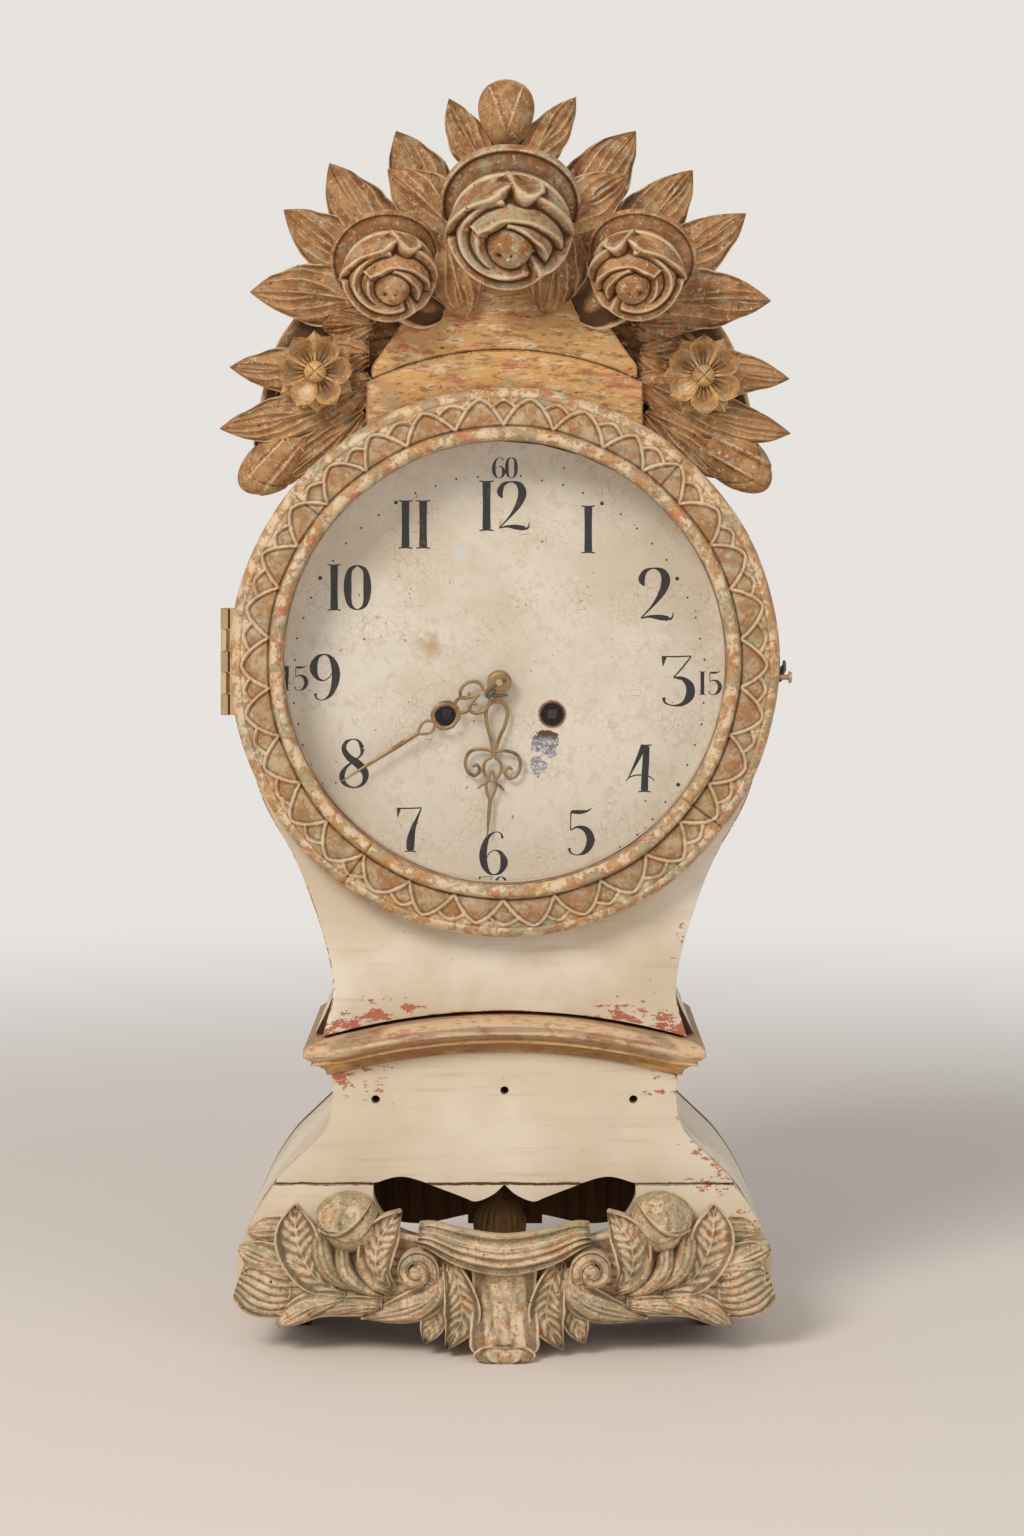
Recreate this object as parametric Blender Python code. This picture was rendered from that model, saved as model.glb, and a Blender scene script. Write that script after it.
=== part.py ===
"""Carved and painted table clock with a hinged bezel door and a pendulum movement.

Metres, +Z up. The clock faces -Y and stands on Z = 0, with its origin under the middle of its bounding box.
Depths are measured backwards from the front face of the case.
"""
import math

import bmesh
import bpy
from mathutils import Matrix, Vector

# Fits
FIT = 0.0003
RUNNING_FIT = 0.0003

# Case
CASE_DEPTH = 0.150
FRONT_BOARD = 0.012
BACK_BOARD = 0.010
SIDE_WALL = 0.008
HEAD_RADIUS = 0.151
HEAD_HEIGHT = 0.3868
HEAD_SWEEP = math.radians(13.0)
SHOULDER_TOP_HALF = 0.1352
SHOULDER_TOP_DROP = 0.0778
SHOULDER_HALF = 0.1150
SHOULDER_DROP = 0.1158
WAIST_HALF = 0.0960
WAIST_HEIGHT = 0.2055
BOARD_SKIRT_HALF = 0.1020
SIDE_SKIRT_HALF = 0.1070
NECK_HALF = 0.0962
NECK_HEIGHT = 0.1400
KNEE_HALF = 0.1010
KNEE_HEIGHT = 0.1232
FLARE_HALF = 0.1270
FLARE_HEIGHT = 0.0969
BULGE_HALF = 0.1500
BULGE_HEIGHT = 0.0515
TUCK_HALF = 0.1440
TUCK_HEIGHT = 0.0260
FOOT_HALF = 0.1200

# Arched moulding: height of its reference line at the middle, and its section
MOULD_HEIGHT = 0.1790
MOULD_ARCH_RADIUS = 0.369
MOULD_HALF = 0.0970
MOULD_REACH = 0.0155
MOULD_ABOVE = 0.0098
MOULD_BELOW = 0.0106
BOARD_SLIT = 0.0022

# Opening in the base that shows the bob, and the three drilled holes
PLANK_JOINT_HEIGHT = 0.0943
APERTURE_HALF = 0.0735
APERTURE_LOBE = 0.0040
APERTURE_DIP = 0.0100
APERTURE_FLOOR = 0.0575
PLANK_BOTTOM = 0.0200
DRILLED_RADIUS = 0.0025
DRILLED_SPACING = 0.0722
DRILLED_HEIGHT = 0.1414
DRILLED_ARCH = 0.0050

# Cut-out in the foot of the back board
BACK_CUT_HALF = 0.0860
BACK_CUT_HEIGHT = 0.0460
BACK_CUT_DIP = 0.0060
BACK_TAB_HALF = 0.0225

# Door
DOOR_GAP = 0.0022
BEZEL_RADIUS = 0.1530
BEZEL_OPENING = 0.1228
BEZEL_THICKNESS = 0.0235
BEZEL_LOBES = 30
LOBE_RELIEF = 0.0026
BEAD_WIDTH = 0.0076
BAND_GROOVE = 0.0045
GLASS_REBATE = 0.0045
GLASS_SEAT = 0.0100
GLASS_THICKNESS = 0.0020
GLAZING_BEAD_WIDTH = 0.0040

# Door hinge
HINGE_LENGTH = 0.060
HINGE_KNUCKLES = 5
HINGE_BARREL_RADIUS = 0.0026
HINGE_PIN_RADIUS = 0.0012
HINGE_OFFSET = 0.0032
HINGE_LEAF_WIDTH = 0.0150
HINGE_LEAF_THICKNESS = 0.00065

# Latch
LATCH_DROP = 0.0082
LATCH_PIN_RADIUS = 0.0015
LATCH_PIN_LENGTH = 0.0050
LATCH_HEAD_RADIUS = 0.0036
LATCH_HEAD_THICKNESS = 0.0016
LATCH_PLATE = 0.0014
LATCH_BAR = 0.0045
LATCH_PIN_SETBACK = 0.0120
LATCH_PIVOT_DEPTH = 0.0200
LATCH_RAISED = math.radians(9.0)

# Dial
DIAL_RADIUS = 0.1355
DIAL_THICKNESS = 0.0015
DIAL_DROP = 0.0118
DIAL_SHIFT = -0.0030
DIAL_OPENING = 0.1240
WINDING_HOLE_RADIUS = 0.0067
WINDING_SPREAD = 0.02985
WINDING_DROP = 0.0186
DIAL_CENTRE_HOLE = 0.0060
DIAL_FOOT_RADIUS = 0.0030

# Movement frame
MOTION_SPACE = 0.0162
PLATE_THICKNESS = 0.0025
PLATE_GAP = 0.0380
PLATE_HALF = 0.0620
PLATE_BELOW = 0.0520
PLATE_ABOVE = 0.0860
PILLAR_RADIUS = 0.0035
PILLAR_INSET = 0.0070
SEAT_THICKNESS = 0.0140
SEAT_OVERHANG = 0.0050
ARBOR_RADIUS = 0.0016
PENDULUM_DEPTH = 0.0900

# Trains. Tooth heights are in modules, and the half width of a leaf's root is a share of the pitch
TIP_RISE = 0.8
ROOT_DEPTH = 1.0
LEAF_ROOT = 0.20
WHEEL_THICKNESS = 0.0018
GREAT_TEETH = 32
CENTRE_PINION_TEETH = 8
CENTRE_TEETH = 40
CENTRE_MODULE = 0.0011
CENTRE_WHEEL_GAP = 0.0027
THIRD_PINION_TEETH = 8
THIRD_TEETH = 40
THIRD_MODULE = 0.0009
ESCAPE_PINION_TEETH = 8
ESCAPE_TEETH = 24
ESCAPE_RADIUS = 0.0150
ESCAPE_RISE = 0.0400
THIRD_WHEEL_SETBACK = 0.0200
ESCAPE_SETBACK = 0.0260
ANCHOR_RISE = 0.0220
ANCHOR_CLEARANCE = 0.0016
ANCHOR_SPAN = math.radians(46.0)
ANCHOR_WIDTH = 0.0030
CRUTCH_GAP = 0.0030
CANNON_TEETH = 8
MINUTE_WHEEL_TEETH = 24
MINUTE_PINION_TEETH = 8
HOUR_TEETH = 32
MOTION_MODULE = 0.0011
BARREL_RADIUS = 0.0240
BARREL_LENGTH = 0.0250
BARREL_INSET = 0.0049
BARREL_ARBOR_RADIUS = 0.0036
WINDING_SQUARE = 0.0050
WINDING_RECESS = 0.0012
CENTRE_ARBOR_RADIUS = 0.0020
HOUR_PIPE_WALL = 0.0009

# Hands
HAND_THICKNESS = 0.0010
HAND_SPACING = 0.0020
HOUR_HAND_LENGTH = 0.0880
MINUTE_HAND_LENGTH = 0.1050
HOUR_HAND_ANGLE = math.radians(184.4)
MINUTE_HAND_ANGLE = math.radians(237.8)
HOUR_HAND_DEPTH = 0.0070
COLLET_RADIUS = 0.0072
TAPER_PIN_RADIUS = 0.0007
TAPER_PIN_LENGTH = 0.0150

# Bell and hammer
BELL_RADIUS = 0.0280
BELL_HEIGHT = 0.0240
BELL_WALL = 0.0016
BELL_RISE = 0.0080
BELL_ARM = 0.0030
HAMMER_SPREAD = 0.0450
HAMMER_RISE = 0.0300
HAMMER_HEAD_RADIUS = 0.0040
HAMMER_REST_GAP = 0.0009

# Pendulum
BOB_RADIUS = 0.0165
BOB_HEIGHT = 0.0330
BOB_CLEARANCE = 0.0390
BOB_RIBS = 10
ROD_WIDTH = 0.0040
ROD_THICKNESS = 0.0015
COCK_HEIGHT = 0.0080
COCK_WIDTH = 0.0140

# Spacing of the layout grid for the leaves of the carvings
CARVING_GRID = 0.0100

# Crest
CREST_THICKNESS = 0.0180
BAND_RADIUS = 0.1745
BAND_HALF = 0.0777
PEDIMENT_HALF = 0.0743
PEDIMENT_CHEEK = 0.0070
PEDIMENT_NECK_HALF = 0.0560
PEDIMENT_TOP_HALF = 0.0440
PEDIMENT_HEIGHT = 0.0580
WING_PLATE = 0.0100
WING_PLATE_WIDTH = 0.0400
WING_START = math.radians(22.0)
WING_END = math.radians(51.0)
ROSE_REACH = 0.0550
CENTRE_ROSE_RADIUS = 0.0370
CENTRE_ROSE_RISE = 0.2430
SIDE_ROSE_RADIUS = 0.0284
SIDE_ROSE_SPREAD = 0.0718
SIDE_ROSE_RISE = 0.2158
SIDE_ROSE_DEPTH = 0.0340
FLOWER_RADIUS = 0.0225
FLOWER_SPREAD = 0.1071
FLOWER_RISE = 0.1598
FLOWER_DEPTH = 0.0130
FLOWER_PEG_RADIUS = 0.0062
FLOWER_PEG_LENGTH = 0.0060
BUD_HALF_WIDTH = 0.0155
BUD_HALF_HEIGHT = 0.0195
BUD_RISE = 0.3060
SPRAY_PLATE = 0.0100
SPRAY_RADIUS = 0.0300

# Apron
APRON_PLATE = 0.0090
APRON_TOP = 0.0640
APRON_BOTTOM = 0.0170
APRON_INNER = 0.0530
FOOT_REACH = 0.0300
FOOT_STEM_HALF = 0.0188
CARTOUCHE_HALF = 0.0500
CARTOUCHE_TOP = 0.0700
VOLUTE_RADIUS = 0.0140
VOLUTE_SPREAD = 0.0490
VOLUTE_HEIGHT = 0.0440
PEONY_RADIUS = 0.0155
PEONY_SPREAD = 0.0870
PEONY_HEIGHT = 0.0700

# Places worked out from the sizes above
FRONT_Y = -(CASE_DEPTH - ROSE_REACH) / 2
DIAL_HEIGHT = HEAD_HEIGHT - DIAL_DROP
DIAL_FRONT = FRONT_BOARD + FIT
DIAL_BACK = DIAL_FRONT + DIAL_THICKNESS
PLATE_FRONT = DIAL_BACK + MOTION_SPACE
PLATE_INSIDE = PLATE_FRONT + PLATE_THICKNESS
BACK_PLATE_FRONT = PLATE_INSIDE + PLATE_GAP
BACK_PLATE_BACK = BACK_PLATE_FRONT + PLATE_THICKNESS
GREAT_MODULE = 2 * math.hypot(WINDING_SPREAD, WINDING_DROP) / (GREAT_TEETH + CENTRE_PINION_TEETH)
CENTRE_TO_THIRD = CENTRE_MODULE * (CENTRE_TEETH + THIRD_PINION_TEETH) / 2
THIRD_TO_ESCAPE = THIRD_MODULE * (THIRD_TEETH + ESCAPE_PINION_TEETH) / 2
MOTION_CENTRES = MOTION_MODULE * (CANNON_TEETH + MINUTE_WHEEL_TEETH) / 2
HOUR_MODULE = 2 * MOTION_CENTRES / (MINUTE_PINION_TEETH + HOUR_TEETH)
ANCHOR_HEIGHT = ESCAPE_RISE + ANCHOR_RISE

# Colours of the finishes, with roughness and metallic value
CREAM_PAINT = ((0.72, 0.63, 0.46), 0.75, 0.0)
OCHRE_PAINT = ((0.42, 0.32, 0.17), 0.75, 0.0)
SAGE_PAINT = ((0.40, 0.40, 0.28), 0.75, 0.0)
BARE_WOOD = ((0.30, 0.19, 0.10), 0.80, 0.0)
DIAL_PAINT = ((0.76, 0.70, 0.58), 0.55, 0.0)
BRASS = ((0.60, 0.42, 0.18), 0.35, 1.0)
BRONZE = ((0.20, 0.12, 0.06), 0.45, 1.0)
IRON = ((0.12, 0.11, 0.10), 0.55, 1.0)
GLASS = ((0.90, 0.93, 0.93), 0.05, 0.0)


def depth(distance):
    """Y of a plane at this depth behind the front face of the case."""
    return FRONT_Y + distance


def clear_scene():
    """Remove every object, mesh and material."""
    for item in list(bpy.data.objects):
        bpy.data.objects.remove(item, do_unlink=True)
    for store in (bpy.data.meshes, bpy.data.materials):
        for item in list(store):
            store.remove(item)


def finish(name, look):
    """Material of one piece from its colour, roughness and metallic value."""
    colour, roughness, metallic = look
    material = bpy.data.materials.new(name + "_finish")
    material.use_nodes = True
    shader = material.node_tree.nodes["Principled BSDF"]
    shader.inputs["Base Color"].default_value = (*colour, 1.0)
    shader.inputs["Roughness"].default_value = roughness
    shader.inputs["Metallic"].default_value = metallic
    return material


def add_piece(name, body, look, origin=(0.0, 0.0, 0.0), spin=0.0):
    """Put a finished mesh in the scene with its origin on its seat or its joint axis."""
    bmesh.ops.translate(body, verts=body.verts, vec=-Vector(origin))
    bmesh.ops.recalc_face_normals(body, faces=body.faces)
    mesh = bpy.data.meshes.new(name)
    body.to_mesh(mesh)
    body.free()
    mesh.shade_smooth()
    mesh.set_sharp_from_angle(angle=math.radians(35.0))
    mesh.materials.append(finish(name, look))
    piece = bpy.data.objects.new(name, mesh)
    piece.location = origin
    piece.rotation_euler = (0.0, spin, 0.0)
    bpy.context.scene.collection.objects.link(piece)
    return piece


def union(bodies):
    """Join overlapping meshes into one closed body."""
    pieces = []
    for body in bodies:
        bmesh.ops.recalc_face_normals(body, faces=body.faces)
        mesh = bpy.data.meshes.new("union_part")
        body.to_mesh(mesh)
        body.free()
        piece = bpy.data.objects.new("union_part", mesh)
        bpy.context.scene.collection.objects.link(piece)
        pieces.append(piece)
    for piece in pieces[1:]:
        join = pieces[0].modifiers.new("join", "BOOLEAN")
        join.operation = "UNION"
        join.solver = "EXACT"
        join.object = piece
    graph = bpy.context.evaluated_depsgraph_get()
    joined = bmesh.new()
    joined.from_object(pieces[0], graph)
    for piece in pieces:
        mesh = piece.data
        bpy.data.objects.remove(piece, do_unlink=True)
        bpy.data.meshes.remove(mesh)
    bmesh.ops.remove_doubles(joined, verts=joined.verts, dist=0.00001)
    return joined


def arc(centre, radius, start, end, steps):
    """Points on an arc, with angles in radians from +X towards +Z."""
    points = []
    for step in range(steps + 1):
        angle = start + (end - start) * step / steps
        points.append((centre[0] + radius * math.cos(angle), centre[1] + radius * math.sin(angle)))
    return points


def ring(centre, radius, steps, phase=0.0):
    """Points of a closed circle."""
    return arc(centre, radius, phase, phase + math.tau * (steps - 1) / steps, steps - 1)


def curve_through(points, steps):
    """Smooth curve through points, with this many steps on each span.

    Its slopes allow for the length of the spans, so a short span by a long one doesn't swing past its ends.
    """
    places = [Vector(point) for point in points]
    spans = [end - start for start, end in zip(places, places[1:])]
    paces = [math.sqrt(span.length) for span in spans]
    slopes = [spans[0] / paces[0]]
    for index in range(1, len(spans)):
        before, after = paces[index - 1], paces[index]
        across = (spans[index - 1] + spans[index]) / (before + after)
        slopes.append(spans[index - 1] / before - across + spans[index] / after)
    slopes.append(spans[-1] / paces[-1])
    curve = [tuple(places[0])]
    for index, pace in enumerate(paces):
        for step in range(1, steps + 1):
            t = step / steps
            leaving = slopes[index] * pace * (t * (1 - t) ** 2)
            arriving = slopes[index + 1] * pace * (t * t * (t - 1))
            share = t * t * (3 - 2 * t)
            curve.append(tuple(places[index] + spans[index] * share + leaving + arriving))
    return curve


def mirrored(points):
    """The same points on the other side of X = 0, in reverse order."""
    return [(-x, z) for x, z in reversed(points)]


def width_at(points, height):
    """Half width of a falling outline at this height."""
    for (x0, z0), (x1, z1) in zip(points, points[1:]):
        if z1 <= height <= z0:
            return x0 + (x1 - x0) * (z0 - height) / max(z0 - z1, 1e-9)
    return points[-1][0]


def part_of(points, top, bottom):
    """Stretch of a falling outline between two heights, with its ends cut there."""
    inside = [(x, z) for x, z in points if bottom + 1e-6 < z < top - 1e-6]
    return [(width_at(points, top), top)] + inside + [(width_at(points, bottom), bottom)]


def inset(points, thickness):
    """Polyline moved inwards by a wall, with its ends kept level with the outer ends."""
    moved = []
    for index, (x, z) in enumerate(points):
        before = points[max(index - 1, 0)]
        after = points[min(index + 1, len(points) - 1)]
        run = Vector((after[0] - before[0], after[1] - before[1])).normalized()
        moved.append((x + run.y * thickness, z - run.x * thickness))
    return moved


def plate(outline, front, back, holes=(), axis="Y"):
    """Closed slab from an outline and its holes, between two planes across an axis."""
    places = {
        "X": lambda u, v, w: (w, u, v),
        "Y": lambda u, v, w: (u, w, v),
        "Z": lambda u, v, w: (u, v, w),
    }
    place = places[axis]
    body = bmesh.new()
    for loop in (outline, *holes):
        corners = [body.verts.new(place(u, v, front)) for u, v in loop]
        for first, second in zip(corners, corners[1:] + corners[:1]):
            body.edges.new((first, second))
    bmesh.ops.triangle_fill(body, edges=body.edges[:], use_beauty=True)
    grown = bmesh.ops.extrude_face_region(body, geom=body.faces[:], use_keep_orig=True)
    moved = [item for item in grown["geom"] if isinstance(item, bmesh.types.BMVert)]
    bmesh.ops.translate(body, verts=moved, vec=Vector(place(0.0, 0.0, back - front)))
    bmesh.ops.recalc_face_normals(body, faces=body.faces)
    return body


def loft(sections, closed=False):
    """Closed body through rings of points, capped at both ends or joined into a loop."""
    body = bmesh.new()
    rings = [[body.verts.new(point) for point in section] for section in sections]
    pairs = list(zip(rings, rings[1:]))
    if closed:
        pairs.append((rings[-1], rings[0]))
    else:
        body.faces.new(rings[0])
        body.faces.new(rings[-1])
    for first, second in pairs:
        count = len(first)
        for index in range(count):
            following = (index + 1) % count
            body.faces.new((first[index], first[following], second[following], second[index]))
    bmesh.ops.recalc_face_normals(body, faces=body.faces)
    return body


def turned(profile, centre, steps, axis="Y"):
    """Solid of revolution from (radius, place along the axis) rows, capped at its ends."""
    sections = []
    for radius, along in profile:
        section = []
        for step in range(steps):
            angle = math.tau * step / steps
            across = radius * math.cos(angle)
            up = radius * math.sin(angle)
            if axis == "Y":
                section.append((centre[0] + across, along, centre[1] + up))
            elif axis == "Z":
                section.append((centre[0] + across, centre[1] + up, along))
            else:
                section.append((along, centre[0] + across, centre[1] + up))
        sections.append(section)
    return loft(sections)


def rod(centre, radius, front, back, steps=12, axis="Y"):
    """Plain cylinder."""
    return turned([(radius, front), (radius, back)], centre, steps, axis)


def moulding_arch(x):
    """Height of the moulding's reference line at a distance from the middle."""
    return MOULD_HEIGHT - MOULD_ARCH_RADIUS + math.sqrt(MOULD_ARCH_RADIUS ** 2 - x ** 2)


MOULD_END = moulding_arch(MOULD_HALF)


def head_outline(radius, steps):
    """Round of the head, from the top of the right half down to the shoulder."""
    return arc((0.0, HEAD_HEIGHT), radius, math.pi / 2, -HEAD_SWEEP, steps)


def upper_outline(skirt_half, skirt_height):
    """Right half of the head and waist, from the top down to the moulding."""
    head = head_outline(HEAD_RADIUS, 14)
    shoulder_top = (SHOULDER_TOP_HALF, HEAD_HEIGHT - SHOULDER_TOP_DROP)
    shoulder = (SHOULDER_HALF, HEAD_HEIGHT - SHOULDER_DROP)
    waist = (WAIST_HALF, WAIST_HEIGHT)
    keys = head[-2:] + [shoulder_top, shoulder, waist, (skirt_half, skirt_height)]
    return head[:-2] + curve_through(keys, 3)


def base_outline():
    """Right half of the bombe base, from under the moulding down to the ground."""
    keys = [
        (MOULD_HALF, MOULD_END - MOULD_BELOW - FIT),
        (NECK_HALF, NECK_HEIGHT),
        (KNEE_HALF, KNEE_HEIGHT),
        (FLARE_HALF, FLARE_HEIGHT),
        (BULGE_HALF, BULGE_HEIGHT),
        (TUCK_HALF, TUCK_HEIGHT),
        (FOOT_HALF, 0.0),
    ]
    return curve_through(keys, 2)


def moulding_section():
    """Section of the moulding as (reach forwards, height) from its back face."""
    half_round = []
    for step in range(4):
        angle = math.radians(70.0 - 46.0 * step)
        reach = MOULD_REACH * (0.42 + 0.58 * math.cos(angle))
        half_round.append((reach, MOULD_ABOVE * (0.34 + 0.60 * math.sin(angle))))
    cove = []
    for step in range(4):
        angle = math.radians(90.0 * step / 3)
        reach = MOULD_REACH * (0.72 - 0.58 * math.sin(angle))
        cove.append((reach, -MOULD_BELOW * (1.0 - 0.62 * math.cos(angle))))
    top = [(-FRONT_BOARD, MOULD_ABOVE), (MOULD_REACH * 0.30, MOULD_ABOVE)]
    bottom = [(MOULD_REACH * 0.14, -MOULD_BELOW), (-FRONT_BOARD, -MOULD_BELOW)]
    return top + half_round + cove[:-1] + bottom


def build_mouldings():
    """Arched front moulding, and a mitred return along each side."""
    section = moulding_section()
    sections = []
    spans = 12
    for step in range(spans + 1):
        share = -1.0 + 2.0 * step / spans
        row = []
        for reach, height in section:
            x = share * (MOULD_HALF + reach)
            arch = moulding_arch(min(abs(x), MOULD_HALF))
            row.append((x, depth(-reach), arch + height))
        sections.append(row)
    add_piece("waist_moulding_front", loft(sections), CREAM_PAINT)
    back = depth(CASE_DEPTH - BACK_BOARD - FIT)
    outside = [(max(reach, FIT), height) for reach, height in section]
    low = MOULD_END - MOULD_BELOW
    high = MOULD_END + MOULD_ABOVE
    for side, sign in (("left", -1), ("right", 1)):
        sections = []
        for start in (True, False):
            row = []
            for reach, height in outside:
                y = depth(-reach) + 2 * FIT if start else back
                row.append((sign * (MOULD_HALF + reach), y, MOULD_END + height))
            sections.append(row)
        rail = [
            (sign * (MOULD_HALF - SIDE_WALL), low + FIT / 3),
            (sign * (MOULD_HALF + FIT * 2), low + FIT / 3),
            (sign * (MOULD_HALF + FIT * 2), high - FIT / 3),
            (sign * (MOULD_HALF - SIDE_WALL), high - FIT / 3),
        ]
        rail = plate(rail, depth(FRONT_BOARD + 2 * FIT), back - FIT)
        add_piece("waist_moulding_" + side, union([loft(sections), rail]), CREAM_PAINT)


def build_front_boards():
    """Upper board round the dial, base board with its ogee edge, and the lower plank."""
    slit = MOULD_ABOVE + BOARD_SLIT
    side = upper_outline(BOARD_SKIRT_HALF, moulding_arch(BOARD_SKIRT_HALF) + slit)
    arch = [(side[-1][0] * (1 - step / 4), 0.0) for step in range(1, 9)]
    arch = [(x, moulding_arch(x) + slit) for x, _ in arch]
    outline = side + arch[:-1] + mirrored(side)[:-1]
    opening = ring((0.0, HEAD_HEIGHT), DIAL_OPENING, 36)
    add_piece("upper_front_board", plate(outline, depth(0.0), depth(FRONT_BOARD), [opening]), CREAM_PAINT)

    base = base_outline()
    joint = PLANK_JOINT_HEIGHT
    top_half = base[0][0]
    under = -MOULD_BELOW - FIT
    side = part_of(base, base[0][1], joint + FIT)
    lobe = (APERTURE_HALF * 0.78, joint + APERTURE_LOBE)
    dip = (APERTURE_HALF * 0.23, joint - APERTURE_DIP)
    ogee = [(APERTURE_HALF, joint + FIT), lobe, (APERTURE_HALF * 0.46, joint - APERTURE_DIP * 0.35), dip]
    ogee = curve_through(ogee, 4) + [(APERTURE_HALF * 0.09, joint - APERTURE_DIP * 0.62)]
    point = [(0.0, joint - FIT)]
    top = [(-top_half * (1 - step / 4), 0.0) for step in range(1, 8)]
    top = [(x, moulding_arch(x) + under) for x, _ in top]
    outline = side + ogee + point + mirrored(ogee) + mirrored(side) + top
    holes = []
    for number in (-1, 0, 1):
        place = (number * DRILLED_SPACING, DRILLED_HEIGHT + DRILLED_ARCH * (1 - abs(number)))
        holes.append(ring(place, DRILLED_RADIUS, 10))
    add_piece("base_front_board", plate(outline, depth(0.0), depth(FRONT_BOARD), holes), CREAM_PAINT)

    side = part_of(base, joint - FIT, PLANK_BOTTOM)
    floor = [
        (APERTURE_HALF, joint - FIT),
        (APERTURE_HALF * 0.99, joint - APERTURE_DIP),
        (APERTURE_HALF * 0.80, APERTURE_FLOOR + APERTURE_DIP),
        (0.0, APERTURE_FLOOR),
    ]
    floor = curve_through(floor, 3)
    outline = side[::-1] + floor + mirrored(floor)[1:] + mirrored(side)[::-1]
    add_piece("base_lower_plank", plate(outline, depth(0.0), depth(FRONT_BOARD)), CREAM_PAINT)


def build_sides():
    """Bent upper sides that wrap the head, and the swelling sides of the base."""
    front = depth(FRONT_BOARD + FIT)
    back = depth(CASE_DEPTH - BACK_BOARD - FIT)
    upper = upper_outline(SIDE_SKIRT_HALF, MOULD_END + MOULD_ABOVE + FIT)
    upper[0] = (FIT, upper[0][1])
    base = base_outline()
    for name, outer in (("upper_side_", upper), ("base_side_", base)):
        inner = inset(outer, SIDE_WALL)
        if name == "upper_side_":
            inner[0] = (outer[0][0], outer[0][1] - SIDE_WALL)
            inner = part_of(inner, inner[0][1], outer[-1][1])
        else:
            inner[0] = (outer[0][0] - SIDE_WALL, outer[0][1])
            inner[-1] = (outer[-1][0] - SIDE_WALL, outer[-1][1])
        for side, sign in (("left", -1), ("right", 1)):
            outline = [(sign * x, z) for x, z in outer + inner[::-1]]
            add_piece(name + side, plate(outline, front, back), CREAM_PAINT)


def build_back_board():
    """Back board in the shape of the case, with a scalloped opening at its foot."""
    upper = upper_outline(SIDE_SKIRT_HALF, MOULD_END + MOULD_ABOVE + FIT)
    side = upper + base_outline()
    scallop = [
        (BACK_CUT_HALF, BACK_CUT_HEIGHT),
        (BACK_CUT_HALF * 0.62, BACK_CUT_HEIGHT - BACK_CUT_DIP),
        (BACK_TAB_HALF, BACK_CUT_HEIGHT - BACK_CUT_DIP * 0.1),
    ]
    cut = [(BACK_CUT_HALF, 0.0)] + curve_through(scallop, 4)
    cut.append((BACK_TAB_HALF, BACK_CUT_HEIGHT - BACK_CUT_DIP))
    outline = side + cut + mirrored(cut) + mirrored(side)[:-1]
    back = depth(CASE_DEPTH)
    add_piece("back_board", plate(outline, back - BACK_BOARD, back), BARE_WOOD)


def build_seat_board():
    """Board under the movement, fitted between the upper sides."""
    top = DIAL_HEIGHT - PLATE_BELOW - FIT
    wall = inset(upper_outline(SIDE_SKIRT_HALF, MOULD_END + MOULD_ABOVE + FIT), SIDE_WALL)
    half = width_at(wall, top - SEAT_THICKNESS) - FIT
    outline = [(half, top - SEAT_THICKNESS), (half, top), (-half, top), (-half, top - SEAT_THICKNESS)]
    front = depth(PLATE_FRONT - SEAT_OVERHANG)
    add_piece("seat_board", plate(outline, front, depth(BACK_PLATE_BACK + SEAT_OVERHANG)), BARE_WOOD)


def build_bezel():
    """Turned and carved ring of the door, with leaf lobes round its face."""
    back = -DOOR_GAP
    inner = BEZEL_OPENING
    bead = inner + BEAD_WIDTH
    land = bead + BAND_GROOVE / 2
    middle = (land + BEZEL_RADIUS) / 2
    rebate = inner + GLASS_REBATE
    steps = BEZEL_LOBES * 2
    sections = []
    for step in range(steps):
        relief = LOBE_RELIEF * (step % 2)
        profile = [
            (BEZEL_RADIUS, back),
            (BEZEL_RADIUS, back - BEZEL_THICKNESS + LOBE_RELIEF * 2 + relief),
            (middle, back - BEZEL_THICKNESS + relief / 2),
            (land, back - BEZEL_THICKNESS + LOBE_RELIEF * 2.2 - relief),
            ((bead + inner) / 2, back - BEZEL_THICKNESS + LOBE_RELIEF),
            (inner, back - BEZEL_THICKNESS + LOBE_RELIEF * 2.4),
            (inner, back - GLASS_SEAT),
            (rebate, back - GLASS_SEAT),
            (rebate, back),
        ]
        angle = math.tau * step / steps
        sections.append([
            (radius * math.cos(angle), depth(along), HEAD_HEIGHT + radius * math.sin(angle))
            for radius, along in profile
        ])
    return loft(sections, closed=True)


def build_glazing():
    """Glass and the bead that holds it, in the rebate at the back of the bezel."""
    radius = BEZEL_OPENING + GLASS_REBATE - FIT
    centre = (0.0, HEAD_HEIGHT)
    glass_front = -DOOR_GAP - GLASS_SEAT + FIT
    glass_back = glass_front + GLASS_THICKNESS
    glass = rod(centre, radius, depth(glass_front), depth(glass_back), 24)
    hole = ring(centre, radius - GLAZING_BEAD_WIDTH, 24)
    edge = ring(centre, radius, 24)
    bead = plate(edge, depth(glass_back + FIT), depth(-DOOR_GAP - FIT), [hole])
    return glass, bead


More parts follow.
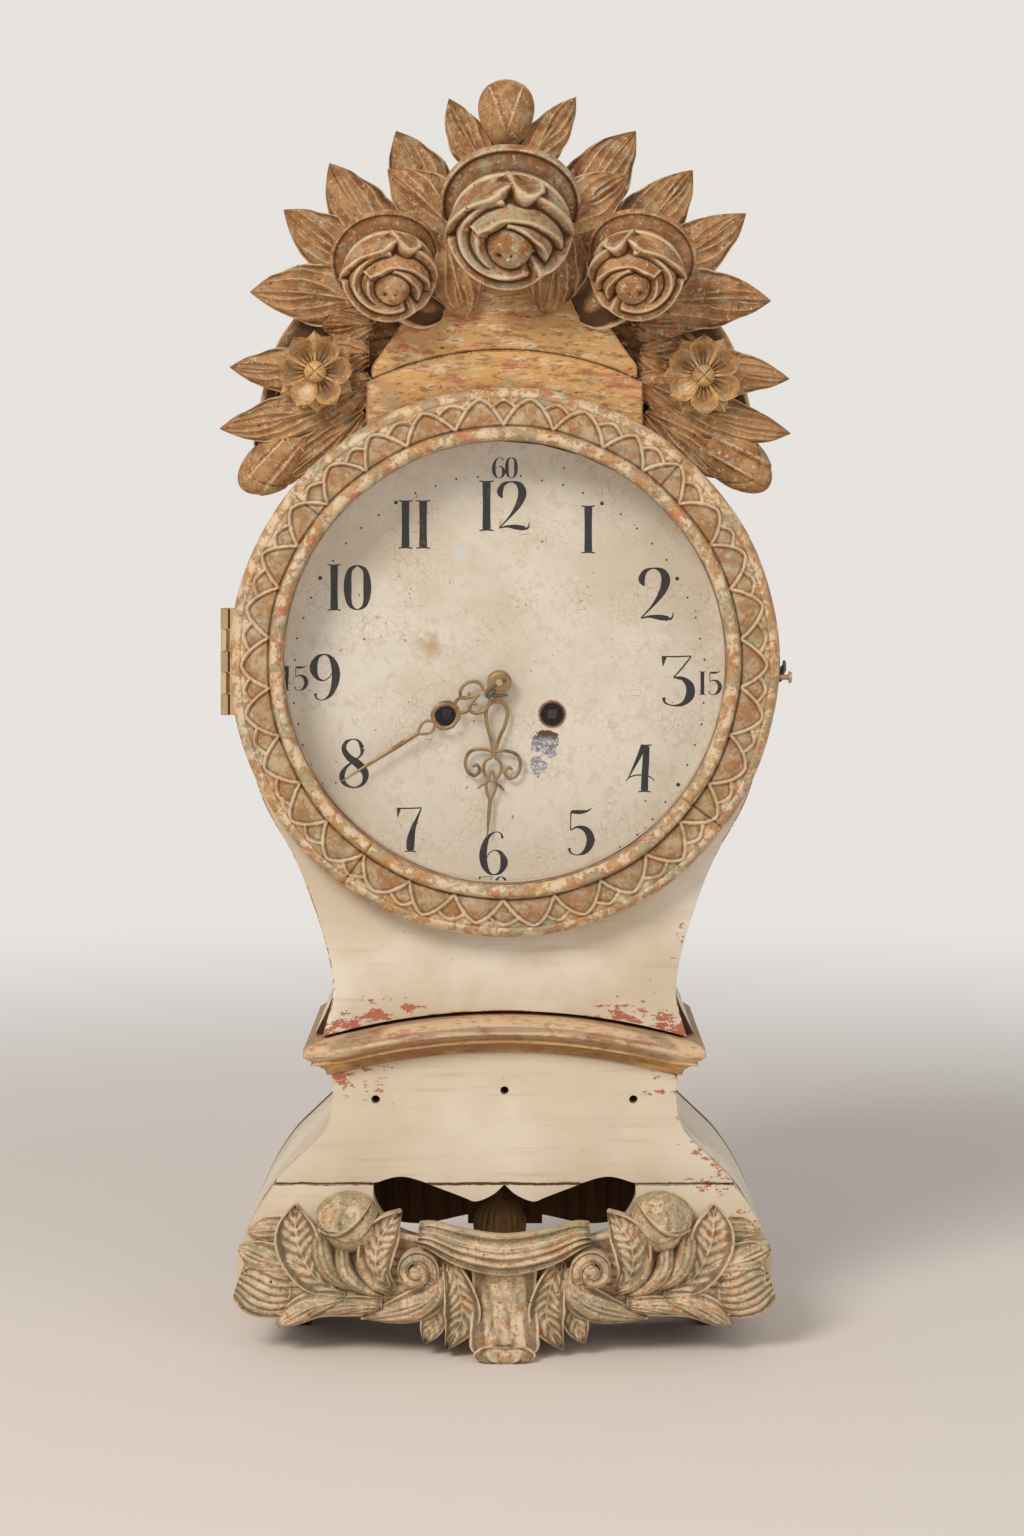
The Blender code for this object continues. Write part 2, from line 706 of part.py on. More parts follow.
def hinge_leaf(owned, leaf_front, leaf_back):
    """One hinge leaf with the knuckles that belong to it."""
    axis_x = -BEZEL_RADIUS - HINGE_OFFSET
    axis_y = depth(-DOOR_GAP / 2)
    bottom = HEAD_HEIGHT - HINGE_LENGTH / 2
    pitch = HINGE_LENGTH / HINGE_KNUCKLES
    bore = HINGE_PIN_RADIUS + RUNNING_FIT
    bodies = []
    for number in owned:
        low = bottom + number * pitch + RUNNING_FIT / 2
        high = bottom + (number + 1) * pitch - RUNNING_FIT / 2
        first = math.asin((leaf_back - axis_y) / HINGE_BARREL_RADIUS)
        last = math.tau + math.asin((leaf_front - axis_y) / HINGE_BARREL_RADIUS)
        outline = arc((axis_x, axis_y), HINGE_BARREL_RADIUS, first, last, 6)
        leaf_end = axis_x + HINGE_LEAF_WIDTH * 0.4
        outline += [(leaf_end, leaf_front), (leaf_end, leaf_back)]
        inner = ring((axis_x, axis_y), bore, 6)
        bodies.append(plate(outline, low, high, [inner], axis="Z"))
    sheet = [
        (axis_x + HINGE_BARREL_RADIUS + RUNNING_FIT, bottom),
        (axis_x + HINGE_LEAF_WIDTH, bottom),
        (axis_x + HINGE_LEAF_WIDTH, bottom + HINGE_LENGTH),
        (axis_x + HINGE_BARREL_RADIUS + RUNNING_FIT, bottom + HINGE_LENGTH),
    ]
    return union([plate(sheet, leaf_front, leaf_back)] + bodies)


def build_hinge():
    """Two leaves and the pin of the door hinge."""
    axis = (-BEZEL_RADIUS - HINGE_OFFSET, depth(-DOOR_GAP / 2), HEAD_HEIGHT)
    case_numbers = range(0, HINGE_KNUCKLES, 2)
    door_numbers = range(1, HINGE_KNUCKLES, 2)
    case_front = depth(-FIT - HINGE_LEAF_THICKNESS)
    add_piece("hinge_case_leaf", hinge_leaf(case_numbers, case_front, depth(-FIT)), BRASS)
    door_back = depth(-DOOR_GAP + FIT + HINGE_LEAF_THICKNESS)
    leaf = hinge_leaf(door_numbers, depth(-DOOR_GAP + FIT), door_back)
    pin = rod(axis[:2], HINGE_PIN_RADIUS, axis[2] - HINGE_LENGTH / 2, axis[2] + HINGE_LENGTH / 2, 8, "Z")
    add_piece("hinge_pin", pin, IRON)
    return axis, leaf


def build_door():
    """Everything that swings with the bezel, with its origin on the hinge."""
    axis, leaf = build_hinge()
    glass, bead = build_glazing()
    add_piece("bezel", build_bezel(), OCHRE_PAINT, axis)
    add_piece("door_glass", glass, GLASS, axis)
    add_piece("glazing_bead", bead, BARE_WOOD, axis)
    add_piece("hinge_door_leaf", leaf, BRASS, axis)
    height = HEAD_HEIGHT - LATCH_DROP
    start = math.sqrt(BEZEL_RADIUS ** 2 - LATCH_DROP ** 2) + FIT
    end = start + LATCH_PIN_LENGTH
    profile = [(LATCH_PIN_RADIUS, start), (LATCH_PIN_RADIUS, end)]
    profile += [(LATCH_HEAD_RADIUS, end), (LATCH_HEAD_RADIUS * 0.8, end + LATCH_HEAD_THICKNESS)]
    pin = turned(profile, (depth(-LATCH_PIN_SETBACK), height), 10, "X")
    add_piece("latch_pin", pin, BRASS, axis)


def build_latch():
    """Hook on the case side, shown raised clear of the pin so that the door is free."""
    height = HEAD_HEIGHT - LATCH_DROP
    wall = math.sqrt(HEAD_RADIUS ** 2 - LATCH_DROP ** 2)
    start = math.sqrt(BEZEL_RADIUS ** 2 - LATCH_DROP ** 2) + FIT
    inner = start + LATCH_PIN_LENGTH / 2 - LATCH_PLATE / 2
    pivot = (inner, depth(LATCH_PIVOT_DEPTH), height)
    reach = LATCH_PIVOT_DEPTH + LATCH_PIN_SETBACK
    slot = LATCH_PIN_RADIUS + 2 * RUNNING_FIT
    lip = LATCH_PIN_RADIUS * 1.6
    arm = LATCH_BAR / 2
    eye = arc((0.0, 0.0), LATCH_BAR, math.radians(-140.0), math.radians(140.0), 10)
    nose = [
        (-reach + slot + lip, arm),
        (-reach, arm + slot),
        (-reach - slot - lip, arm),
        (-reach - slot - lip, -slot),
        (-reach - slot, -slot),
        (-reach - slot, slot * 0.4),
        (-reach, slot),
        (-reach + slot, slot * 0.4),
        (-reach + slot, -slot),
        (-reach + slot + lip, -arm),
    ]
    outline = eye + nose
    screw_radius = LATCH_BAR * 0.5
    hole = ring((0.0, 0.0), screw_radius + RUNNING_FIT, 8)
    body = plate(outline, 0.0, LATCH_PLATE, [hole], axis="X")
    bmesh.ops.rotate(body, verts=body.verts, cent=(0, 0, 0), matrix=Matrix.Rotation(-LATCH_RAISED, 3, "X"))
    bmesh.ops.translate(body, verts=body.verts, vec=Vector(pivot))
    add_piece("latch_hook", body, IRON, pivot)
    profile = [
        (LATCH_BAR * 0.9, wall + FIT),
        (LATCH_BAR * 0.9, inner - RUNNING_FIT),
        (screw_radius, inner - RUNNING_FIT),
        (screw_radius, inner + LATCH_PLATE + RUNNING_FIT),
        (LATCH_BAR * 0.9, inner + LATCH_PLATE + RUNNING_FIT),
        (LATCH_BAR * 0.6, inner + LATCH_PLATE + RUNNING_FIT + LATCH_HEAD_THICKNESS),
    ]
    add_piece("latch_screw", turned(profile, pivot[1:], 10, "X"), IRON)


def on_dial(across, up):
    """Place on the dial, from its centre, as X and Z."""
    return DIAL_SHIFT + across, DIAL_HEIGHT + up


def build_dial():
    """Painted iron dial with its winding holes, on four feet that reach the movement."""
    holes = [ring(on_dial(0.0, 0.0), DIAL_CENTRE_HOLE, 10)]
    for sign in (-1, 1):
        holes.append(ring(on_dial(sign * WINDING_SPREAD, -WINDING_DROP), WINDING_HOLE_RADIUS, 12))
    edge = ring(on_dial(0.0, 0.0), DIAL_RADIUS, 36)
    bodies = [plate(edge, depth(DIAL_FRONT), depth(DIAL_BACK), holes)]
    for across in (-1, 1):
        for up in (-PLATE_BELOW, PLATE_ABOVE):
            place = on_dial(across * (PLATE_HALF - 2 * PILLAR_INSET), up * 0.72)
            bodies.append(rod(place, DIAL_FOOT_RADIUS, depth(DIAL_BACK - FIT), depth(PLATE_FRONT - FIT), 6))
    add_piece("dial", union(bodies), DIAL_PAINT)


def third_place():
    """Third arbor, where the circles of its two meshing distances cross."""
    up = (CENTRE_TO_THIRD ** 2 - THIRD_TO_ESCAPE ** 2 + ESCAPE_RISE ** 2) / (2 * ESCAPE_RISE)
    return math.sqrt(CENTRE_TO_THIRD ** 2 - up ** 2), up


def build_plates():
    """Movement plates with their arbor holes. The pillars are riveted to the back plate."""
    third = third_place()
    arbors = [
        ((0.0, 0.0), CENTRE_ARBOR_RADIUS),
        ((-WINDING_SPREAD, -WINDING_DROP), BARREL_ARBOR_RADIUS),
        ((WINDING_SPREAD, -WINDING_DROP), BARREL_ARBOR_RADIUS),
        (third, ARBOR_RADIUS),
        ((0.0, ESCAPE_RISE), ARBOR_RADIUS),
        ((0.0, ANCHOR_HEIGHT), ARBOR_RADIUS),
        ((HAMMER_SPREAD, HAMMER_RISE), ARBOR_RADIUS),
    ]
    holes = [ring(on_dial(*place), radius + 2 * RUNNING_FIT, 6) for place, radius in arbors]
    corners = []
    for across, up in ((1, -PLATE_BELOW), (1, PLATE_ABOVE), (-1, PLATE_ABOVE), (-1, -PLATE_BELOW)):
        corners.append(on_dial(across * PLATE_HALF, up))
    stud = ring(on_dial(0.0, -MOTION_CENTRES), ARBOR_RADIUS + 2 * RUNNING_FIT, 6)
    front = plate(corners, depth(PLATE_FRONT), depth(PLATE_INSIDE), holes + [stud])
    add_piece("movement_front_plate", front, BRASS)
    bodies = [plate(corners, depth(BACK_PLATE_FRONT), depth(BACK_PLATE_BACK), holes)]
    for across in (-1, 1):
        for up in (-PLATE_BELOW + PILLAR_INSET, PLATE_ABOVE - PILLAR_INSET):
            place = on_dial(across * (PLATE_HALF - PILLAR_INSET), up)
            start = depth(PLATE_INSIDE + FIT)
            bodies.append(rod(place, PILLAR_RADIUS, start, depth(BACK_PLATE_FRONT + FIT), 6))
    add_piece("movement_back_plate", union(bodies), BRASS)


def toothed(teeth, place, rows):
    """Outline of a wheel from the (radius, share of the pitch) rows of one tooth."""
    centre = on_dial(*place[:2])
    outline = []
    for number in range(teeth):
        for radius, share in rows:
            angle = place[2] + math.tau * (number + share) / teeth
            outline.append((centre[0] + radius * math.cos(angle), centre[1] + radius * math.sin(angle)))
    return outline


def wheel(teeth, module, place, phase, front):
    """Wheel with pointed teeth."""
    pitch = teeth * module / 2
    rows = ((pitch - ROOT_DEPTH * module, -0.5), (pitch + TIP_RISE * module, 0.0))
    return plate(toothed(teeth, (*place, phase), rows), depth(front), depth(front + WHEEL_THICKNESS))


def pinion(teeth, module, place, phase, front):
    """Pinion with narrow leaves, which leave room for the wheel's teeth."""
    pitch = teeth * module / 2
    root = pitch - ROOT_DEPTH * module
    tip = pitch + TIP_RISE * module
    rows = ((root, -LEAF_ROOT), (tip, 0.0), (root, LEAF_ROOT))
    return plate(toothed(teeth, (*place, phase), rows), depth(front), depth(front + WHEEL_THICKNESS))


def bearing(start, end):
    """Direction from one place on the dial to another."""
    return math.atan2(end[1] - start[1], end[0] - start[0])


def facing_gap(start, end, teeth):
    """Phase that turns a gap of a wheel towards the wheel that it meshes with."""
    return bearing(start, end) + math.pi / teeth


def on_axis(place, distance):
    """Point on an arbor's axis at a depth."""
    x, z = on_dial(*place)
    return x, depth(distance), z


def build_barrels():
    """Spring barrels with their great wheels, arbors and winding squares."""
    drum_front = PLATE_INSIDE + BARREL_INSET
    drum_back = drum_front + BARREL_LENGTH
    places = (("going_barrel", -1, drum_front - WHEEL_THICKNESS / 2), ("strike_barrel", 1, drum_back - FIT))
    for name, sign, wheel_front in places:
        place = (sign * WINDING_SPREAD, -WINDING_DROP)
        great = wheel(GREAT_TEETH, GREAT_MODULE, place, bearing(place, (0.0, 0.0)), wheel_front)
        drum = rod(on_dial(*place), BARREL_RADIUS, depth(drum_front), depth(drum_back), 18)
        arbor_end = depth(BACK_PLATE_BACK + FIT)
        arbor = rod(on_dial(*place), BARREL_ARBOR_RADIUS, depth(PLATE_FRONT + FIT), arbor_end, 8)
        half = WINDING_SQUARE / 2
        square = [(half, -half), (half, half), (-half, half), (-half, -half)]
        square = [on_dial(place[0] + x, place[1] + z) for x, z in square]
        key_end = plate(square, depth(DIAL_BACK + WINDING_RECESS), depth(PLATE_INSIDE))
        add_piece(name, union([great, drum, arbor, key_end]), BRASS, on_axis(place, PLATE_INSIDE))


def build_going_train():
    """Centre arbor, third wheel and escape wheel, in mesh from the going barrel upwards."""
    centre = (0.0, 0.0)
    third = third_place()
    escape = (0.0, ESCAPE_RISE)
    barrel = (-WINDING_SPREAD, -WINDING_DROP)
    pinion_front = PLATE_INSIDE + BARREL_INSET - WHEEL_THICKNESS / 2
    centre_front = BACK_PLATE_FRONT - CENTRE_WHEEL_GAP - WHEEL_THICKNESS
    cannon_front = PLATE_FRONT - RUNNING_FIT - WHEEL_THICKNESS
    arbor_front = HOUR_HAND_DEPTH - HAND_SPACING - 2 * HAND_THICKNESS - 4 * FIT - 2 * TAPER_PIN_RADIUS
    pinion_phase = facing_gap(centre, barrel, CENTRE_PINION_TEETH)
    bodies = [
        rod(on_dial(*centre), CENTRE_ARBOR_RADIUS, depth(arbor_front), depth(BACK_PLATE_BACK + FIT), 8),
        pinion(CENTRE_PINION_TEETH, GREAT_MODULE, centre, pinion_phase, pinion_front),
        wheel(CENTRE_TEETH, CENTRE_MODULE, centre, bearing(centre, third), centre_front),
        pinion(CANNON_TEETH, MOTION_MODULE, centre, -math.pi / 2, cannon_front),
    ]
    add_piece("center_arbor", union(bodies), BRASS, on_axis(centre, PLATE_INSIDE))

    third_front = PLATE_INSIDE + THIRD_WHEEL_SETBACK
    back = depth(BACK_PLATE_BACK)
    bodies = [
        rod(on_dial(*third), ARBOR_RADIUS, depth(PLATE_FRONT), back, 6),
        pinion(THIRD_PINION_TEETH, CENTRE_MODULE, third, facing_gap(third, centre, THIRD_PINION_TEETH),
               centre_front),
        wheel(THIRD_TEETH, THIRD_MODULE, third, bearing(third, escape), third_front),
    ]
    add_piece("third_wheel", union(bodies), BRASS, on_axis(third, PLATE_INSIDE))

    escape_front = PLATE_INSIDE + ESCAPE_SETBACK
    hub = on_dial(*escape)
    outline = toothed(ESCAPE_TEETH, (*escape, 0.0), ((ESCAPE_RADIUS * 0.80, 0.0), (ESCAPE_RADIUS, 0.85)))
    bodies = [
        rod(hub, ARBOR_RADIUS, depth(PLATE_FRONT), back, 6),
        pinion(ESCAPE_PINION_TEETH, THIRD_MODULE, escape, facing_gap(escape, third, ESCAPE_PINION_TEETH),
               third_front),
        plate(outline, depth(escape_front), depth(escape_front + WHEEL_THICKNESS)),
    ]
    add_piece("escape_wheel", union(bodies), BRASS, on_axis(escape, PLATE_INSIDE))


def build_motion_work():
    """Minute wheel and hour wheel, which turn the hour hand at a twelfth of the minute hand."""
    centre = (0.0, 0.0)
    stud = (0.0, -MOTION_CENTRES)
    cannon_front = PLATE_FRONT - RUNNING_FIT - WHEEL_THICKNESS
    hour_front = cannon_front - RUNNING_FIT - WHEEL_THICKNESS
    bodies = [
        wheel(MINUTE_WHEEL_TEETH, MOTION_MODULE, stud, facing_gap(stud, centre, MINUTE_WHEEL_TEETH),
              cannon_front),
        pinion(MINUTE_PINION_TEETH, HOUR_MODULE, stud, bearing(stud, centre), hour_front),
        rod(on_dial(*stud), ARBOR_RADIUS, depth(hour_front - WHEEL_THICKNESS), depth(PLATE_INSIDE), 6),
    ]
    add_piece("minute_wheel", union(bodies), BRASS, on_axis(stud, PLATE_INSIDE))

    bore = CENTRE_ARBOR_RADIUS + 2 * RUNNING_FIT
    pipe = bore + HOUR_PIPE_WALL
    pipe_front = HOUR_HAND_DEPTH - HAND_SPACING * 0.2
    centre_xz = on_dial(*centre)
    wheel_phase = facing_gap(centre, stud, HOUR_TEETH)
    hour = wheel(HOUR_TEETH, HOUR_MODULE, centre, wheel_phase, hour_front)
    tube = rod(centre_xz, pipe, depth(pipe_front), depth(hour_front + WHEEL_THICKNESS / 2), 12)
    body = union([hour, tube])
    cutter = rod(centre_xz, bore, depth(pipe_front - HAND_SPACING), depth(PLATE_FRONT), 12)
    add_piece("hour_wheel", cut(body, cutter), BRASS, on_axis(centre, PLATE_INSIDE))
    return pipe


def cut(body, cutter):
    """Take one closed mesh out of another."""
    pieces = []
    for source in (body, cutter):
        bmesh.ops.recalc_face_normals(source, faces=source.faces)
        mesh = bpy.data.meshes.new("cut_part")
        source.to_mesh(mesh)
        source.free()
        piece = bpy.data.objects.new("cut_part", mesh)
        bpy.context.scene.collection.objects.link(piece)
        pieces.append(piece)
    take = pieces[0].modifiers.new("take", "BOOLEAN")
    take.operation = "DIFFERENCE"
    take.solver = "EXACT"
    take.object = pieces[1]
    graph = bpy.context.evaluated_depsgraph_get()
    result = bmesh.new()
    result.from_object(pieces[0], graph)
    for piece in pieces:
        mesh = piece.data
        bpy.data.objects.remove(piece, do_unlink=True)
        bpy.data.meshes.remove(mesh)
    return result


def hand_outline(hub_radius, rows, length):
    """Outline of a hand that points up: a round hub, then half widths along the length."""
    start = math.radians(115.0)
    hub = arc((0.0, 0.0), hub_radius, start, start + math.radians(310.0), 10)
    right = [(half * length, share * length) for share, half in rows]
    left = [(-x, z) for x, z in reversed(right)]
    return hub + right + left


def oval(x, z, half_width, half_height, steps):
    """Closed oval hole in a hand."""
    return [
        (x + half_width * math.cos(angle), z + half_height * math.sin(angle))
        for angle in (math.tau * step / steps for step in range(steps))
    ]


# Half width of each hand along its length, both as shares of the length
HOUR_HAND_ROWS = (
    (0.11, 0.036), (0.17, 0.052), (0.25, 0.075), (0.34, 0.070), (0.41, 0.045), (0.46, 0.037), (0.50, 0.10),
    (0.55, 0.165), (0.60, 0.175), (0.64, 0.14), (0.67, 0.075), (0.69, 0.040), (0.75, 0.052), (0.81, 0.040),
    (0.86, 0.020), (0.93, 0.016), (1.0, 0.004),
)
MINUTE_HAND_ROWS = (
    (0.085, 0.026), (0.125, 0.058), (0.17, 0.105), (0.22, 0.115), (0.27, 0.085), (0.315, 0.038),
    (0.345, 0.03), (0.37, 0.062), (0.41, 0.076), (0.45, 0.062), (0.475, 0.03), (0.515, 0.046),
    (0.555, 0.034), (0.59, 0.019), (0.77, 0.016), (1.0, 0.004),
)


def build_hands(pipe_radius):
    """Pierced hands, the collet and the taper pin on the end of the centre arbor."""
    hub_x, hub_z = on_dial(0.0, 0.0)
    length = HOUR_HAND_LENGTH
    holes = [
        ring((0.0, 0.0), pipe_radius + RUNNING_FIT, 12),
        oval(0.0, 0.27 * length, 0.045 * length, 0.105 * length, 10),
        oval(0.098 * length, 0.585 * length, 0.048 * length, 0.042 * length, 8),
        oval(-0.098 * length, 0.585 * length, 0.048 * length, 0.042 * length, 8),
        oval(0.0, 0.755 * length, 0.026 * length, 0.036 * length, 8),
    ]
    outline = hand_outline(pipe_radius * 2, HOUR_HAND_ROWS, length)
    body = plate(outline, HOUR_HAND_DEPTH, HOUR_HAND_DEPTH + HAND_THICKNESS, holes)
    place_hand("hour_hand", body, hub_x, hub_z, HOUR_HAND_ANGLE)

    length = MINUTE_HAND_LENGTH
    holes = [
        ring((0.0, 0.0), CENTRE_ARBOR_RADIUS + RUNNING_FIT, 12),
        oval(0.060 * length, 0.205 * length, 0.034 * length, 0.046 * length, 8),
        oval(-0.060 * length, 0.205 * length, 0.034 * length, 0.046 * length, 8),
        oval(0.0, 0.41 * length, 0.050 * length, 0.045 * length, 10),
        oval(0.0, 0.515 * length, 0.024 * length, 0.022 * length, 8),
    ]
    front = HOUR_HAND_DEPTH - HAND_SPACING - HAND_THICKNESS
    outline = hand_outline(CENTRE_ARBOR_RADIUS * 3, MINUTE_HAND_ROWS, length)
    place_hand("minute_hand", plate(outline, front, front + HAND_THICKNESS, holes), hub_x, hub_z,
               MINUTE_HAND_ANGLE)

    collet_back = front - FIT
    collet_front = collet_back - HAND_THICKNESS
    hole = ring((hub_x, hub_z), CENTRE_ARBOR_RADIUS + RUNNING_FIT, 8)
    disc = plate(ring((hub_x, hub_z), COLLET_RADIUS, 18), depth(collet_front), depth(collet_back), [hole])
    axis = (hub_x, depth(PLATE_INSIDE), hub_z)
    add_piece("hand_collet", disc, BRASS, axis)
    pin_y = depth(collet_front - FIT - TAPER_PIN_RADIUS)
    start = hub_x + CENTRE_ARBOR_RADIUS + FIT
    profile = [(TAPER_PIN_RADIUS, start), (TAPER_PIN_RADIUS * 0.5, start + TAPER_PIN_LENGTH / 2)]
    add_piece("hand_pin", turned(profile, (pin_y, hub_z), 6, "X"), IRON, axis)


def place_hand(name, body, hub_x, hub_z, angle):
    """Set a hand on its arbor, turned clockwise from twelve."""
    bmesh.ops.translate(body, verts=body.verts, vec=(hub_x, FRONT_Y, hub_z))
    add_piece(name, body, BRONZE, (hub_x, depth(PLATE_INSIDE), hub_z), angle)


def build_anchor():
    """Anchor with its arbor and crutch. The pallets clear the escape wheel all through the swing."""
    escape_x, escape_z = on_dial(0.0, ESCAPE_RISE)
    hub = on_dial(0.0, ANCHOR_HEIGHT)
    inner = ESCAPE_RADIUS + ANCHOR_CLEARANCE
    outer = inner + ANCHOR_WIDTH
    low = math.pi / 2 - ANCHOR_SPAN
    high = math.pi / 2 + ANCHOR_SPAN
    crescent = arc((escape_x, escape_z), inner, low, high, 10)
    crescent += arc((escape_x, escape_z), outer, high, low, 10)
    front = PLATE_INSIDE + ESCAPE_SETBACK
    neck_half = ARBOR_RADIUS
    neck = [
        (hub[0] - neck_half, escape_z + inner + ANCHOR_WIDTH / 2),
        (hub[0] + neck_half, escape_z + inner + ANCHOR_WIDTH / 2),
        (hub[0] + neck_half, hub[1]),
        (hub[0] - neck_half, hub[1]),
    ]
    crutch_front = depth(BACK_PLATE_BACK + CRUTCH_GAP)
    crutch_back = crutch_front + ROD_THICKNESS
    crutch_low = DIAL_HEIGHT
    crutch = [
        (hub[0] - ROD_WIDTH / 2, crutch_low),
        (hub[0] + ROD_WIDTH / 2, crutch_low),
        (hub[0] + ROD_WIDTH / 2, hub[1] + ROD_WIDTH / 2),
        (hub[0] - ROD_WIDTH / 2, hub[1] + ROD_WIDTH / 2),
    ]
    rod_half = ROD_WIDTH / 2 + RUNNING_FIT
    rod_front = depth(PENDULUM_DEPTH) - ROD_THICKNESS / 2 - RUNNING_FIT
    prong_end = depth(PENDULUM_DEPTH) + ROD_THICKNESS
    wall = ROD_THICKNESS
    fork = [
        (hub[0] - rod_half - wall, crutch_front),
        (hub[0] + rod_half + wall, crutch_front),
        (hub[0] + rod_half + wall, prong_end),
        (hub[0] + rod_half, prong_end),
        (hub[0] + rod_half, rod_front),
        (hub[0] - rod_half, rod_front),
        (hub[0] - rod_half, prong_end),
        (hub[0] - rod_half - wall, prong_end),
    ]
    bodies = [
        plate(crescent, depth(front), depth(front + WHEEL_THICKNESS)),
        plate(neck, depth(front - FIT), depth(front + WHEEL_THICKNESS + FIT)),
        rod(hub, ARBOR_RADIUS, depth(PLATE_FRONT), crutch_back + FIT, 8),
        plate(crutch, crutch_front, crutch_back),
        plate(fork, crutch_low + ROD_WIDTH / 4, crutch_low + ROD_WIDTH, axis="Z"),
    ]
    add_piece("anchor", union(bodies), IRON, (hub[0], depth(PENDULUM_DEPTH), hub[1]))


def build_pendulum():
    """Suspension cock, rod and ribbed bob. The bob hangs behind the opening in the base."""
    x, pivot = on_dial(0.0, ANCHOR_HEIGHT)
    y = depth(PENDULUM_DEPTH)
    cock_low = pivot + ROD_WIDTH
    cock = [
        (x - COCK_WIDTH / 2, depth(BACK_PLATE_BACK + FIT)),
        (x + COCK_WIDTH / 2, depth(BACK_PLATE_BACK + FIT)),
        (x + COCK_WIDTH / 3, y + ROD_WIDTH),
        (x - COCK_WIDTH / 3, y + ROD_WIDTH),
    ]
    add_piece("back_cock", plate(cock, cock_low, cock_low + COCK_HEIGHT, axis="Z"), BRASS)

    top = BOB_CLEARANCE + BOB_HEIGHT
    strip = [
        (x - ROD_WIDTH / 2, top + FIT),
        (x + ROD_WIDTH / 2, top + FIT),
        (x + ROD_WIDTH / 2, pivot),
        (x + ROD_WIDTH / 4, pivot + ROD_WIDTH / 2),
        (x + ROD_WIDTH / 4, cock_low - FIT),
        (x - ROD_WIDTH / 4, cock_low - FIT),
        (x - ROD_WIDTH / 4, pivot + ROD_WIDTH / 2),
        (x - ROD_WIDTH / 2, pivot),
    ]
    axis = (x, y, pivot)
    add_piece("pendulum_rod", plate(strip, y - ROD_THICKNESS / 2, y + ROD_THICKNESS / 2), IRON, axis)

    profile = ((0.70, 0.0), (0.95, 0.10), (1.0, 0.30), (0.93, 0.55), (0.70, 0.80), (0.40, 0.94), (0.16, 1.0))
    steps = BOB_RIBS * 2
    sections = []
    for share, up in profile:
        section = []
        for step in range(steps):
            angle = math.tau * step / steps
            radius = BOB_RADIUS * share * (1.0 if step % 2 else 0.88)
            section.append((x + radius * math.cos(angle), y + radius * math.sin(angle),
                            BOB_CLEARANCE + BOB_HEIGHT * up))
        sections.append(section)
    add_piece("pendulum_bob", loft(sections), BRONZE, axis)


def build_bell():
    """Bell on its stand over the movement, and the hammer beside its rim."""
    x, plate_top = on_dial(0.0, PLATE_ABOVE)
    rim = plate_top + BELL_RISE
    y = depth(BACK_PLATE_BACK) - BELL_RADIUS - 2 * BELL_WALL
    outside = ((1.0, 0.0), (0.90, 0.30), (0.72, 0.76), (0.40, 0.96), (0.10, 1.0))
    profile = [(BELL_RADIUS * share, rim + BELL_HEIGHT * up) for share, up in outside]
    profile.reverse()
    shell = [(max(BELL_RADIUS * share - BELL_WALL, 0.001), rim + (BELL_HEIGHT - BELL_WALL) * up)
             for share, up in outside]
    add_piece("bell", turned(profile + shell, (x, y), 12, "Z"), BRONZE)

    post_front = depth(BACK_PLATE_BACK + FIT)
    top = rim + BELL_HEIGHT + FIT
    foot = on_dial(0.0, ANCHOR_HEIGHT)[1] + ROD_WIDTH + COCK_HEIGHT + FIT
    post = [
        (post_front, foot),
        (post_front + BELL_ARM, foot),
        (post_front + BELL_ARM, top + BELL_ARM),
        (y - BELL_ARM, top + BELL_ARM),
        (y - BELL_ARM, top),
        (post_front, top),
    ]
    add_piece("bell_stand", plate(post, x - BELL_ARM, x + BELL_ARM, axis="X"), IRON)

    pivot = on_dial(HAMMER_SPREAD, HAMMER_RISE)
    head_x = x + BELL_RADIUS + HAMMER_REST_GAP + HAMMER_HEAD_RADIUS
    half = ARBOR_RADIUS
    lean = Vector((head_x - pivot[0], rim - pivot[1])).normalized()
    side = Vector((lean.y, -lean.x)) * half
    bar = [
        (pivot[0] - side.x, pivot[1] - side.y),
        (pivot[0] + side.x, pivot[1] + side.y),
        (head_x + side.x, rim + side.y),
        (head_x - side.x, rim - side.y),
    ]
    bodies = [
        rod(pivot, ARBOR_RADIUS, depth(PLATE_FRONT), depth(BACK_PLATE_BACK), 8),
        plate(bar, y - half, y + half),
        rod((head_x, rim), HAMMER_HEAD_RADIUS, y - HAMMER_HEAD_RADIUS, y + HAMMER_HEAD_RADIUS, 10),
    ]
    add_piece("hammer", union(bodies), IRON, (pivot[0], y, pivot[1]))


def from_head(across, up):
    """Place on the crest, measured from the top of the head."""
    return across, HEAD_HEIGHT + HEAD_RADIUS + up


def laid_out(place, sign):
    """Place on the crest from its layout squares, on one side of the clock."""
    return from_head(sign * place[0] * CARVING_GRID, place[1] * CARVING_GRID)


def leaf(base, tip, half_width, back, rise, bend=0.0):
    """Carved leaf with two swelling lobes beside a groove, from its root to its tip."""
    start = Vector(base)
    run = Vector(tip) - start
    along = run.normalized()
    across = Vector((along.y, -along.x))
    stations = ((0.0, 0.50), (0.38, 1.0), (0.76, 0.70), (1.0, 0.06))
    lobes = ((-1.0, 0.30), (-0.5, 1.0), (0.0, 0.66), (0.5, 1.0), (1.0, 0.30))
    sections = []
    for share, width in stations:
        middle = start + run * share + across * (bend * 4 * share * (1 - share))
        section = []
        for side, swell in lobes:
            spot = middle + across * (half_width * width * side)
            section.append((spot.x, back - rise * swell * (0.45 + 0.55 * width), spot.y))
        for side in (1.0, -1.0):
            spot = middle + across * (half_width * width * side * 0.96)
            section.append((spot.x, back, spot.y))
        sections.append(section)
    return loft(sections)


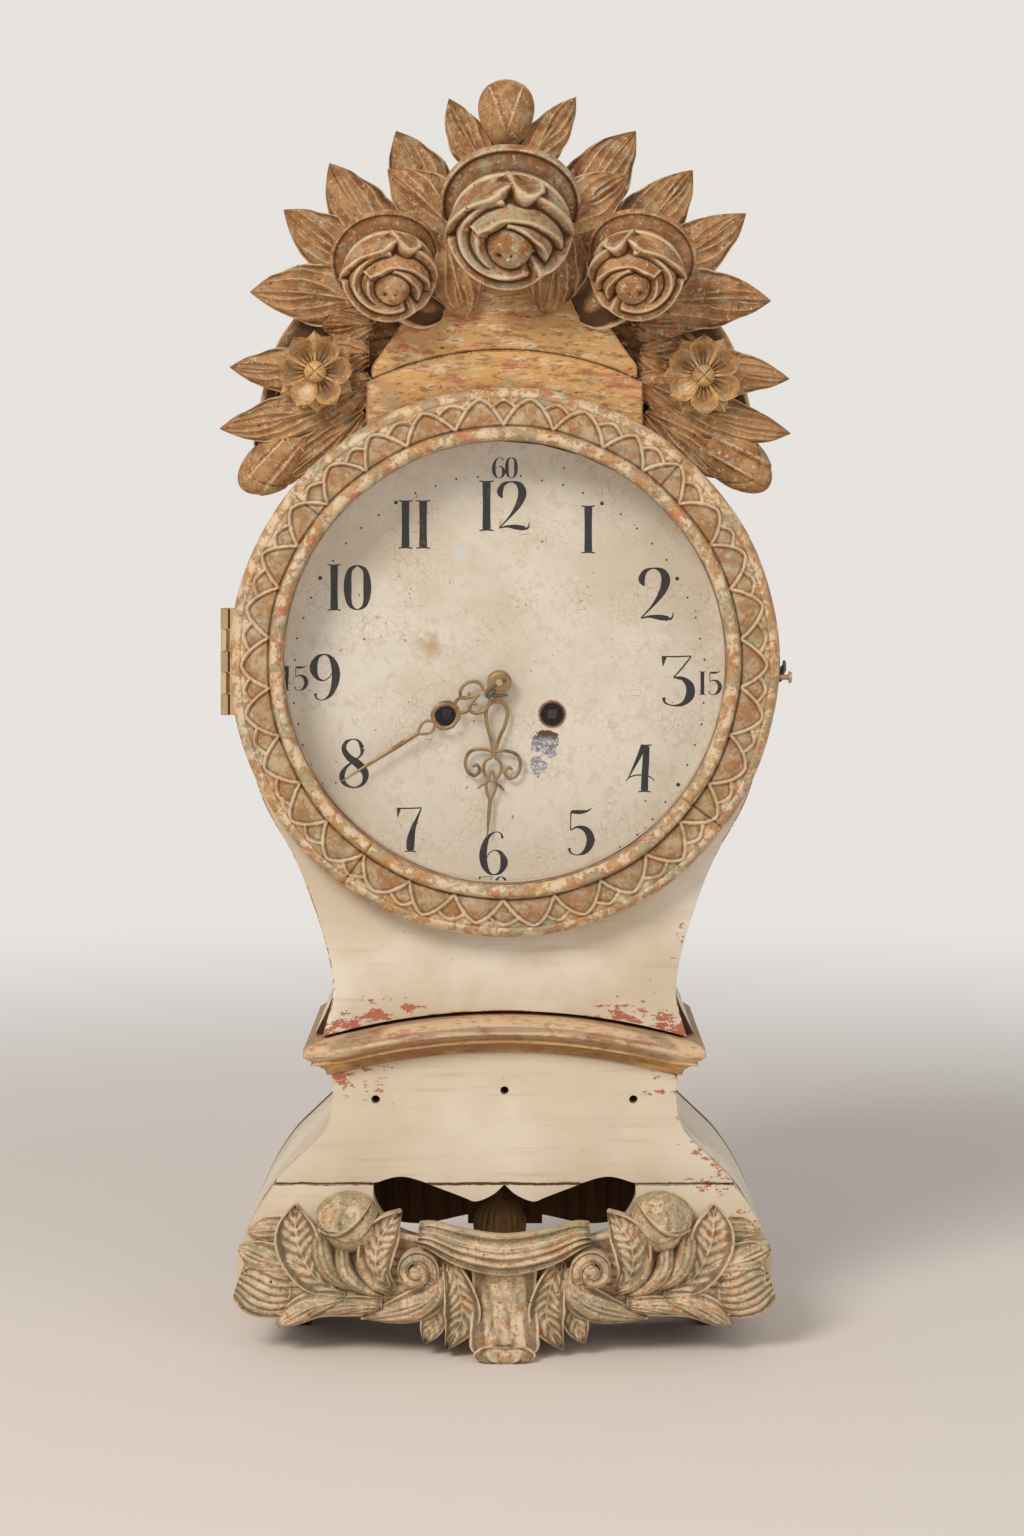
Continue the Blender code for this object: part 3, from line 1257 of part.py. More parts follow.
def swelling(centre, half_long, half_short, half_deep, tilt, y, steps=10):
    """Closed bud shape: an ovoid with its long axis tilted from the horizontal."""
    rows = 5
    sections = []
    along = Vector((math.cos(tilt), math.sin(tilt)))
    across = Vector((-along.y, along.x))
    for row in range(rows + 1):
        angle = math.pi * (0.06 + 0.88 * row / rows)
        middle = Vector(centre) - along * (half_long * math.cos(angle))
        section = []
        for step in range(steps):
            turn = math.tau * step / steps
            spot = middle + across * (half_short * math.sin(angle) * math.cos(turn))
            section.append((spot.x, y + half_deep * math.sin(angle) * math.sin(turn), spot.y))
        sections.append(section)
    return loft(sections)


# Leaves of one wing, from the lowest to the highest, in layout squares: root and tip from the top of the
# head, and half width. The bud at the foot of the wing has its place, two half sizes and its tilt
WING_LEAVES = (
    ((9.70, -0.75), (16.00, -2.20), 1.45),
    ((9.70, 0.80), (15.75, 1.05), 1.40),
    ((8.30, 5.00), (14.65, 5.45), 1.85),
    ((8.00, 6.60), (13.00, 10.15), 1.85),
    ((7.00, 8.40), (10.20, 12.70), 1.85),
)
WING_BUD = ((12.90, -3.90), 2.60, 1.35, math.radians(37.0))

# Leaves of one half of the centre spray, in layout squares
SPRAY_LEAVES = (
    ((2.50, 9.60), (6.70, 14.80), 1.90),
    ((0.90, 12.00), (3.62, 16.50), 1.35),
    ((2.00, 8.00), (2.35, 4.40), 1.00),
)


def build_crest_boards():
    """Arch band on the head, and the pediment with its hollow sides."""
    centre = (0.0, HEAD_HEIGHT)
    inner = HEAD_RADIUS + FIT
    low = math.acos(BAND_HALF / inner)
    high = math.acos(BAND_HALF / BAND_RADIUS)
    outline = arc(centre, inner, low, math.pi - low, 14) + arc(centre, BAND_RADIUS, math.pi - high, high, 14)
    back = depth(CREST_THICKNESS)
    add_piece("crest_arch_band", plate(outline, depth(0.0), back), OCHRE_PAINT)

    foot = BAND_RADIUS + FIT
    start = math.acos(PEDIMENT_HALF / foot)
    corner = HEAD_HEIGHT + foot * math.sin(start)
    top = HEAD_HEIGHT + BAND_RADIUS + PEDIMENT_HEIGHT
    cheek = corner + PEDIMENT_CHEEK
    hollow = [
        (PEDIMENT_HALF, cheek),
        (PEDIMENT_HALF * 0.90, cheek + (top - cheek) * 0.16),
        (PEDIMENT_NECK_HALF, cheek + (top - cheek) * 0.42),
        (PEDIMENT_TOP_HALF, top),
    ]
    side = curve_through(hollow, 3)
    outline = arc(centre, foot, math.pi - start, start, 14) + side + mirrored(side)
    add_piece("crest_pediment", plate(outline, depth(0.0), back), OCHRE_PAINT)


def build_crest_wings():
    """Leaf fan of each side, on a plate that stands on the head behind the pediment."""
    centre = (0.0, HEAD_HEIGHT)
    inner = HEAD_RADIUS + FIT
    front = depth(CREST_THICKNESS + FIT)
    for side, sign in (("left", -1), ("right", 1)):
        start = math.pi / 2 - sign * WING_START
        end = math.pi / 2 - sign * WING_END
        top = from_head(sign * PEDIMENT_TOP_HALF * 1.2, PEDIMENT_HEIGHT + WING_PLATE_WIDTH)
        shoulder = from_head(sign * BAND_HALF * 1.25, PEDIMENT_HEIGHT)
        outline = arc(centre, inner, start, end, 8)
        outline += arc(centre, inner + WING_PLATE_WIDTH, end, end + sign * (WING_END - WING_START) * 0.4, 4)
        outline += [shoulder, top]
        place, long_squares, short_squares, tilt = WING_BUD
        half_long = long_squares * CARVING_GRID
        half_short = short_squares * CARVING_GRID
        middle = front + WING_PLATE * 0.13
        bud = swelling(laid_out(place, sign), half_long, half_short, half_short, sign * -tilt, middle)
        bodies = [plate(outline, front, front + WING_PLATE), bud]
        for number, (root, tip, half_squares) in enumerate(WING_LEAVES):
            back = front + WING_PLATE * (0.30 + 0.08 * number)
            rise = (back - depth(FIT)) * (1.02 + 0.012 * number)
            half = half_squares * CARVING_GRID
            bodies.append(leaf(laid_out(root, sign), laid_out(tip, sign), half, back, rise))
        add_piece("crest_wing_" + side, union(bodies), OCHRE_PAINT)


def build_crest_spray():
    """Leaves round the centre rose and the bud on top, on a small plate before the pediment."""
    x, z = from_head(0.0, CENTRE_ROSE_RISE - HEAD_RADIUS)
    back = depth(-FIT)
    bodies = [plate(ring((x, z), SPRAY_RADIUS, 16), back - SPRAY_PLATE, back)]
    bud_place = from_head(0.0, BUD_RISE - HEAD_RADIUS)
    middle = back - SPRAY_PLATE / 2
    bodies.append(rod((x, middle), SPRAY_PLATE * 0.35, z, bud_place[1], 6, "Z"))
    for sign in (-1, 1):
        for number, (root, tip, half_squares) in enumerate(SPRAY_LEAVES):
            sunk = back - FIT * (1.3 * (number + 1) + 0.6 * sign)
            rise = SPRAY_PLATE * (0.80 + 0.03 * number)
            half = half_squares * CARVING_GRID
            bodies.append(leaf(laid_out(root, sign), laid_out(tip, sign), half, sunk, rise))
    bud_depth = BUD_HALF_WIDTH * 0.8
    bodies.append(swelling(bud_place, BUD_HALF_HEIGHT, BUD_HALF_WIDTH, bud_depth, math.pi / 2, middle))
    add_piece("crest_center_spray", union(bodies), OCHRE_PAINT)


def rose(place, radius, back, reach, droop, turn, steps=15):
    """Open rose: three rows of petals round a bud that leans downwards."""
    rows = (
        (0.88, 0.0, 0, 0.0), (1.0, 0.30, 5, 0.05), (0.95, 0.40, 5, 0.05), (0.72, 0.33, 0, 0.0),
        (0.74, 0.62, 4, 0.05), (0.66, 0.70, 4, 0.05), (0.48, 0.60, 0, 0.0), (0.46, 0.90, 3, 0.07),
        (0.34, 1.0, 3, 0.07), (0.14, 0.90, 0, 0.0),
    )
    sections = []
    for share, out, waves, depth_of_wave in rows:
        section = []
        for step in range(steps):
            angle = math.tau * step / steps
            ripple = 1.0 - depth_of_wave + depth_of_wave * math.cos(waves * angle + turn + share * 3.0)
            reach_out = radius * share * ripple
            section.append((place[0] + reach_out * math.cos(angle), back - reach * out,
                            place[1] + reach_out * math.sin(angle) - droop * out))
        sections.append(section)
    return loft(sections)


def build_flowers():
    """Three roses, two small flowers and the pegs that hold those."""
    place = from_head(0.0, CENTRE_ROSE_RISE - HEAD_RADIUS)
    back = depth(-SPRAY_PLATE - 2 * FIT)
    reach = back - depth(-ROSE_REACH)
    body = rose(place, CENTRE_ROSE_RADIUS, back, reach, CENTRE_ROSE_RADIUS * 0.35, 0.4)
    add_piece("crest_rose_center", body, SAGE_PAINT)
    for side, sign in (("left", -1), ("right", 1)):
        place = from_head(sign * SIDE_ROSE_SPREAD, SIDE_ROSE_RISE - HEAD_RADIUS)
        body = rose(place, SIDE_ROSE_RADIUS, depth(-FIT), SIDE_ROSE_DEPTH, SIDE_ROSE_RADIUS * 0.4, sign * 0.9)
        add_piece("crest_rose_" + side, body, SAGE_PAINT)
        build_small_flower(side, sign)


def build_small_flower(side, sign):
    """Flower with six petals over six pointed sepals, and its peg."""
    place = from_head(sign * FLOWER_SPREAD, FLOWER_RISE - HEAD_RADIUS)
    back = depth(-FIT)
    reaches = (1.0, 0.80, 0.96, 0.80)
    heights = (0.75, 0.50, 0.25, 0.50)
    rows = ((0.66, 0.0), (1.0, 1.0), (0.46, 1.05), (0.34, 0.60))
    steps = 24
    sections = []
    for number, (share, out) in enumerate(rows):
        section = []
        for step in range(steps):
            angle = math.tau * (step / steps) + math.pi / 2
            edge = number == 1
            radius = FLOWER_RADIUS * share * (reaches[step % 4] if edge else 1.0)
            rise = FLOWER_DEPTH * out * (heights[step % 4] if edge else 0.7)
            section.append((place[0] + radius * math.cos(angle), back - rise,
                            place[1] + radius * math.sin(angle)))
        sections.append(section)
    add_piece("crest_flower_" + side, loft(sections), SAGE_PAINT)
    seat = back - FLOWER_DEPTH * 0.60 * 0.7 - FIT
    profile = [(FLOWER_PEG_RADIUS * 0.8, seat), (FLOWER_PEG_RADIUS, seat - FLOWER_PEG_LENGTH * 0.6)]
    profile.append((FLOWER_PEG_RADIUS * 0.7, seat - FLOWER_PEG_LENGTH))
    add_piece("crest_flower_peg_" + side, turned(profile, place, 12), OCHRE_PAINT)


# Leaves of one half of the apron, in layout squares from the ground: root, tip, half width and sideways bend
APRON_LEAVES = (
    ((6.40, 3.30), (11.80, 7.60), 1.25, 0.60),
    ((6.80, 3.00), (12.60, 1.50), 0.85, -0.50),
    ((5.80, 3.60), (3.70, 0.70), 0.75, 0.30),
    ((7.90, 5.60), (5.60, 7.20), 0.80, 0.20),
)


def build_apron():
    """Carved apron: a cartouche that runs down to the front foot, and a carving at each side."""
    back = depth(-FIT)
    half = [
        (CARTOUCHE_HALF, CARTOUCHE_TOP),
        (CARTOUCHE_HALF * 0.98, CARTOUCHE_TOP - 0.75 * CARVING_GRID),
        (CARTOUCHE_HALF * 0.72, CARTOUCHE_TOP - 1.10 * CARVING_GRID),
        (CARTOUCHE_HALF * 0.54, CARTOUCHE_TOP - 1.70 * CARVING_GRID),
        (FOOT_STEM_HALF * 1.08, CARTOUCHE_TOP - 2.40 * CARVING_GRID),
        (FOOT_STEM_HALF, CARTOUCHE_TOP - 3.30 * CARVING_GRID),
        (FOOT_STEM_HALF * 0.93, 1.20 * CARVING_GRID),
        (FOOT_STEM_HALF * 0.80, 0.30 * CARVING_GRID),
        (FOOT_STEM_HALF * 0.60, 0.0),
    ]
    dip = [(CARTOUCHE_HALF * 0.6, CARTOUCHE_TOP - 0.45 * CARVING_GRID)]
    dip.append((0.0, CARTOUCHE_TOP - 0.85 * CARVING_GRID))
    outline = dip[::-1] + half + mirrored(half) + [(-dip[0][0], dip[0][1])]
    lower = [(x, z) for x, z in half[4:]]
    stem = lower + mirrored(lower)
    scroll = rod((back - FOOT_REACH * 0.55, CARTOUCHE_TOP - 2.60 * CARVING_GRID), FOOT_REACH * 0.45,
                 -FOOT_STEM_HALF * 0.8, FOOT_STEM_HALF * 0.8, 14, "X")
    bodies = [
        plate(outline, back - FOOT_REACH * 0.50, back),
        plate([(x * 0.94, z) for x, z in stem], back - FOOT_REACH * 0.86, back - FOOT_REACH * 0.30),
        scroll,
    ]
    add_piece("apron_center", union(bodies), SAGE_PAINT)

    base = base_outline()
    for side, sign in (("left", -1), ("right", 1)):
        edge = part_of(base, APRON_TOP, APRON_BOTTOM)
        outline = [(sign * x, z) for x, z in edge]
        outline += [(sign * APRON_INNER, APRON_BOTTOM + 0.40 * CARVING_GRID)]
        outline.append((sign * APRON_INNER, APRON_TOP - 1.20 * CARVING_GRID))
        bodies = [plate(outline, back - APRON_PLATE, back)]
        volute = (sign * VOLUTE_SPREAD, VOLUTE_HEIGHT)
        turns = ((1.0, 1.7), (0.84, 2.0), (0.60, 1.6), (0.54, 2.1), (0.30, 2.4))
        profile = [(VOLUTE_RADIUS * share, back - APRON_PLATE * out) for share, out in turns]
        profile.insert(0, (VOLUTE_RADIUS * 0.96, back - FIT))
        bodies.append(turned(profile, volute, 12))
        peony = (sign * PEONY_SPREAD, PEONY_HEIGHT)
        bodies.append(rose(peony, PEONY_RADIUS, back - FIT * 2, APRON_PLATE * 2.6, 0.0, sign * 0.5, 8))
        for number, (root, tip, half_squares, bend) in enumerate(APRON_LEAVES):
            start = (sign * root[0] * CARVING_GRID, root[1] * CARVING_GRID)
            end = (sign * tip[0] * CARVING_GRID, tip[1] * CARVING_GRID)
            half = half_squares * CARVING_GRID
            sunk = back - FIT * (3 + number)
            rise = APRON_PLATE * (1.75 + 0.07 * number)
            bodies.append(leaf(start, end, half, sunk, rise, sign * bend * CARVING_GRID))
        add_piece("apron_" + side, union(bodies), SAGE_PAINT)


def main():
    """Build the whole clock."""
    clear_scene()
    build_front_boards()
    build_sides()
    build_back_board()
    build_seat_board()
    build_mouldings()
    build_door()
    build_latch()
    build_dial()
    build_plates()
    build_barrels()
    build_going_train()
    build_hands(build_motion_work())
    build_anchor()
    build_pendulum()
    build_bell()
    build_crest_boards()
    build_crest_wings()
    build_crest_spray()
    build_flowers()
    build_apron()


main()
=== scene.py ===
"""Carved and painted table clock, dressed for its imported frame.

Each operator makes one piece or a group of like pieces, in metres, in the frame of the CAD model.
"""
import math

import bpy
import numpy as np
from mathutils import Color, Matrix, Vector


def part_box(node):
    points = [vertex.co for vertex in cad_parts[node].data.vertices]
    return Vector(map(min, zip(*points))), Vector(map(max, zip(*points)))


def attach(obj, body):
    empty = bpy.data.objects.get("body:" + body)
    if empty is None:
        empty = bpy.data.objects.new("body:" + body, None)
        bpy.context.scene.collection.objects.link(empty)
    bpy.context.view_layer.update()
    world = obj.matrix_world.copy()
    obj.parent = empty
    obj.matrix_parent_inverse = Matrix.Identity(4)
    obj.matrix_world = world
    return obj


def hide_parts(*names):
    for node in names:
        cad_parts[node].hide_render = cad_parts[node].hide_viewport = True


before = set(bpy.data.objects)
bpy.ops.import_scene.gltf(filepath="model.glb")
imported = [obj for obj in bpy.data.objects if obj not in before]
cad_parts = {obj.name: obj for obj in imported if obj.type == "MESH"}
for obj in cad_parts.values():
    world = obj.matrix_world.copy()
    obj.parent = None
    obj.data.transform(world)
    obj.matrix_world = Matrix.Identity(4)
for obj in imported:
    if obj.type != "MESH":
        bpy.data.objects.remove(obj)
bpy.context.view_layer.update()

bl_info = {
    "name": "Carved Table Clock",
    "version": (1, 0, 0),
    "blender": (4, 5, 0),
    "location": "View3D > Sidebar > Clock",
    "description": "Dresses the packed frame of a carved and painted table clock",
    "category": "Object",
}

# Places on the case, in metres
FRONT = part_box("upper_front_board")[0][1]
GLUE_FACE = FRONT - 0.0003
DIAL_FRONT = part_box("dial")[0][1]
HEAD = (0.0, 0.3868)
DIAL = (-0.0030, 0.3750)
WINDING_HOLES = ((-0.03285, 0.3564), (0.02685, 0.3564))
# Fall of the waist arch for each square metre from the middle
ARCH_FALL = 1.355


def colour(name, description, red, green, blue):
    """Colour setting, written as it looks on a screen."""
    shade = (red / 255, green / 255, blue / 255)
    return bpy.props.FloatVectorProperty(
        name=name, description=description, subtype="COLOR_GAMMA", size=3, min=0.0, max=1.0, default=shade
    )


def length(name, description, default):
    """Length setting in metres."""
    return bpy.props.FloatProperty(
        name=name, description=description, unit="LENGTH", precision=5, min=0.0, default=default
    )


def power(name, description, default):
    """Power setting of a lamp."""
    return bpy.props.FloatProperty(name=name, description=description, unit="POWER", default=default)


class ClockPaints(bpy.types.PropertyGroup):
    """Colours of the clock."""

    cream: colour("Cream", "Paint of the case boards", 224, 211, 191)
    cream_deep: colour("Deep cream", "Yellowed cream paint", 208, 189, 162)
    brick: colour("Brick red", "Old paint under the cream", 186, 104, 84)
    wood: colour("Bare wood", "Wood inside the case and in deep chips", 120, 84, 54)
    gold: colour("Gold", "Gold ochre of the crest boards", 206, 160, 100)
    ochre: colour("Ochre", "Ochre of the carvings", 186, 140, 92)
    ochre_deep: colour("Deep ochre", "Darker ochre of the leaves", 146, 100, 58)
    # Umber also serves as painted shade in the hollows of the carvings, bezel and moulding, mixed with
    # grime
    umber: colour("Umber", "Dirt in the hollows of the carvings", 84, 54, 30)
    sage: colour("Sage", "Grey green of the carvings", 166, 154, 122)
    salmon: colour("Salmon", "Rubbed red of the carvings", 186, 112, 84)
    rub: colour("Rubbed cream", "Worn high spots of the carvings", 220, 194, 160)
    dial: colour("Dial", "Paint of the dial", 233, 223, 206)
    dial_deep: colour("Aged dial", "Yellowed paint of the dial", 216, 201, 177)
    ink: colour("Ink", "Numerals and dots", 30, 26, 24)
    rust: colour("Rust", "Stains on the dial", 134, 72, 42)
    brass: colour("Brass", "Hinge, latch pin and wheels", 200, 176, 136)
    bronze: colour("Bronze", "Bob and bell", 92, 60, 30)
    gilt: colour("Bronzed brass", "Hands", 160, 130, 90)
    iron: colour("Iron", "Hook, screws and arbors", 88, 82, 76)
    floor: colour("Floor", "Floor near the clock", 232, 221, 210)
    backdrop: colour("Backdrop", "Room behind the clock", 231, 227, 223)


class ClockSizes(bpy.types.PropertyGroup):
    """Sizes of the clock's finish."""

    edge: length("Edge", "Worn rounding of the board edges", 0.0007)
    stroke_cut: length("Leaf cut", "Depth of the gouge strokes in the leaves", 0.0021)
    petal: length("Petal", "Thickness of a rose petal", 0.0030)
    numeral: length("Numeral", "Height of the hour numerals", 0.0280)
    minute_number: length("Minute number", "Height of the minute numbers", 0.0125)
    dot_ring: length("Dot ring", "Radius of the ring of minute dots", 0.1162)
    paint: length("Paint", "Thickness of the paint of the numerals", 0.00008)
    hand: length("Hand", "Thickness of the hands", 0.0010)


class ClockStage(bpy.types.PropertyGroup):
    """Light of the stage."""

    key: power("Key", "Power of the large lamp", 62.0)
    fill: power("Fill", "Power of the small lamp", 12.0)
    room: bpy.props.FloatProperty(name="Room", description="Light of the room", min=0.0, default=0.44)


def tint(name):
    """One of the paint colours, as a material takes it."""
    shade = Color(getattr(bpy.context.scene.clock_paints, name)).from_srgb_to_scene_linear()
    return (*shade, 1.0)


def sizes():
    """The size settings."""
    return bpy.context.scene.clock_sizes


def clear_selection():
    """Deselect everything, in object mode."""
    if bpy.context.object and bpy.context.object.mode != "OBJECT":
        bpy.ops.object.mode_set(mode="OBJECT")
    bpy.ops.object.select_all(action="DESELECT")


def only(piece):
    """Make a piece the one selected and active object."""
    clear_selection()
    piece.select_set(True)
    bpy.context.view_layer.objects.active = piece


def read_places(piece):
    """Places of a piece's vertices, one row each."""
    flat = np.empty(len(piece.data.vertices) * 3, dtype=np.float32)
    piece.data.vertices.foreach_get("co", flat)
    return flat.reshape(-1, 3).astype(float)


def write_places(piece, x, y, z):
    """Move a piece's vertices."""
    piece.data.vertices.foreach_set("co", np.column_stack((x, y, z)).astype(np.float32).ravel())
    piece.data.update()


def apply_modifier(piece, kind, **settings):
    """Add a modifier with these settings and apply it."""
    only(piece)
    modifier = piece.modifiers.new(kind.title(), kind)
    for key, value in settings.items():
        setattr(modifier, key, value)
    bpy.ops.object.modifier_apply(modifier=modifier.name)


def join(pieces, name):
    """Join pieces into one with this name."""
    clear_selection()
    for piece in pieces:
        piece.select_set(True)
    bpy.context.view_layer.objects.active = pieces[0]
    if len(pieces) > 1:
        bpy.ops.object.join()
    pieces[0].name = name
    pieces[0].data.name = name
    return pieces[0]


def mirrored_copy(piece, name):
    """Copy of a piece on the other side of the clock, with its own mesh."""
    only(piece)
    bpy.ops.object.duplicate(linked=False)
    twin = bpy.context.object
    twin.name = name
    places = read_places(twin)
    write_places(twin, -places[:, 0], places[:, 1], places[:, 2])
    return twin


def edit_all(piece, *steps):
    """Run mesh operators on the whole of a piece, each given with its settings."""
    only(piece)
    bpy.ops.object.mode_set(mode="EDIT")
    for step, settings in steps:
        bpy.ops.mesh.select_all(action="SELECT")
        step(**settings)
    bpy.ops.object.mode_set(mode="OBJECT")


CLOSE = 1e-6
MERGE = (bpy.ops.mesh.remove_doubles, {"threshold": CLOSE})
OUTWARDS = (bpy.ops.mesh.normals_make_consistent, {"inside": False})


def face_outwards(piece):
    """Turn all the faces of a closed piece outwards."""
    edit_all(piece, OUTWARDS)


def smooth_over(mesh, values, passes):
    """Values of the vertices, blurred along the edges of a mesh."""
    count = len(mesh.vertices)
    pairs = np.empty(len(mesh.edges) * 2, dtype=np.int32)
    mesh.edges.foreach_get("vertices", pairs)
    one, two = pairs[0::2], pairs[1::2]
    neighbours = np.bincount(one, minlength=count) + np.bincount(two, minlength=count)
    soft = values.copy()
    for _ in range(passes):
        total = np.empty_like(soft)
        for column in range(soft.shape[1]):
            total[:, column] = np.bincount(one, weights=soft[two, column], minlength=count)
            total[:, column] += np.bincount(two, weights=soft[one, column], minlength=count)
        soft = (soft + total / neighbours[:, None]) / 2
    return soft


def mark_relief(piece, full=0.0004, passes=12):
    """Note how far each vertex stands proud of its surroundings, for paint wear on ridges and painted shade
    in hollows.
    """
    mesh = piece.data
    places = read_places(piece)
    normals = np.empty(len(places) * 3, dtype=np.float32)
    mesh.vertices.foreach_get("normal", normals)
    offset = places - smooth_over(mesh, places, passes)
    proud = (offset * normals.reshape(-1, 3)).sum(axis=1, keepdims=True)
    proud -= 0.9 * smooth_over(mesh, proud, 4 * passes)
    layer = mesh.attributes.new("relief", "FLOAT", "POINT")
    layer.data.foreach_set("value", np.clip(proud[:, 0] / full, -1.0, 1.0).astype(np.float32))


def settle(piece, body, material, nodes=(), angle=40.0):
    """Give a finished piece its shading, paint and body, and let it stand for its CAD nodes."""
    only(piece)
    bpy.ops.object.shade_smooth_by_angle(angle=math.radians(angle))
    if material:
        piece.data.materials.clear()
        piece.data.materials.append(material)
    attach(piece, body)
    if nodes:
        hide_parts(*nodes)


def settle_carving(pieces, name, body, material, nodes=(), full=0.0004, passes=12):
    """Join carved pieces, note their relief and settle them as one."""
    piece = join(pieces, name)
    face_outwards(piece)
    mark_relief(piece, full, passes)
    settle(piece, body, material, nodes, 60.0)


def blend(values, share):
    """Smooth run through evenly spaced values or places, at these shares of its length."""
    values = np.asarray(values, dtype=float)
    last = len(values) - 1
    share = np.clip(share, 0.0, 1.0)
    index = np.clip((share * last).astype(int), 0, last - 1)
    t = share * last - index
    if values.ndim > 1:
        t = t[:, None]
    before, start = values[np.maximum(index - 1, 0)], values[index]
    end, after = values[index + 1], values[np.minimum(index + 2, last)]
    leaving, arriving = (end - before) / 2, (after - start) / 2
    turn = t * t * (3 - 2 * t)
    return start + (end - start) * turn + leaving * t * (1 - t) ** 2 - arriving * t * t * (1 - t)


def bump_at(distance, width):
    """Soft hump of height 1 where a distance is 0."""
    return np.exp(-((distance / width) ** 2))


def blank(name, around, along):
    """Closed blank to carve: a ball whose rings become the stations of a piece and whose poles its ends.

    Gives the piece, the turn of each vertex round its ring and the share of the length where the ring is.
    """
    clear_selection()
    bpy.ops.mesh.primitive_uv_sphere_add(segments=around, ring_count=along, radius=1.0, calc_uvs=False)
    piece = bpy.context.object
    piece.name = name
    places = read_places(piece)
    share = np.arccos(np.clip(places[:, 2], -1.0, 1.0)) / math.pi
    turn = np.arctan2(places[:, 1], places[:, 0]) / math.tau % 1.0
    return piece, np.round(turn * around) / around % 1.0, np.round(share * along) / along


def run_along(spine, share):
    """Places on a smooth path and its directions, at these shares of its length."""
    step = 0.01
    ahead = blend(spine, np.minimum(share + step, 1.0)) - blend(spine, np.maximum(share - step, 0.0))
    ahead /= np.linalg.norm(ahead, axis=1)[:, None]
    return blend(spine, share), ahead


def carved(spine, halves, height, back, around=64, along=56, curl=0.0, notch=0.0, notches=5):
    """Carved member with a flat back: it follows a path in the front plane, and height gives its relief."""
    piece, turn, share = blank("carved_member", around, along)
    front = 0.75
    face = turn <= front + CLOSE
    side = np.where(face, 2 * turn / front - 1, 1 - 2 * (turn - front) / (1 - front))
    ends = (share < CLOSE) | (share > 1 - CLOSE)
    side = np.where(ends, 0.0, side)
    middle, ahead = run_along(spine, share)
    bite = 1 - notch * (0.5 + 0.5 * np.sin(math.tau * notches * share + 1.3 * np.sign(side))) ** 2
    half = blend(halves, share) * bite
    rise = np.where(face | ends, height(side, share), 0.0)
    x = middle[:, 0] + ahead[:, 1] * half * side
    z = middle[:, 1] - ahead[:, 0] * half * side
    write_places(piece, x, back - rise - curl * share**2, z)
    return piece


def stroke(points, y, thick, along=28, around=8):
    """Flat stroke through points of (x, z, half width), such as a line of paint or a bar of a hand."""
    piece, turn, share = blank("stroke", around, along)
    points = np.asarray(points, dtype=float)
    middle, ahead = run_along(points[:, :2], share)
    ends = (share < CLOSE) | (share > 1 - CLOSE)
    half = np.where(ends, 0.0, np.maximum(blend(points[:, 2], share), 0.0))
    side = half * np.cos(math.tau * turn)
    lift = np.where(ends, 0.0, thick / 2 * np.sin(math.tau * turn))
    write_places(piece, middle[:, 0] + ahead[:, 1] * side, y - lift, middle[:, 1] - ahead[:, 0] * side)
    return piece


def leaf_relief(thick, cut, flutes=2.4, slant=2.7, wander=0.0):
    """Relief of a leaf: a thin raised rib, and hollow flutes with sharp ridges that fan out from it."""

    def height(side, share):
        reach = np.abs(side)
        body = thick * (1 - 0.30 * reach**2.2) * blend((0.80, 1.0, 1.0, 0.84, 0.60), share)
        sway = 0.10 * np.sin(9 * share + 2 * side + wander)
        phase = flutes * reach - slant * share + sway + wander * np.sign(side)
        uneven = 0.72 + 0.28 * np.sin(2.1 * np.floor(phase) + 5 * wander)
        fade = np.clip((1.02 - share) * 4, 0.0, 1.0) * np.clip((reach - 0.04) * 8, 0.0, 1.0)
        rib = 0.45 * cut * bump_at(reach, 0.05) * np.clip((1.02 - share) * 4, 0.0, 1.0)
        return np.maximum(body - cut * np.abs(np.sin(math.pi * phase)) * uneven * fade + rib, thick * 0.25)

    return height


def lipped_relief(thick, cut, veins=9.0, wander=0.0):
    """Relief of a dished leaf: a raised lip all round, a midrib, and side veins."""

    def height(side, share):
        reach = np.abs(side)
        lip = bump_at(reach - 0.88, 0.11)
        dish = thick * (0.74 + 0.18 * reach**2) * blend((0.75, 1.0, 1.0, 0.9, 0.7), share)
        phase = veins * share - 1.7 * reach + wander
        vein = np.abs(np.sin(math.pi * phase)) * np.clip((0.84 - reach) * 6, 0.0, 1.0)
        rib = bump_at(reach, 0.06)
        return dish + cut * (1.3 * lip + 0.7 * rib - 0.8 * vein)

    return height


def strand_relief(thick, cut, ridges=2.0):
    """Relief of a rounded strand with grooves along it."""

    def height(side, share):
        round_part = np.sqrt(np.maximum(1 - 0.92 * side**2, 0.0))
        groove = (0.5 - 0.5 * np.cos(math.tau * ridges * side)) ** 2
        body = thick * round_part * blend((0.7, 1.0, 1.0, 0.8, 0.45), share)
        return body - cut * groove * (1 - share * 0.6)

    return height


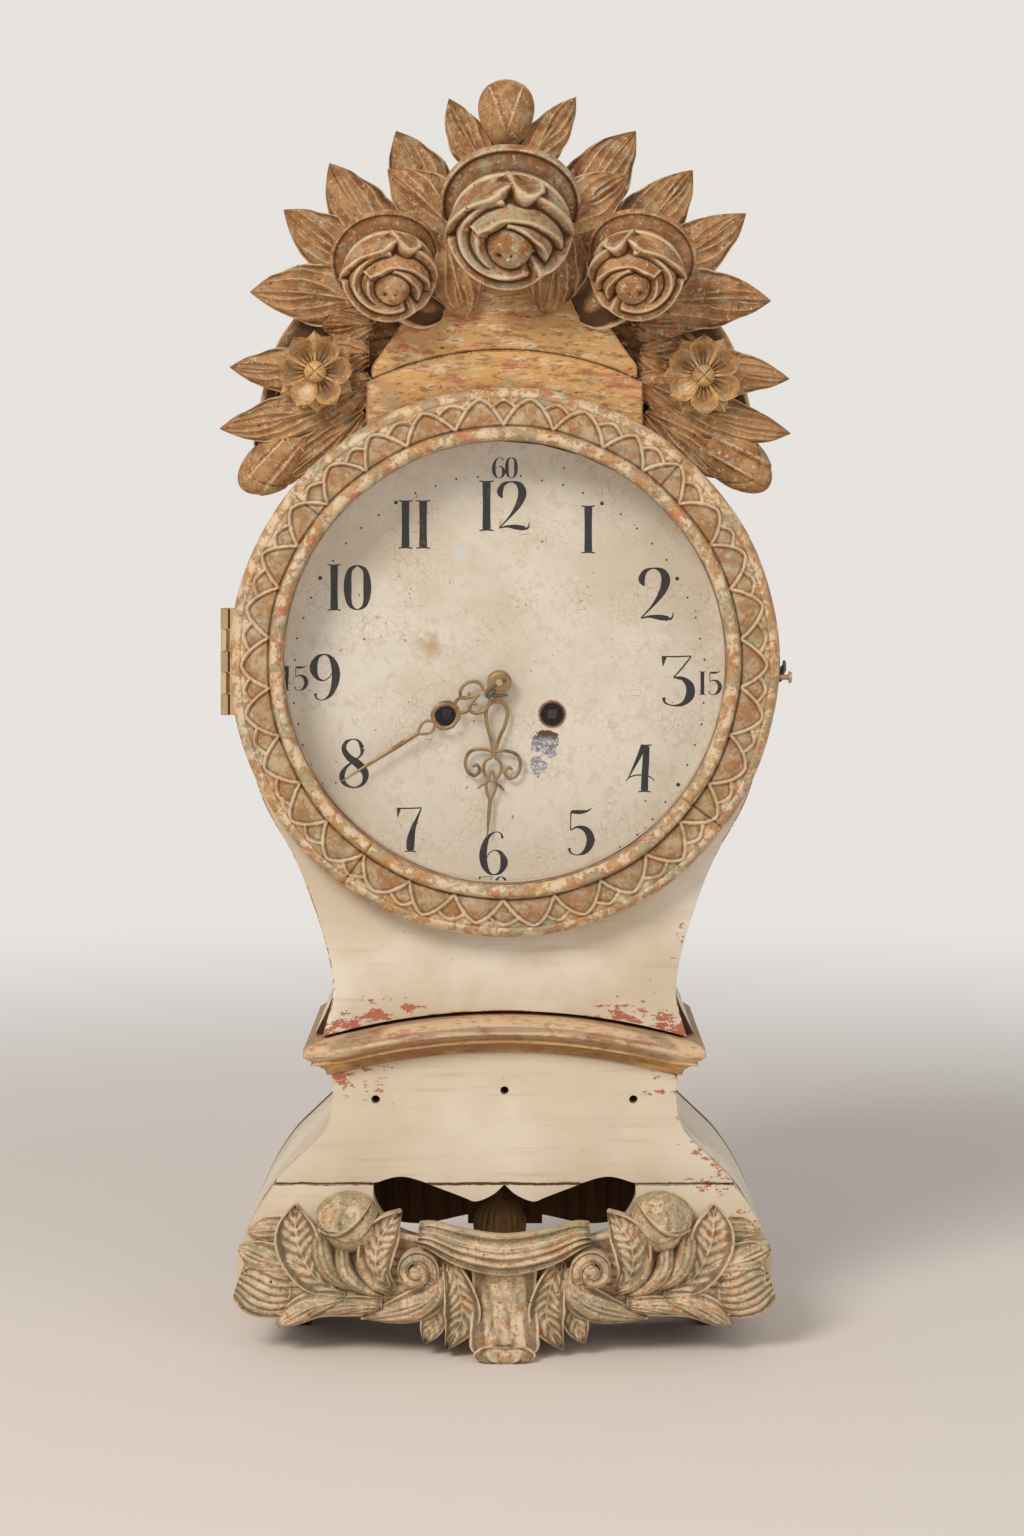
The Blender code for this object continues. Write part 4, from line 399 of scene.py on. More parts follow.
class Finish:
    """One procedural finish, with short ways to the nodes that it is made of."""

    def __init__(self, name):
        self.material = bpy.data.materials.new("clock_" + name)
        self.material.use_nodes = True
        self.nodes = self.material.node_tree.nodes
        self.links = self.material.node_tree.links
        self.shader = self.nodes["Principled BSDF"]
        self.places = self.nodes.new("ShaderNodeTexCoord").outputs["Object"]

    def put(self, value, socket):
        """Link a socket, or set its number or colour."""
        if isinstance(value, bpy.types.NodeSocket):
            self.links.new(value, socket)
        else:
            socket.default_value = value

    def laid(self, stretch, shift):
        """Object places, stretched and shifted."""
        mapping = self.nodes.new("ShaderNodeMapping")
        mapping.inputs["Scale"].default_value = stretch
        mapping.inputs["Location"].default_value = (shift, shift * 0.7, shift * 1.3)
        self.links.new(self.places, mapping.inputs["Vector"])
        return mapping.outputs["Vector"]

    def noise(self, scale, detail=5.0, rough=0.55, stretch=(1.0, 1.0, 1.0), shift=0.0, warp=0.0):
        """Cloudy pattern, with this many clouds to a metre."""
        texture = self.nodes.new("ShaderNodeTexNoise")
        texture.inputs["Scale"].default_value = scale
        texture.inputs["Detail"].default_value = detail
        texture.inputs["Roughness"].default_value = rough
        texture.inputs["Distortion"].default_value = warp
        self.links.new(self.laid(stretch, shift), texture.inputs["Vector"])
        return texture.outputs["Fac"]

    def cracks(self, scale, stretch=(1.0, 1.0, 1.0), shift=0.0):
        """Distance from the nearest line of a net of cracks."""
        texture = self.nodes.new("ShaderNodeTexVoronoi")
        texture.feature = "DISTANCE_TO_EDGE"
        texture.inputs["Scale"].default_value = scale
        self.links.new(self.laid(stretch, shift), texture.inputs["Vector"])
        return texture.outputs["Distance"]

    def axes(self):
        """The x, y and z of a place."""
        split = self.nodes.new("ShaderNodeSeparateXYZ")
        self.links.new(self.places, split.inputs["Vector"])
        return split.outputs["X"], split.outputs["Y"], split.outputs["Z"]

    def attribute(self, name):
        """A number that the mesh carries."""
        node = self.nodes.new("ShaderNodeAttribute")
        node.attribute_name = name
        return node.outputs["Fac"]

    def sum(self, operation, one, two=0.0):
        """One step of arithmetic."""
        node = self.nodes.new("ShaderNodeMath")
        node.operation = operation
        self.put(one, node.inputs[0])
        self.put(two, node.inputs[1])
        return node.outputs[0]

    def times(self, one, two):
        """Product of two numbers."""
        return self.sum("MULTIPLY", one, two)

    def plus(self, one, two):
        """Sum of two numbers."""
        return self.sum("ADD", one, two)

    def minus(self, one, two):
        """Difference of two numbers."""
        return self.sum("SUBTRACT", one, two)

    def most(self, one, two):
        """Larger of two numbers."""
        return self.sum("MAXIMUM", one, two)

    def ease(self, value, low, high):
        """Smooth step from 0 at low to 1 at high."""
        node = self.nodes.new("ShaderNodeMapRange")
        node.interpolation_type = "SMOOTHSTEP"
        self.put(value, node.inputs["Value"])
        self.put(low, node.inputs["From Min"])
        self.put(high, node.inputs["From Max"])
        return node.outputs["Result"]

    def over(self, below, above, share):
        """One colour over another, by a share."""
        node = self.nodes.new("ShaderNodeMix")
        node.data_type = "RGBA"
        self.put(share, node.inputs[0])
        self.put(below, node.inputs[6])
        self.put(above, node.inputs[7])
        return node.outputs[2]

    def coat(self, below, shade, share, strength):
        """One of the paint colours over what is there, by a share and a strength."""
        return self.over(below, tint(shade), self.times(share, strength))

    def coats(self, below, layers):
        """Coats of (colour, pattern, where the pattern starts, where it is full, strength)."""
        for shade, flakes, low, full, strength in layers:
            below = self.coat(below, shade, self.ease(flakes, low, full), strength)
        return below

    def grey(self, low, high, share):
        """Grey between two levels, such as a roughness."""
        return self.over((low, low, low, 1), (high, high, high, 1), share)

    def close_to(self, place, radius, soft, wobble):
        """1 near a place on the front, with a soft, uneven rim."""
        x, _, z = self.axes()
        across = self.minus(x, place[0])
        up = self.minus(z, place[1])
        square = self.plus(self.times(across, across), self.times(up, up))
        distance = self.sum("SQRT", square)
        uneven = self.times(self.minus(self.noise(170.0), 0.5), wobble)
        return self.ease(self.plus(distance, uneven), radius + soft, radius)

    def done(self, base, roughness, height=None, depth=0.0004, strength=0.6, metallic=0.0, specular=0.3):
        """Wire colour, roughness and bump to the shader."""
        self.put(base, self.shader.inputs["Base Color"])
        self.put(roughness, self.shader.inputs["Roughness"])
        self.shader.inputs["Metallic"].default_value = metallic
        self.shader.inputs["Specular IOR Level"].default_value = specular
        if height is not None:
            self.bump(height, depth, strength, self.shader)
        return self.material

    def bump(self, height, depth, strength, shader):
        """Let a pattern stand up from the surface of a shader."""
        node = self.nodes.new("ShaderNodeBump")
        node.inputs["Distance"].default_value = depth
        node.inputs["Strength"].default_value = strength
        self.links.new(height, node.inputs["Height"])
        self.links.new(node.outputs["Normal"], shader.inputs["Normal"])


def mix_shaders(tree, share, one, two, output):
    """Blend two shaders by a share and lead them to an output node."""
    both = tree.nodes.new("ShaderNodeMixShader")
    tree.links.new(share, both.inputs["Fac"])
    tree.links.new(one, both.inputs[1])
    tree.links.new(two, both.inputs[2])
    tree.links.new(both.outputs["Shader"], tree.nodes[output].inputs["Surface"])


def cream_finish(name, wear=None, chips=0.30, seam=None):
    """Old cream paint on a board: yellowed, with a grain, small pits, and chips down to brick red.

    A seam is the height of an open joint.
    """
    paint = Finish(name)
    yellowed = paint.ease(paint.noise(11.0, 6.0), 0.20 if seam else 0.42, 0.62)
    base = paint.over(tint("cream"), tint("cream_deep"), yellowed)
    grain = paint.noise(330.0, 3.0, 0.5, (0.05, 1.0, 1.0))
    smear = paint.noise(60.0, 5.0, 0.6, (0.16, 1.0, 1.0), 4.0)
    base = paint.coat(base, "cream_deep", paint.ease(smear, 0.52, 0.72), 0.55)
    base = paint.coat(base, "ochre", paint.ease(grain, 0.57, 0.74), 0.26)
    pits = paint.ease(paint.noise(420.0, 2.0, 0.5, shift=2.0), 0.725, 0.755)
    base = paint.coat(base, "wood", pits, 0.8)
    flake = paint.noise(210.0, 9.0, 0.70, (0.50, 1.0, 1.0), 9.0)
    limit = 0.74
    if wear:
        limit = paint.minus(limit, paint.times(wear(paint), chips))
    ring = paint.ease(flake, paint.minus(limit, 0.03), limit)
    chip = paint.ease(flake, limit, paint.plus(limit, 0.012))
    base = paint.coat(base, "rub", ring, 0.5)
    red = paint.over(tint("brick"), tint("salmon"), paint.ease(paint.noise(240.0, shift=5.0), 0.4, 0.6))
    base = paint.over(base, red, chip)
    if seam:
        uneven = paint.times(paint.minus(paint.noise(90.0, 6.0, 0.7, shift=3.0), 0.5), 0.0030)
        apart = paint.minus(paint.plus(paint.axes()[2], uneven), seam)
        base = paint.over(base, tint("umber"), paint.ease(paint.sum("ABSOLUTE", apart), 0.0011, 0.0005))
    relief = paint.plus(paint.times(grain, 0.35), paint.minus(1.0, chip))
    relief = paint.minus(relief, paint.times(pits, 0.8))
    return paint.done(base, paint.grey(0.62, 0.85, chip), relief, 0.0003, 0.7)


def upper_wear(paint):
    """Paint loss of the upper front board: along its lower edge, towards the ends, and at the sides."""
    x, _, z = paint.axes()
    away = paint.sum("ABSOLUTE", x)
    edge = paint.minus(0.191, paint.times(paint.times(x, x), ARCH_FALL))
    low = paint.ease(paint.minus(z, edge), 0.026, 0.004)
    low = paint.times(low, paint.ease(away, 0.012, 0.072))
    flank = paint.times(paint.ease(x, 0.078, 0.100), paint.ease(z, 0.27, 0.22))
    return paint.most(low, paint.times(flank, 0.75))


def base_wear(paint):
    """Paint loss of the base front boards: at the upper left, the right flank and the joint."""
    x, _, z = paint.axes()
    upper = paint.times(paint.ease(x, -0.035, -0.075), paint.ease(z, 0.130, 0.150))
    flank = paint.ease(paint.plus(x, paint.times(z, 0.75)), 0.166, 0.196)
    joint = paint.ease(paint.sum("ABSOLUTE", paint.minus(z, 0.094)), 0.012, 0.002)
    joint = paint.times(joint, paint.ease(x, 0.070, 0.110))
    side = paint.most(paint.times(flank, 0.75), paint.times(joint, 0.9))
    return paint.most(paint.times(upper, 0.85), side)


def side_wear(paint):
    """A little loss towards the front edge of a side."""
    _, y, _ = paint.axes()
    return paint.times(paint.ease(y, FRONT + 0.05, FRONT + 0.012), 0.45)


def edge_wear(paint):
    """Loss all along a worn edge."""
    return paint.ease(paint.noise(24.0, shift=1.0), 0.30, 0.60)


def wood_finish(name, light="wood", dark="umber"):
    """Bare old softwood with a grain along the height."""
    wood = Finish(name)
    grain = wood.noise(210.0, 6.0, 0.6, (1.0, 1.0, 0.05), warp=0.4)
    cloud = wood.noise(14.0, 4.0, shift=3.0)
    base = wood.over(tint(light), tint(dark), wood.ease(grain, 0.40, 0.68))
    base = wood.coat(base, "wood", wood.ease(cloud, 0.50, 0.75), 0.35)
    return wood.done(base, wood.grey(0.72, 0.9, grain), grain, 0.0004, 0.5)


def carving_finish(name, ground, second, third, high, hollow_grime_and_shade=0.8, lips=0.6, red=0.63):
    """Worn paint on carving: layered flakes of paint, grime and painted shade in the hollows, rubbed high
    places.
    """
    paint = Finish(name)
    base = paint.over(tint(ground), tint(second), paint.ease(paint.noise(58.0, 8.0, 0.68), 0.44, 0.58))
    layers = (
        (third, paint.noise(170.0, 8.0, 0.70, (0.7, 1.0, 1.0), 3.0), 0.540, 0.580, 0.75),
        ("ochre_deep", paint.noise(420.0, 7.0, 0.74, shift=21.0), 0.520, 0.600, 0.75),
        ("rub", paint.noise(330.0, 8.0, 0.74, shift=12.0), 0.580, 0.610, 0.85),
        ("salmon", paint.noise(210.0, 8.0, 0.72, shift=33.0), red, red + 0.025, 0.85),
        ("umber", paint.noise(520.0, 6.0, 0.74, shift=57.0), 0.600, 0.670, 0.75),
    )
    base = paint.coats(base, layers)
    relief = paint.attribute("relief")
    fine = paint.noise(320.0, 6.0, 0.68, shift=8.0)
    uneven = paint.times(paint.minus(paint.noise(150.0, 7.0, 0.68, shift=5.0), 0.5), 1.8)
    # Umber in the hollows: painted shade, with some grime
    hollow = paint.ease(paint.plus(relief, paint.times(uneven, 0.35)), 0.0, -0.80)
    base = paint.coat(base, "umber", hollow, hollow_grime_and_shade)
    rubbed = paint.ease(paint.plus(relief, uneven), 0.30, 0.70)
    base = paint.coat(base, high, rubbed, lips)
    bare = paint.ease(paint.plus(relief, paint.times(uneven, 1.6)), 0.85, 1.20)
    base = paint.coat(base, "rub", bare, 0.7)
    worm = paint.ease(paint.noise(360.0, 1.0, 0.4, shift=11.0), 0.755, 0.775)
    base = paint.over(base, tint("umber"), worm)
    skin = paint.minus(fine, worm)
    return paint.done(base, paint.grey(0.58, 0.88, fine), skin, 0.0005, 0.6)


def bezel_finish(name):
    """Mottled ochre on the bezel, pale fillets round the arches, grime and painted shade in its joints and
    hollows.
    """
    paint = Finish(name)
    base = paint.over(tint("ochre"), tint("sage"), paint.ease(paint.noise(55.0, 9.0, 0.70), 0.43, 0.57))
    layers = (
        ("gold", paint.noise(75.0, 10.0, 0.72, shift=3.0), 0.540, 0.600, 0.70),
        ("salmon", paint.noise(120.0, 10.0, 0.76, shift=15.0), 0.540, 0.570, 0.85),
        ("ochre_deep", paint.noise(430.0, 7.0, 0.74, shift=21.0), 0.530, 0.600, 0.70),
        ("rub", paint.noise(105.0, 10.0, 0.78, shift=12.0), 0.495, 0.535, 0.90),
        ("umber", paint.noise(420.0, 6.0, 0.74, shift=41.0), 0.610, 0.680, 0.65),
    )
    base = paint.coats(base, layers)
    fine = paint.noise(320.0, 6.0, 0.70, shift=8.0)
    mark = paint.attribute("fillet")
    field = paint.ease(mark, -0.15, -0.45)
    patch = paint.ease(paint.noise(150.0, 9.0, 0.74, shift=35.0), 0.46, 0.60)
    olive = paint.over(tint("ochre_deep"), tint("sage"), patch)
    base = paint.over(base, olive, paint.times(field, 0.62))
    worn = paint.noise(120.0, 8.0, 0.72, shift=27.0)
    fillet = paint.plus(mark, paint.times(paint.minus(worn, 0.5), 1.6))
    base = paint.coat(base, "rub", paint.ease(fillet, 0.34, 0.58), 0.85)
    # Umber in the joints and hollows: painted shade with some grime, and the open joints
    hollow = paint.ease(paint.attribute("relief"), -0.15, -0.90)
    base = paint.coat(base, "umber", hollow, 0.60)
    return paint.done(base, paint.grey(0.58, 0.86, fine), fine, 0.0005, 0.6)


def moulding_finish(name):
    """Waist moulding: a pale, rubbed half round over ochre, with grime and painted shade in the quirks."""
    paint = Finish(name)
    along = (0.45, 1.0, 1.0)
    x, _, z = paint.axes()
    arch = paint.plus(z, paint.times(paint.times(x, x), ARCH_FALL))
    cloud = paint.ease(paint.noise(60.0, 8.0, 0.68, along), 0.44, 0.60)
    base = paint.over(tint("ochre"), tint("gold"), cloud)
    pale = paint.ease(paint.plus(arch, paint.times(paint.noise(130.0, 8.0, 0.7), 0.006)), 0.178, 0.182)
    base = paint.coat(base, "rub", pale, 0.65)
    layers = (
        ("salmon", paint.noise(110.0, 9.0, 0.72, along, 15.0), 0.545, 0.590, 0.60),
        ("rub", paint.noise(150.0, 9.0, 0.74, along, 12.0), 0.570, 0.610, 0.60),
        ("ochre_deep", paint.noise(330.0, 7.0, 0.74, along, 21.0), 0.520, 0.620, 0.55),
        ("umber", paint.noise(240.0, 6.0, 0.70, shift=41.0), 0.650, 0.700, 0.70),
    )
    base = paint.coats(base, layers)
    fine = paint.noise(320.0, 6.0, 0.70, along, 8.0)
    # Umber in the quirks: painted shade, with some grime
    hollow = paint.ease(paint.attribute("relief"), -0.20, -1.0)
    base = paint.coat(base, "umber", hollow, 0.45)
    return paint.done(base, paint.grey(0.58, 0.86, fine), fine, 0.0005, 0.6)


def streaked_finish(name):
    """Gold ochre on the crest boards with red and pale streaks along the grain."""
    paint = Finish(name)
    along = (0.30, 1.0, 1.0)
    cloud = paint.ease(paint.noise(30.0, 8.0, 0.65, along), 0.42, 0.58)
    base = paint.over(tint("gold"), tint("ochre"), cloud)
    layers = (
        ("rub", paint.noise(170.0, 9.0, 0.74, along, 4.0, 0.4), 0.540, 0.570, 0.80),
        ("salmon", paint.noise(70.0, 10.0, 0.76, along, 15.0, 0.4), 0.520, 0.550, 0.90),
        ("sage", paint.noise(190.0, 9.0, 0.74, along, 29.0), 0.550, 0.590, 0.75),
        ("gold", paint.noise(110.0, 10.0, 0.76, along, 37.0), 0.545, 0.575, 0.95),
        ("ochre_deep", paint.noise(330.0, 8.0, 0.76, along, 51.0), 0.525, 0.590, 0.80),
        ("umber", paint.noise(320.0, 6.0, 0.72, (0.4, 1.0, 1.0), 63.0), 0.590, 0.660, 0.80),
    )
    base = paint.coats(base, layers)
    fine = paint.noise(260.0, 6.0, 0.68, (0.5, 1.0, 1.0), 2.0)
    return paint.done(base, paint.grey(0.6, 0.85, fine), fine, 0.0005, 0.6)


def metal_finish(name, shade, dark, rough_low, rough_high, metallic=1.0):
    """Old metal with cloudy tarnish and fine scratches."""
    metal = Finish(name)
    cloud = metal.noise(75.0, 6.0, 0.6)
    base = metal.over(tint(shade), tint(dark), metal.ease(cloud, 0.46, 0.72))
    scratch = metal.noise(900.0, 2.0, 0.5, (0.2, 1.0, 1.0), 3.0)
    return metal.done(base, metal.grey(rough_low, rough_high, cloud), scratch, 0.0001, 0.3, metallic, 0.5)


def dial_finish(name):
    """Painted dial: yellowed, crazed, specked and stained, and worn through below a winding hole."""
    paint = Finish(name)
    _, _, z = paint.axes()
    base = paint.over(tint("dial"), tint("dial_deep"), paint.ease(paint.noise(13.0, 6.0, 0.6), 0.40, 0.72))
    low = paint.times(paint.ease(z, 0.40, 0.25), 0.35)
    base = paint.over(base, tint("dial_deep"), low)
    web = paint.ease(paint.cracks(230.0), 0.030, 0.006)
    patchy = paint.ease(paint.noise(30.0, shift=2.0), 0.42, 0.62)
    craze = paint.times(web, patchy)
    base = paint.coat(base, "ochre", craze, 0.75)
    soiled = paint.ease(paint.noise(160.0, 9.0, 0.72, shift=9.0), 0.50, 0.62)
    base = paint.coat(base, "dial_deep", soiled, 0.8)
    speck = paint.ease(paint.noise(310.0, 2.0, 0.5, shift=7.0), 0.715, 0.735)
    base = paint.coat(base, "rust", speck, 0.8)
    stain = paint.close_to((-0.0420, 0.3945), 0.0010, 0.0090, 0.016)
    base = paint.coat(base, "ochre", stain, 0.7)
    smudge = paint.close_to((-0.0250, 0.4480), 0.0020, 0.0035, 0.010)
    base = paint.over(base, (0.66, 0.66, 0.68, 1), paint.times(smudge, 0.6))
    for hole in WINDING_HOLES:
        base = paint.over(base, tint("rust"), paint.close_to(hole, 0.0072, 0.0014, 0.0022))
    upper = paint.close_to((0.0235, 0.3400), 0.0072, 0.0008, 0.016)
    lower = paint.close_to((0.0185, 0.3270), 0.0048, 0.0008, 0.014)
    loss = paint.most(upper, lower)
    speckle = paint.ease(paint.noise(700.0, 3.0, 0.7, shift=5.0), 0.45, 0.55)
    grey = paint.over((0.22, 0.19, 0.20, 1), (0.60, 0.58, 0.60, 1), speckle)
    under = paint.over(grey, tint("umber"), paint.ease(z, 0.3400, 0.3455))
    base = paint.over(base, under, loss)
    height = paint.minus(paint.minus(1.0, loss), paint.times(craze, 0.5))
    return paint.done(base, paint.grey(0.42, 0.72, loss), height, 0.0002, 0.5)


def ink_finish(name):
    """Black paint of the numerals, rubbed thin in places."""
    ink = Finish(name)
    thin = ink.ease(ink.noise(120.0, 6.0, 0.65), 0.56, 0.70)
    base = ink.over(tint("ink"), tint("wood"), ink.times(thin, 0.45))
    return ink.done(base, ink.grey(0.42, 0.7, thin), thin, 0.0001, 0.2)


def glass_finish(name):
    """Old window glass that lets the lamps through."""
    glass = Finish(name)
    wave = glass.noise(16.0, 2.0, 0.4)
    clear = glass.nodes.new("ShaderNodeBsdfTransparent")
    gloss = glass.nodes.new("ShaderNodeBsdfGlossy")
    gloss.inputs["Roughness"].default_value = 0.03
    glass.bump(wave, 0.0004, 0.25, gloss)
    slope = glass.nodes.new("ShaderNodeLayerWeight")
    slope.inputs["Blend"].default_value = 0.25
    sheen = glass.plus(glass.times(slope.outputs["Facing"], 0.45), 0.02)
    mix_shaders(glass.material.node_tree, sheen, clear.outputs["BSDF"], gloss.outputs["BSDF"],
                "Material Output")
    glass.nodes.remove(glass.shader)
    return glass.material


# Maker of each finish, and its settings after the name
FINISHES = {
    "upper_cream": (cream_finish, upper_wear, 0.235),
    "base_cream": (cream_finish, base_wear, 0.225, 0.0943),
    "side_cream": (cream_finish, side_wear, 0.22),
    "edge_cream": (cream_finish, edge_wear, 0.30),
    "bare_wood": (wood_finish,),
    # Carving numbers: umber in the hollows (painted shade with grime), rubbed lips, start of red flakes
    "leaf_paint": (carving_finish, "ochre", "ochre_deep", "sage", "rub", 0.90, 0.60),
    "rose_paint": (carving_finish, "ochre_deep", "sage", "ochre", "rub", 1.0, 0.60, 0.58),
    "side_rose": (carving_finish, "ochre_deep", "ochre", "sage", "rub", 1.0, 0.60, 0.57),
    "flower_paint": (carving_finish, "gold", "ochre", "sage", "rub", 0.85, 0.85, 0.70),
    "bezel_paint": (bezel_finish,),
    "moulding_paint": (moulding_finish,),
    # Near-black wood as painted shadow on the front ends and feet of the case sides
    "dark_wood": (wood_finish, "umber", "ink"),
    "apron_paint": (carving_finish, "sage", "rub", "ochre", "rub", 0.60, 0.50, 0.60),
    "crest_boards": (streaked_finish,),
    "dial_paint": (dial_finish,),
    "numeral_ink": (ink_finish,),
    "door_glass": (glass_finish,),
    "brass_metal": (metal_finish, "brass", "gilt", 0.28, 0.50),
    "old_brass": (metal_finish, "brass", "gilt", 0.42, 0.62),
    # Near-black metal as painted shade inside the winding holes, on the barrels and front plate
    "black_iron": (metal_finish, "ink", "umber", 0.60, 0.80, 0.6),
    "hand_metal": (metal_finish, "gilt", "umber", 0.38, 0.60),
    "bronze_metal": (metal_finish, "bronze", "umber", 0.35, 0.55),
    "bob_metal": (metal_finish, "gold", "ochre_deep", 0.40, 0.60, 0.20),
    "iron_metal": (metal_finish, "iron", "umber", 0.42, 0.65),
}


def material(name):
    """Finish of this name, made when it is first asked for."""
    full_name = "clock_" + name
    if full_name not in bpy.data.materials:
        maker, *settings = FINISHES[name]
        maker(name, *settings)
    return bpy.data.materials[full_name]


def outline_loops(node):
    """Front outlines of a CAD board: each closed loop of its front face as a list of (x, z)."""
    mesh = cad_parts[node].data
    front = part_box(node)[0][1]
    use = {}
    for face in mesh.polygons:
        corners = [mesh.vertices[index].co for index in face.vertices]
        if max(abs(corner.y - front) for corner in corners) > 1e-5:
            continue
        keys = [(round(corner.x, 6), round(corner.z, 6)) for corner in corners]
        for start, end in zip(keys, keys[1:] + keys[:1]):
            use[(start, end)] = use.get((start, end), 0) + 1
    follow = {}
    for start, end in use:
        if (end, start) not in use:
            follow[start] = end
    loops = []
    while follow:
        start = next(iter(follow))
        loop = [start]
        spot = follow.pop(start)
        while spot != start:
            loop.append(spot)
            spot = follow.pop(spot)
        loops.append(loop)
    return loops


def smoothed(loop, corner=math.radians(43.0), spacing=0.0022):
    """A closed outline with its arcs made smooth and its corners kept."""
    places = [Vector(point) for point in loop]
    count = len(places)
    spans = [places[(index + 1) % count] - places[index] for index in range(count)]
    paces = [math.sqrt(span.length) for span in spans]
    bends = [abs(spans[index - 1].angle_signed(spans[index])) for index in range(count)]
    slopes = []
    for index in range(count):
        before, after = paces[index - 1], paces[index]
        across = (spans[index - 1] + spans[index]) / (before + after)
        slopes.append(spans[index - 1] / before - across + spans[index] / after)
    curve = []
    for index, pace in enumerate(paces):
        nearest = (index + 1) % count
        leave = spans[index] / pace if bends[index] > corner else slopes[index]
        arrive = spans[index] / pace if bends[nearest] > corner else slopes[nearest]
        straight = bends[index] > corner and bends[nearest] > corner
        steps = 1 if straight else max(1, round(spans[index].length / spacing))
        for step in range(steps):
            t = step / steps
            place = places[index] + spans[index] * (t * t * (3 - 2 * t))
            place += leave * pace * (t * (1 - t) ** 2) - arrive * pace * (t * t * (1 - t))
            curve.append(tuple(place))
    return curve


def board(node, name, edge=None):
    """Board cut to the outline of its CAD node, with smooth curves. Its worn edges are material 1."""
    low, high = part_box(node)
    rims = []
    for loop in outline_loops(node):
        outline = np.array(smoothed(loop))
        clear_selection()
        bpy.ops.mesh.primitive_circle_add(vertices=len(outline), radius=1.0, fill_type="NOTHING",
                                          calc_uvs=False)
        rim = bpy.context.object
        write_places(rim, outline[:, 0], np.full(len(outline), low[1]), outline[:, 1])
        rims.append(rim)
    piece = join(rims, name)
    thickness = {"TRANSFORM_OT_translate": {"value": (0.0, high[1] - low[1], 0.0)}}
    edit_all(piece, (bpy.ops.mesh.fill, {"use_beauty": True}),
             (bpy.ops.mesh.extrude_region_move, thickness), MERGE, OUTWARDS)
    for paint in ("upper_cream", "edge_cream", "bare_wood"):
        piece.data.materials.append(material(paint))
    width = sizes().edge if edge is None else edge
    apply_modifier(piece, "BEVEL", width=width, segments=2, limit_method="ANGLE",
                   angle_limit=math.radians(50.0), material=1, use_clamp_overlap=True)
    return piece


def inside_faces(piece, is_inside):
    """Give the bare wood to the faces that look into the case."""
    for face in piece.data.polygons:
        if is_inside(face.center, face.normal):
            face.material_index = 2


class CLOCK_OT_case_boards(bpy.types.Operator):
    """Make the painted boards of the case"""

    bl_idname = "clock.case_boards"
    bl_label = "Case boards"

    def execute(self, context):
        for node, paint in (("upper_front_board", "upper_cream"), ("base_front_board", "base_cream"),
                            ("base_lower_plank", "base_cream")):
            piece = board(node, node + "_painted")
            piece.data.materials[0] = material(paint)
            inside_faces(piece, lambda place, normal: normal.y > 0.5)
            settle(piece, "case", None, (node,))
        for side, sign in (("left", -1), ("right", 1)):
            for node in ("upper_side_" + side, "base_side_" + side):
                piece = board(node, node + "_painted")
                piece.data.materials[0] = material("side_cream")
                if node.startswith("base"):
                    self.clear_corner(piece)
                self.clad(piece, node, sign)
                settle(piece, "case", None, (node,))
        piece = board("back_board", "back_board_planed")
        for index in (0, 1):
            piece.data.materials[index] = material("bare_wood")
        settle(piece, "case", None, ("back_board",))
        return {"FINISHED"}

    def clear_corner(self, piece):
        """Cut the lower front corner off a base side, so that it stands on its rear part."""
        clear_selection()
        bpy.ops.mesh.primitive_cube_add(size=1.0, location=(0.0, FRONT, 0.0), scale=(0.5, 0.115, 0.039))
        cutter = bpy.context.object
        bpy.ops.object.transform_apply()
        only(piece)
        apply_modifier(piece, "BOOLEAN", operation="DIFFERENCE", solver="EXACT", object=cutter)
        bpy.data.objects.remove(cutter)

    def clad(self, piece, node, sign):
        """Bare wood on the faces of a side that look towards the middle of the case."""
        middle = 0.30 if node.startswith("upper") else 0.08

        def is_inside(place, normal):
            inwards = Vector((-place.x, 0.0, middle + 0.08 - place.z))
            return abs(normal.y) < 0.5 and normal.dot(inwards) > 0.0 and normal.x * sign < 0.2

        inside_faces(piece, is_inside)
        # Near-black wood on the front ends and the lowest faces of a base side: painted shadow under the
        # case
        piece.data.materials.append(material("dark_wood"))
        for face in piece.data.polygons:
            if face.normal.y < -0.5 or (node.startswith("base") and face.center.z < 0.012):
                face.material_index = len(piece.data.materials) - 1


def cad_copy(node, name):
    """Merged copy of a CAD node's mesh that may be shaped."""
    piece = bpy.data.objects.new(name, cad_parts[node].data.copy())
    bpy.context.scene.collection.objects.link(piece)
    piece.data.name = name
    edit_all(piece, MERGE, (bpy.ops.mesh.dissolve_limited, {"angle_limit": math.radians(1.0)}))
    piece.data.materials.clear()
    return piece


class CLOCK_OT_mouldings(bpy.types.Operator):
    """Make the arched moulding and its returns"""

    bl_idname = "clock.mouldings"
    bl_label = "Mouldings"

    def execute(self, context):
        for node in ("waist_moulding_front", "waist_moulding_left", "waist_moulding_right"):
            piece = cad_copy(node, node + "_painted")
            apply_modifier(piece, "BEVEL", width=sizes().edge, segments=2, limit_method="ANGLE",
                           angle_limit=math.radians(40.0))
            mark_relief(piece)
            settle(piece, "case", material("moulding_paint"), (node,), 50.0)
        return {"FINISHED"}


def turned_ring(place, middle, half, y, half_deep, around=40, square=1.0):
    """Ring round a place on the front. Its section is an ellipse, and squarer where square is below 1."""
    clear_selection()
    thin = 0.3
    bpy.ops.mesh.primitive_torus_add(major_segments=around, minor_segments=12, major_radius=1.0,
                                     minor_radius=thin, generate_uvs=False)
    piece = bpy.context.object
    spots = read_places(piece)
    reach = np.hypot(spots[:, 0], spots[:, 1])
    aside, deep = (reach - 1.0) / thin, spots[:, 2] / thin
    scale = (middle + half * np.sign(aside) * np.abs(aside) ** square) / reach
    write_places(piece, place[0] + spots[:, 0] * scale,
                 y + half_deep * np.sign(deep) * np.abs(deep) ** square, place[1] + spots[:, 1] * scale)
    return piece


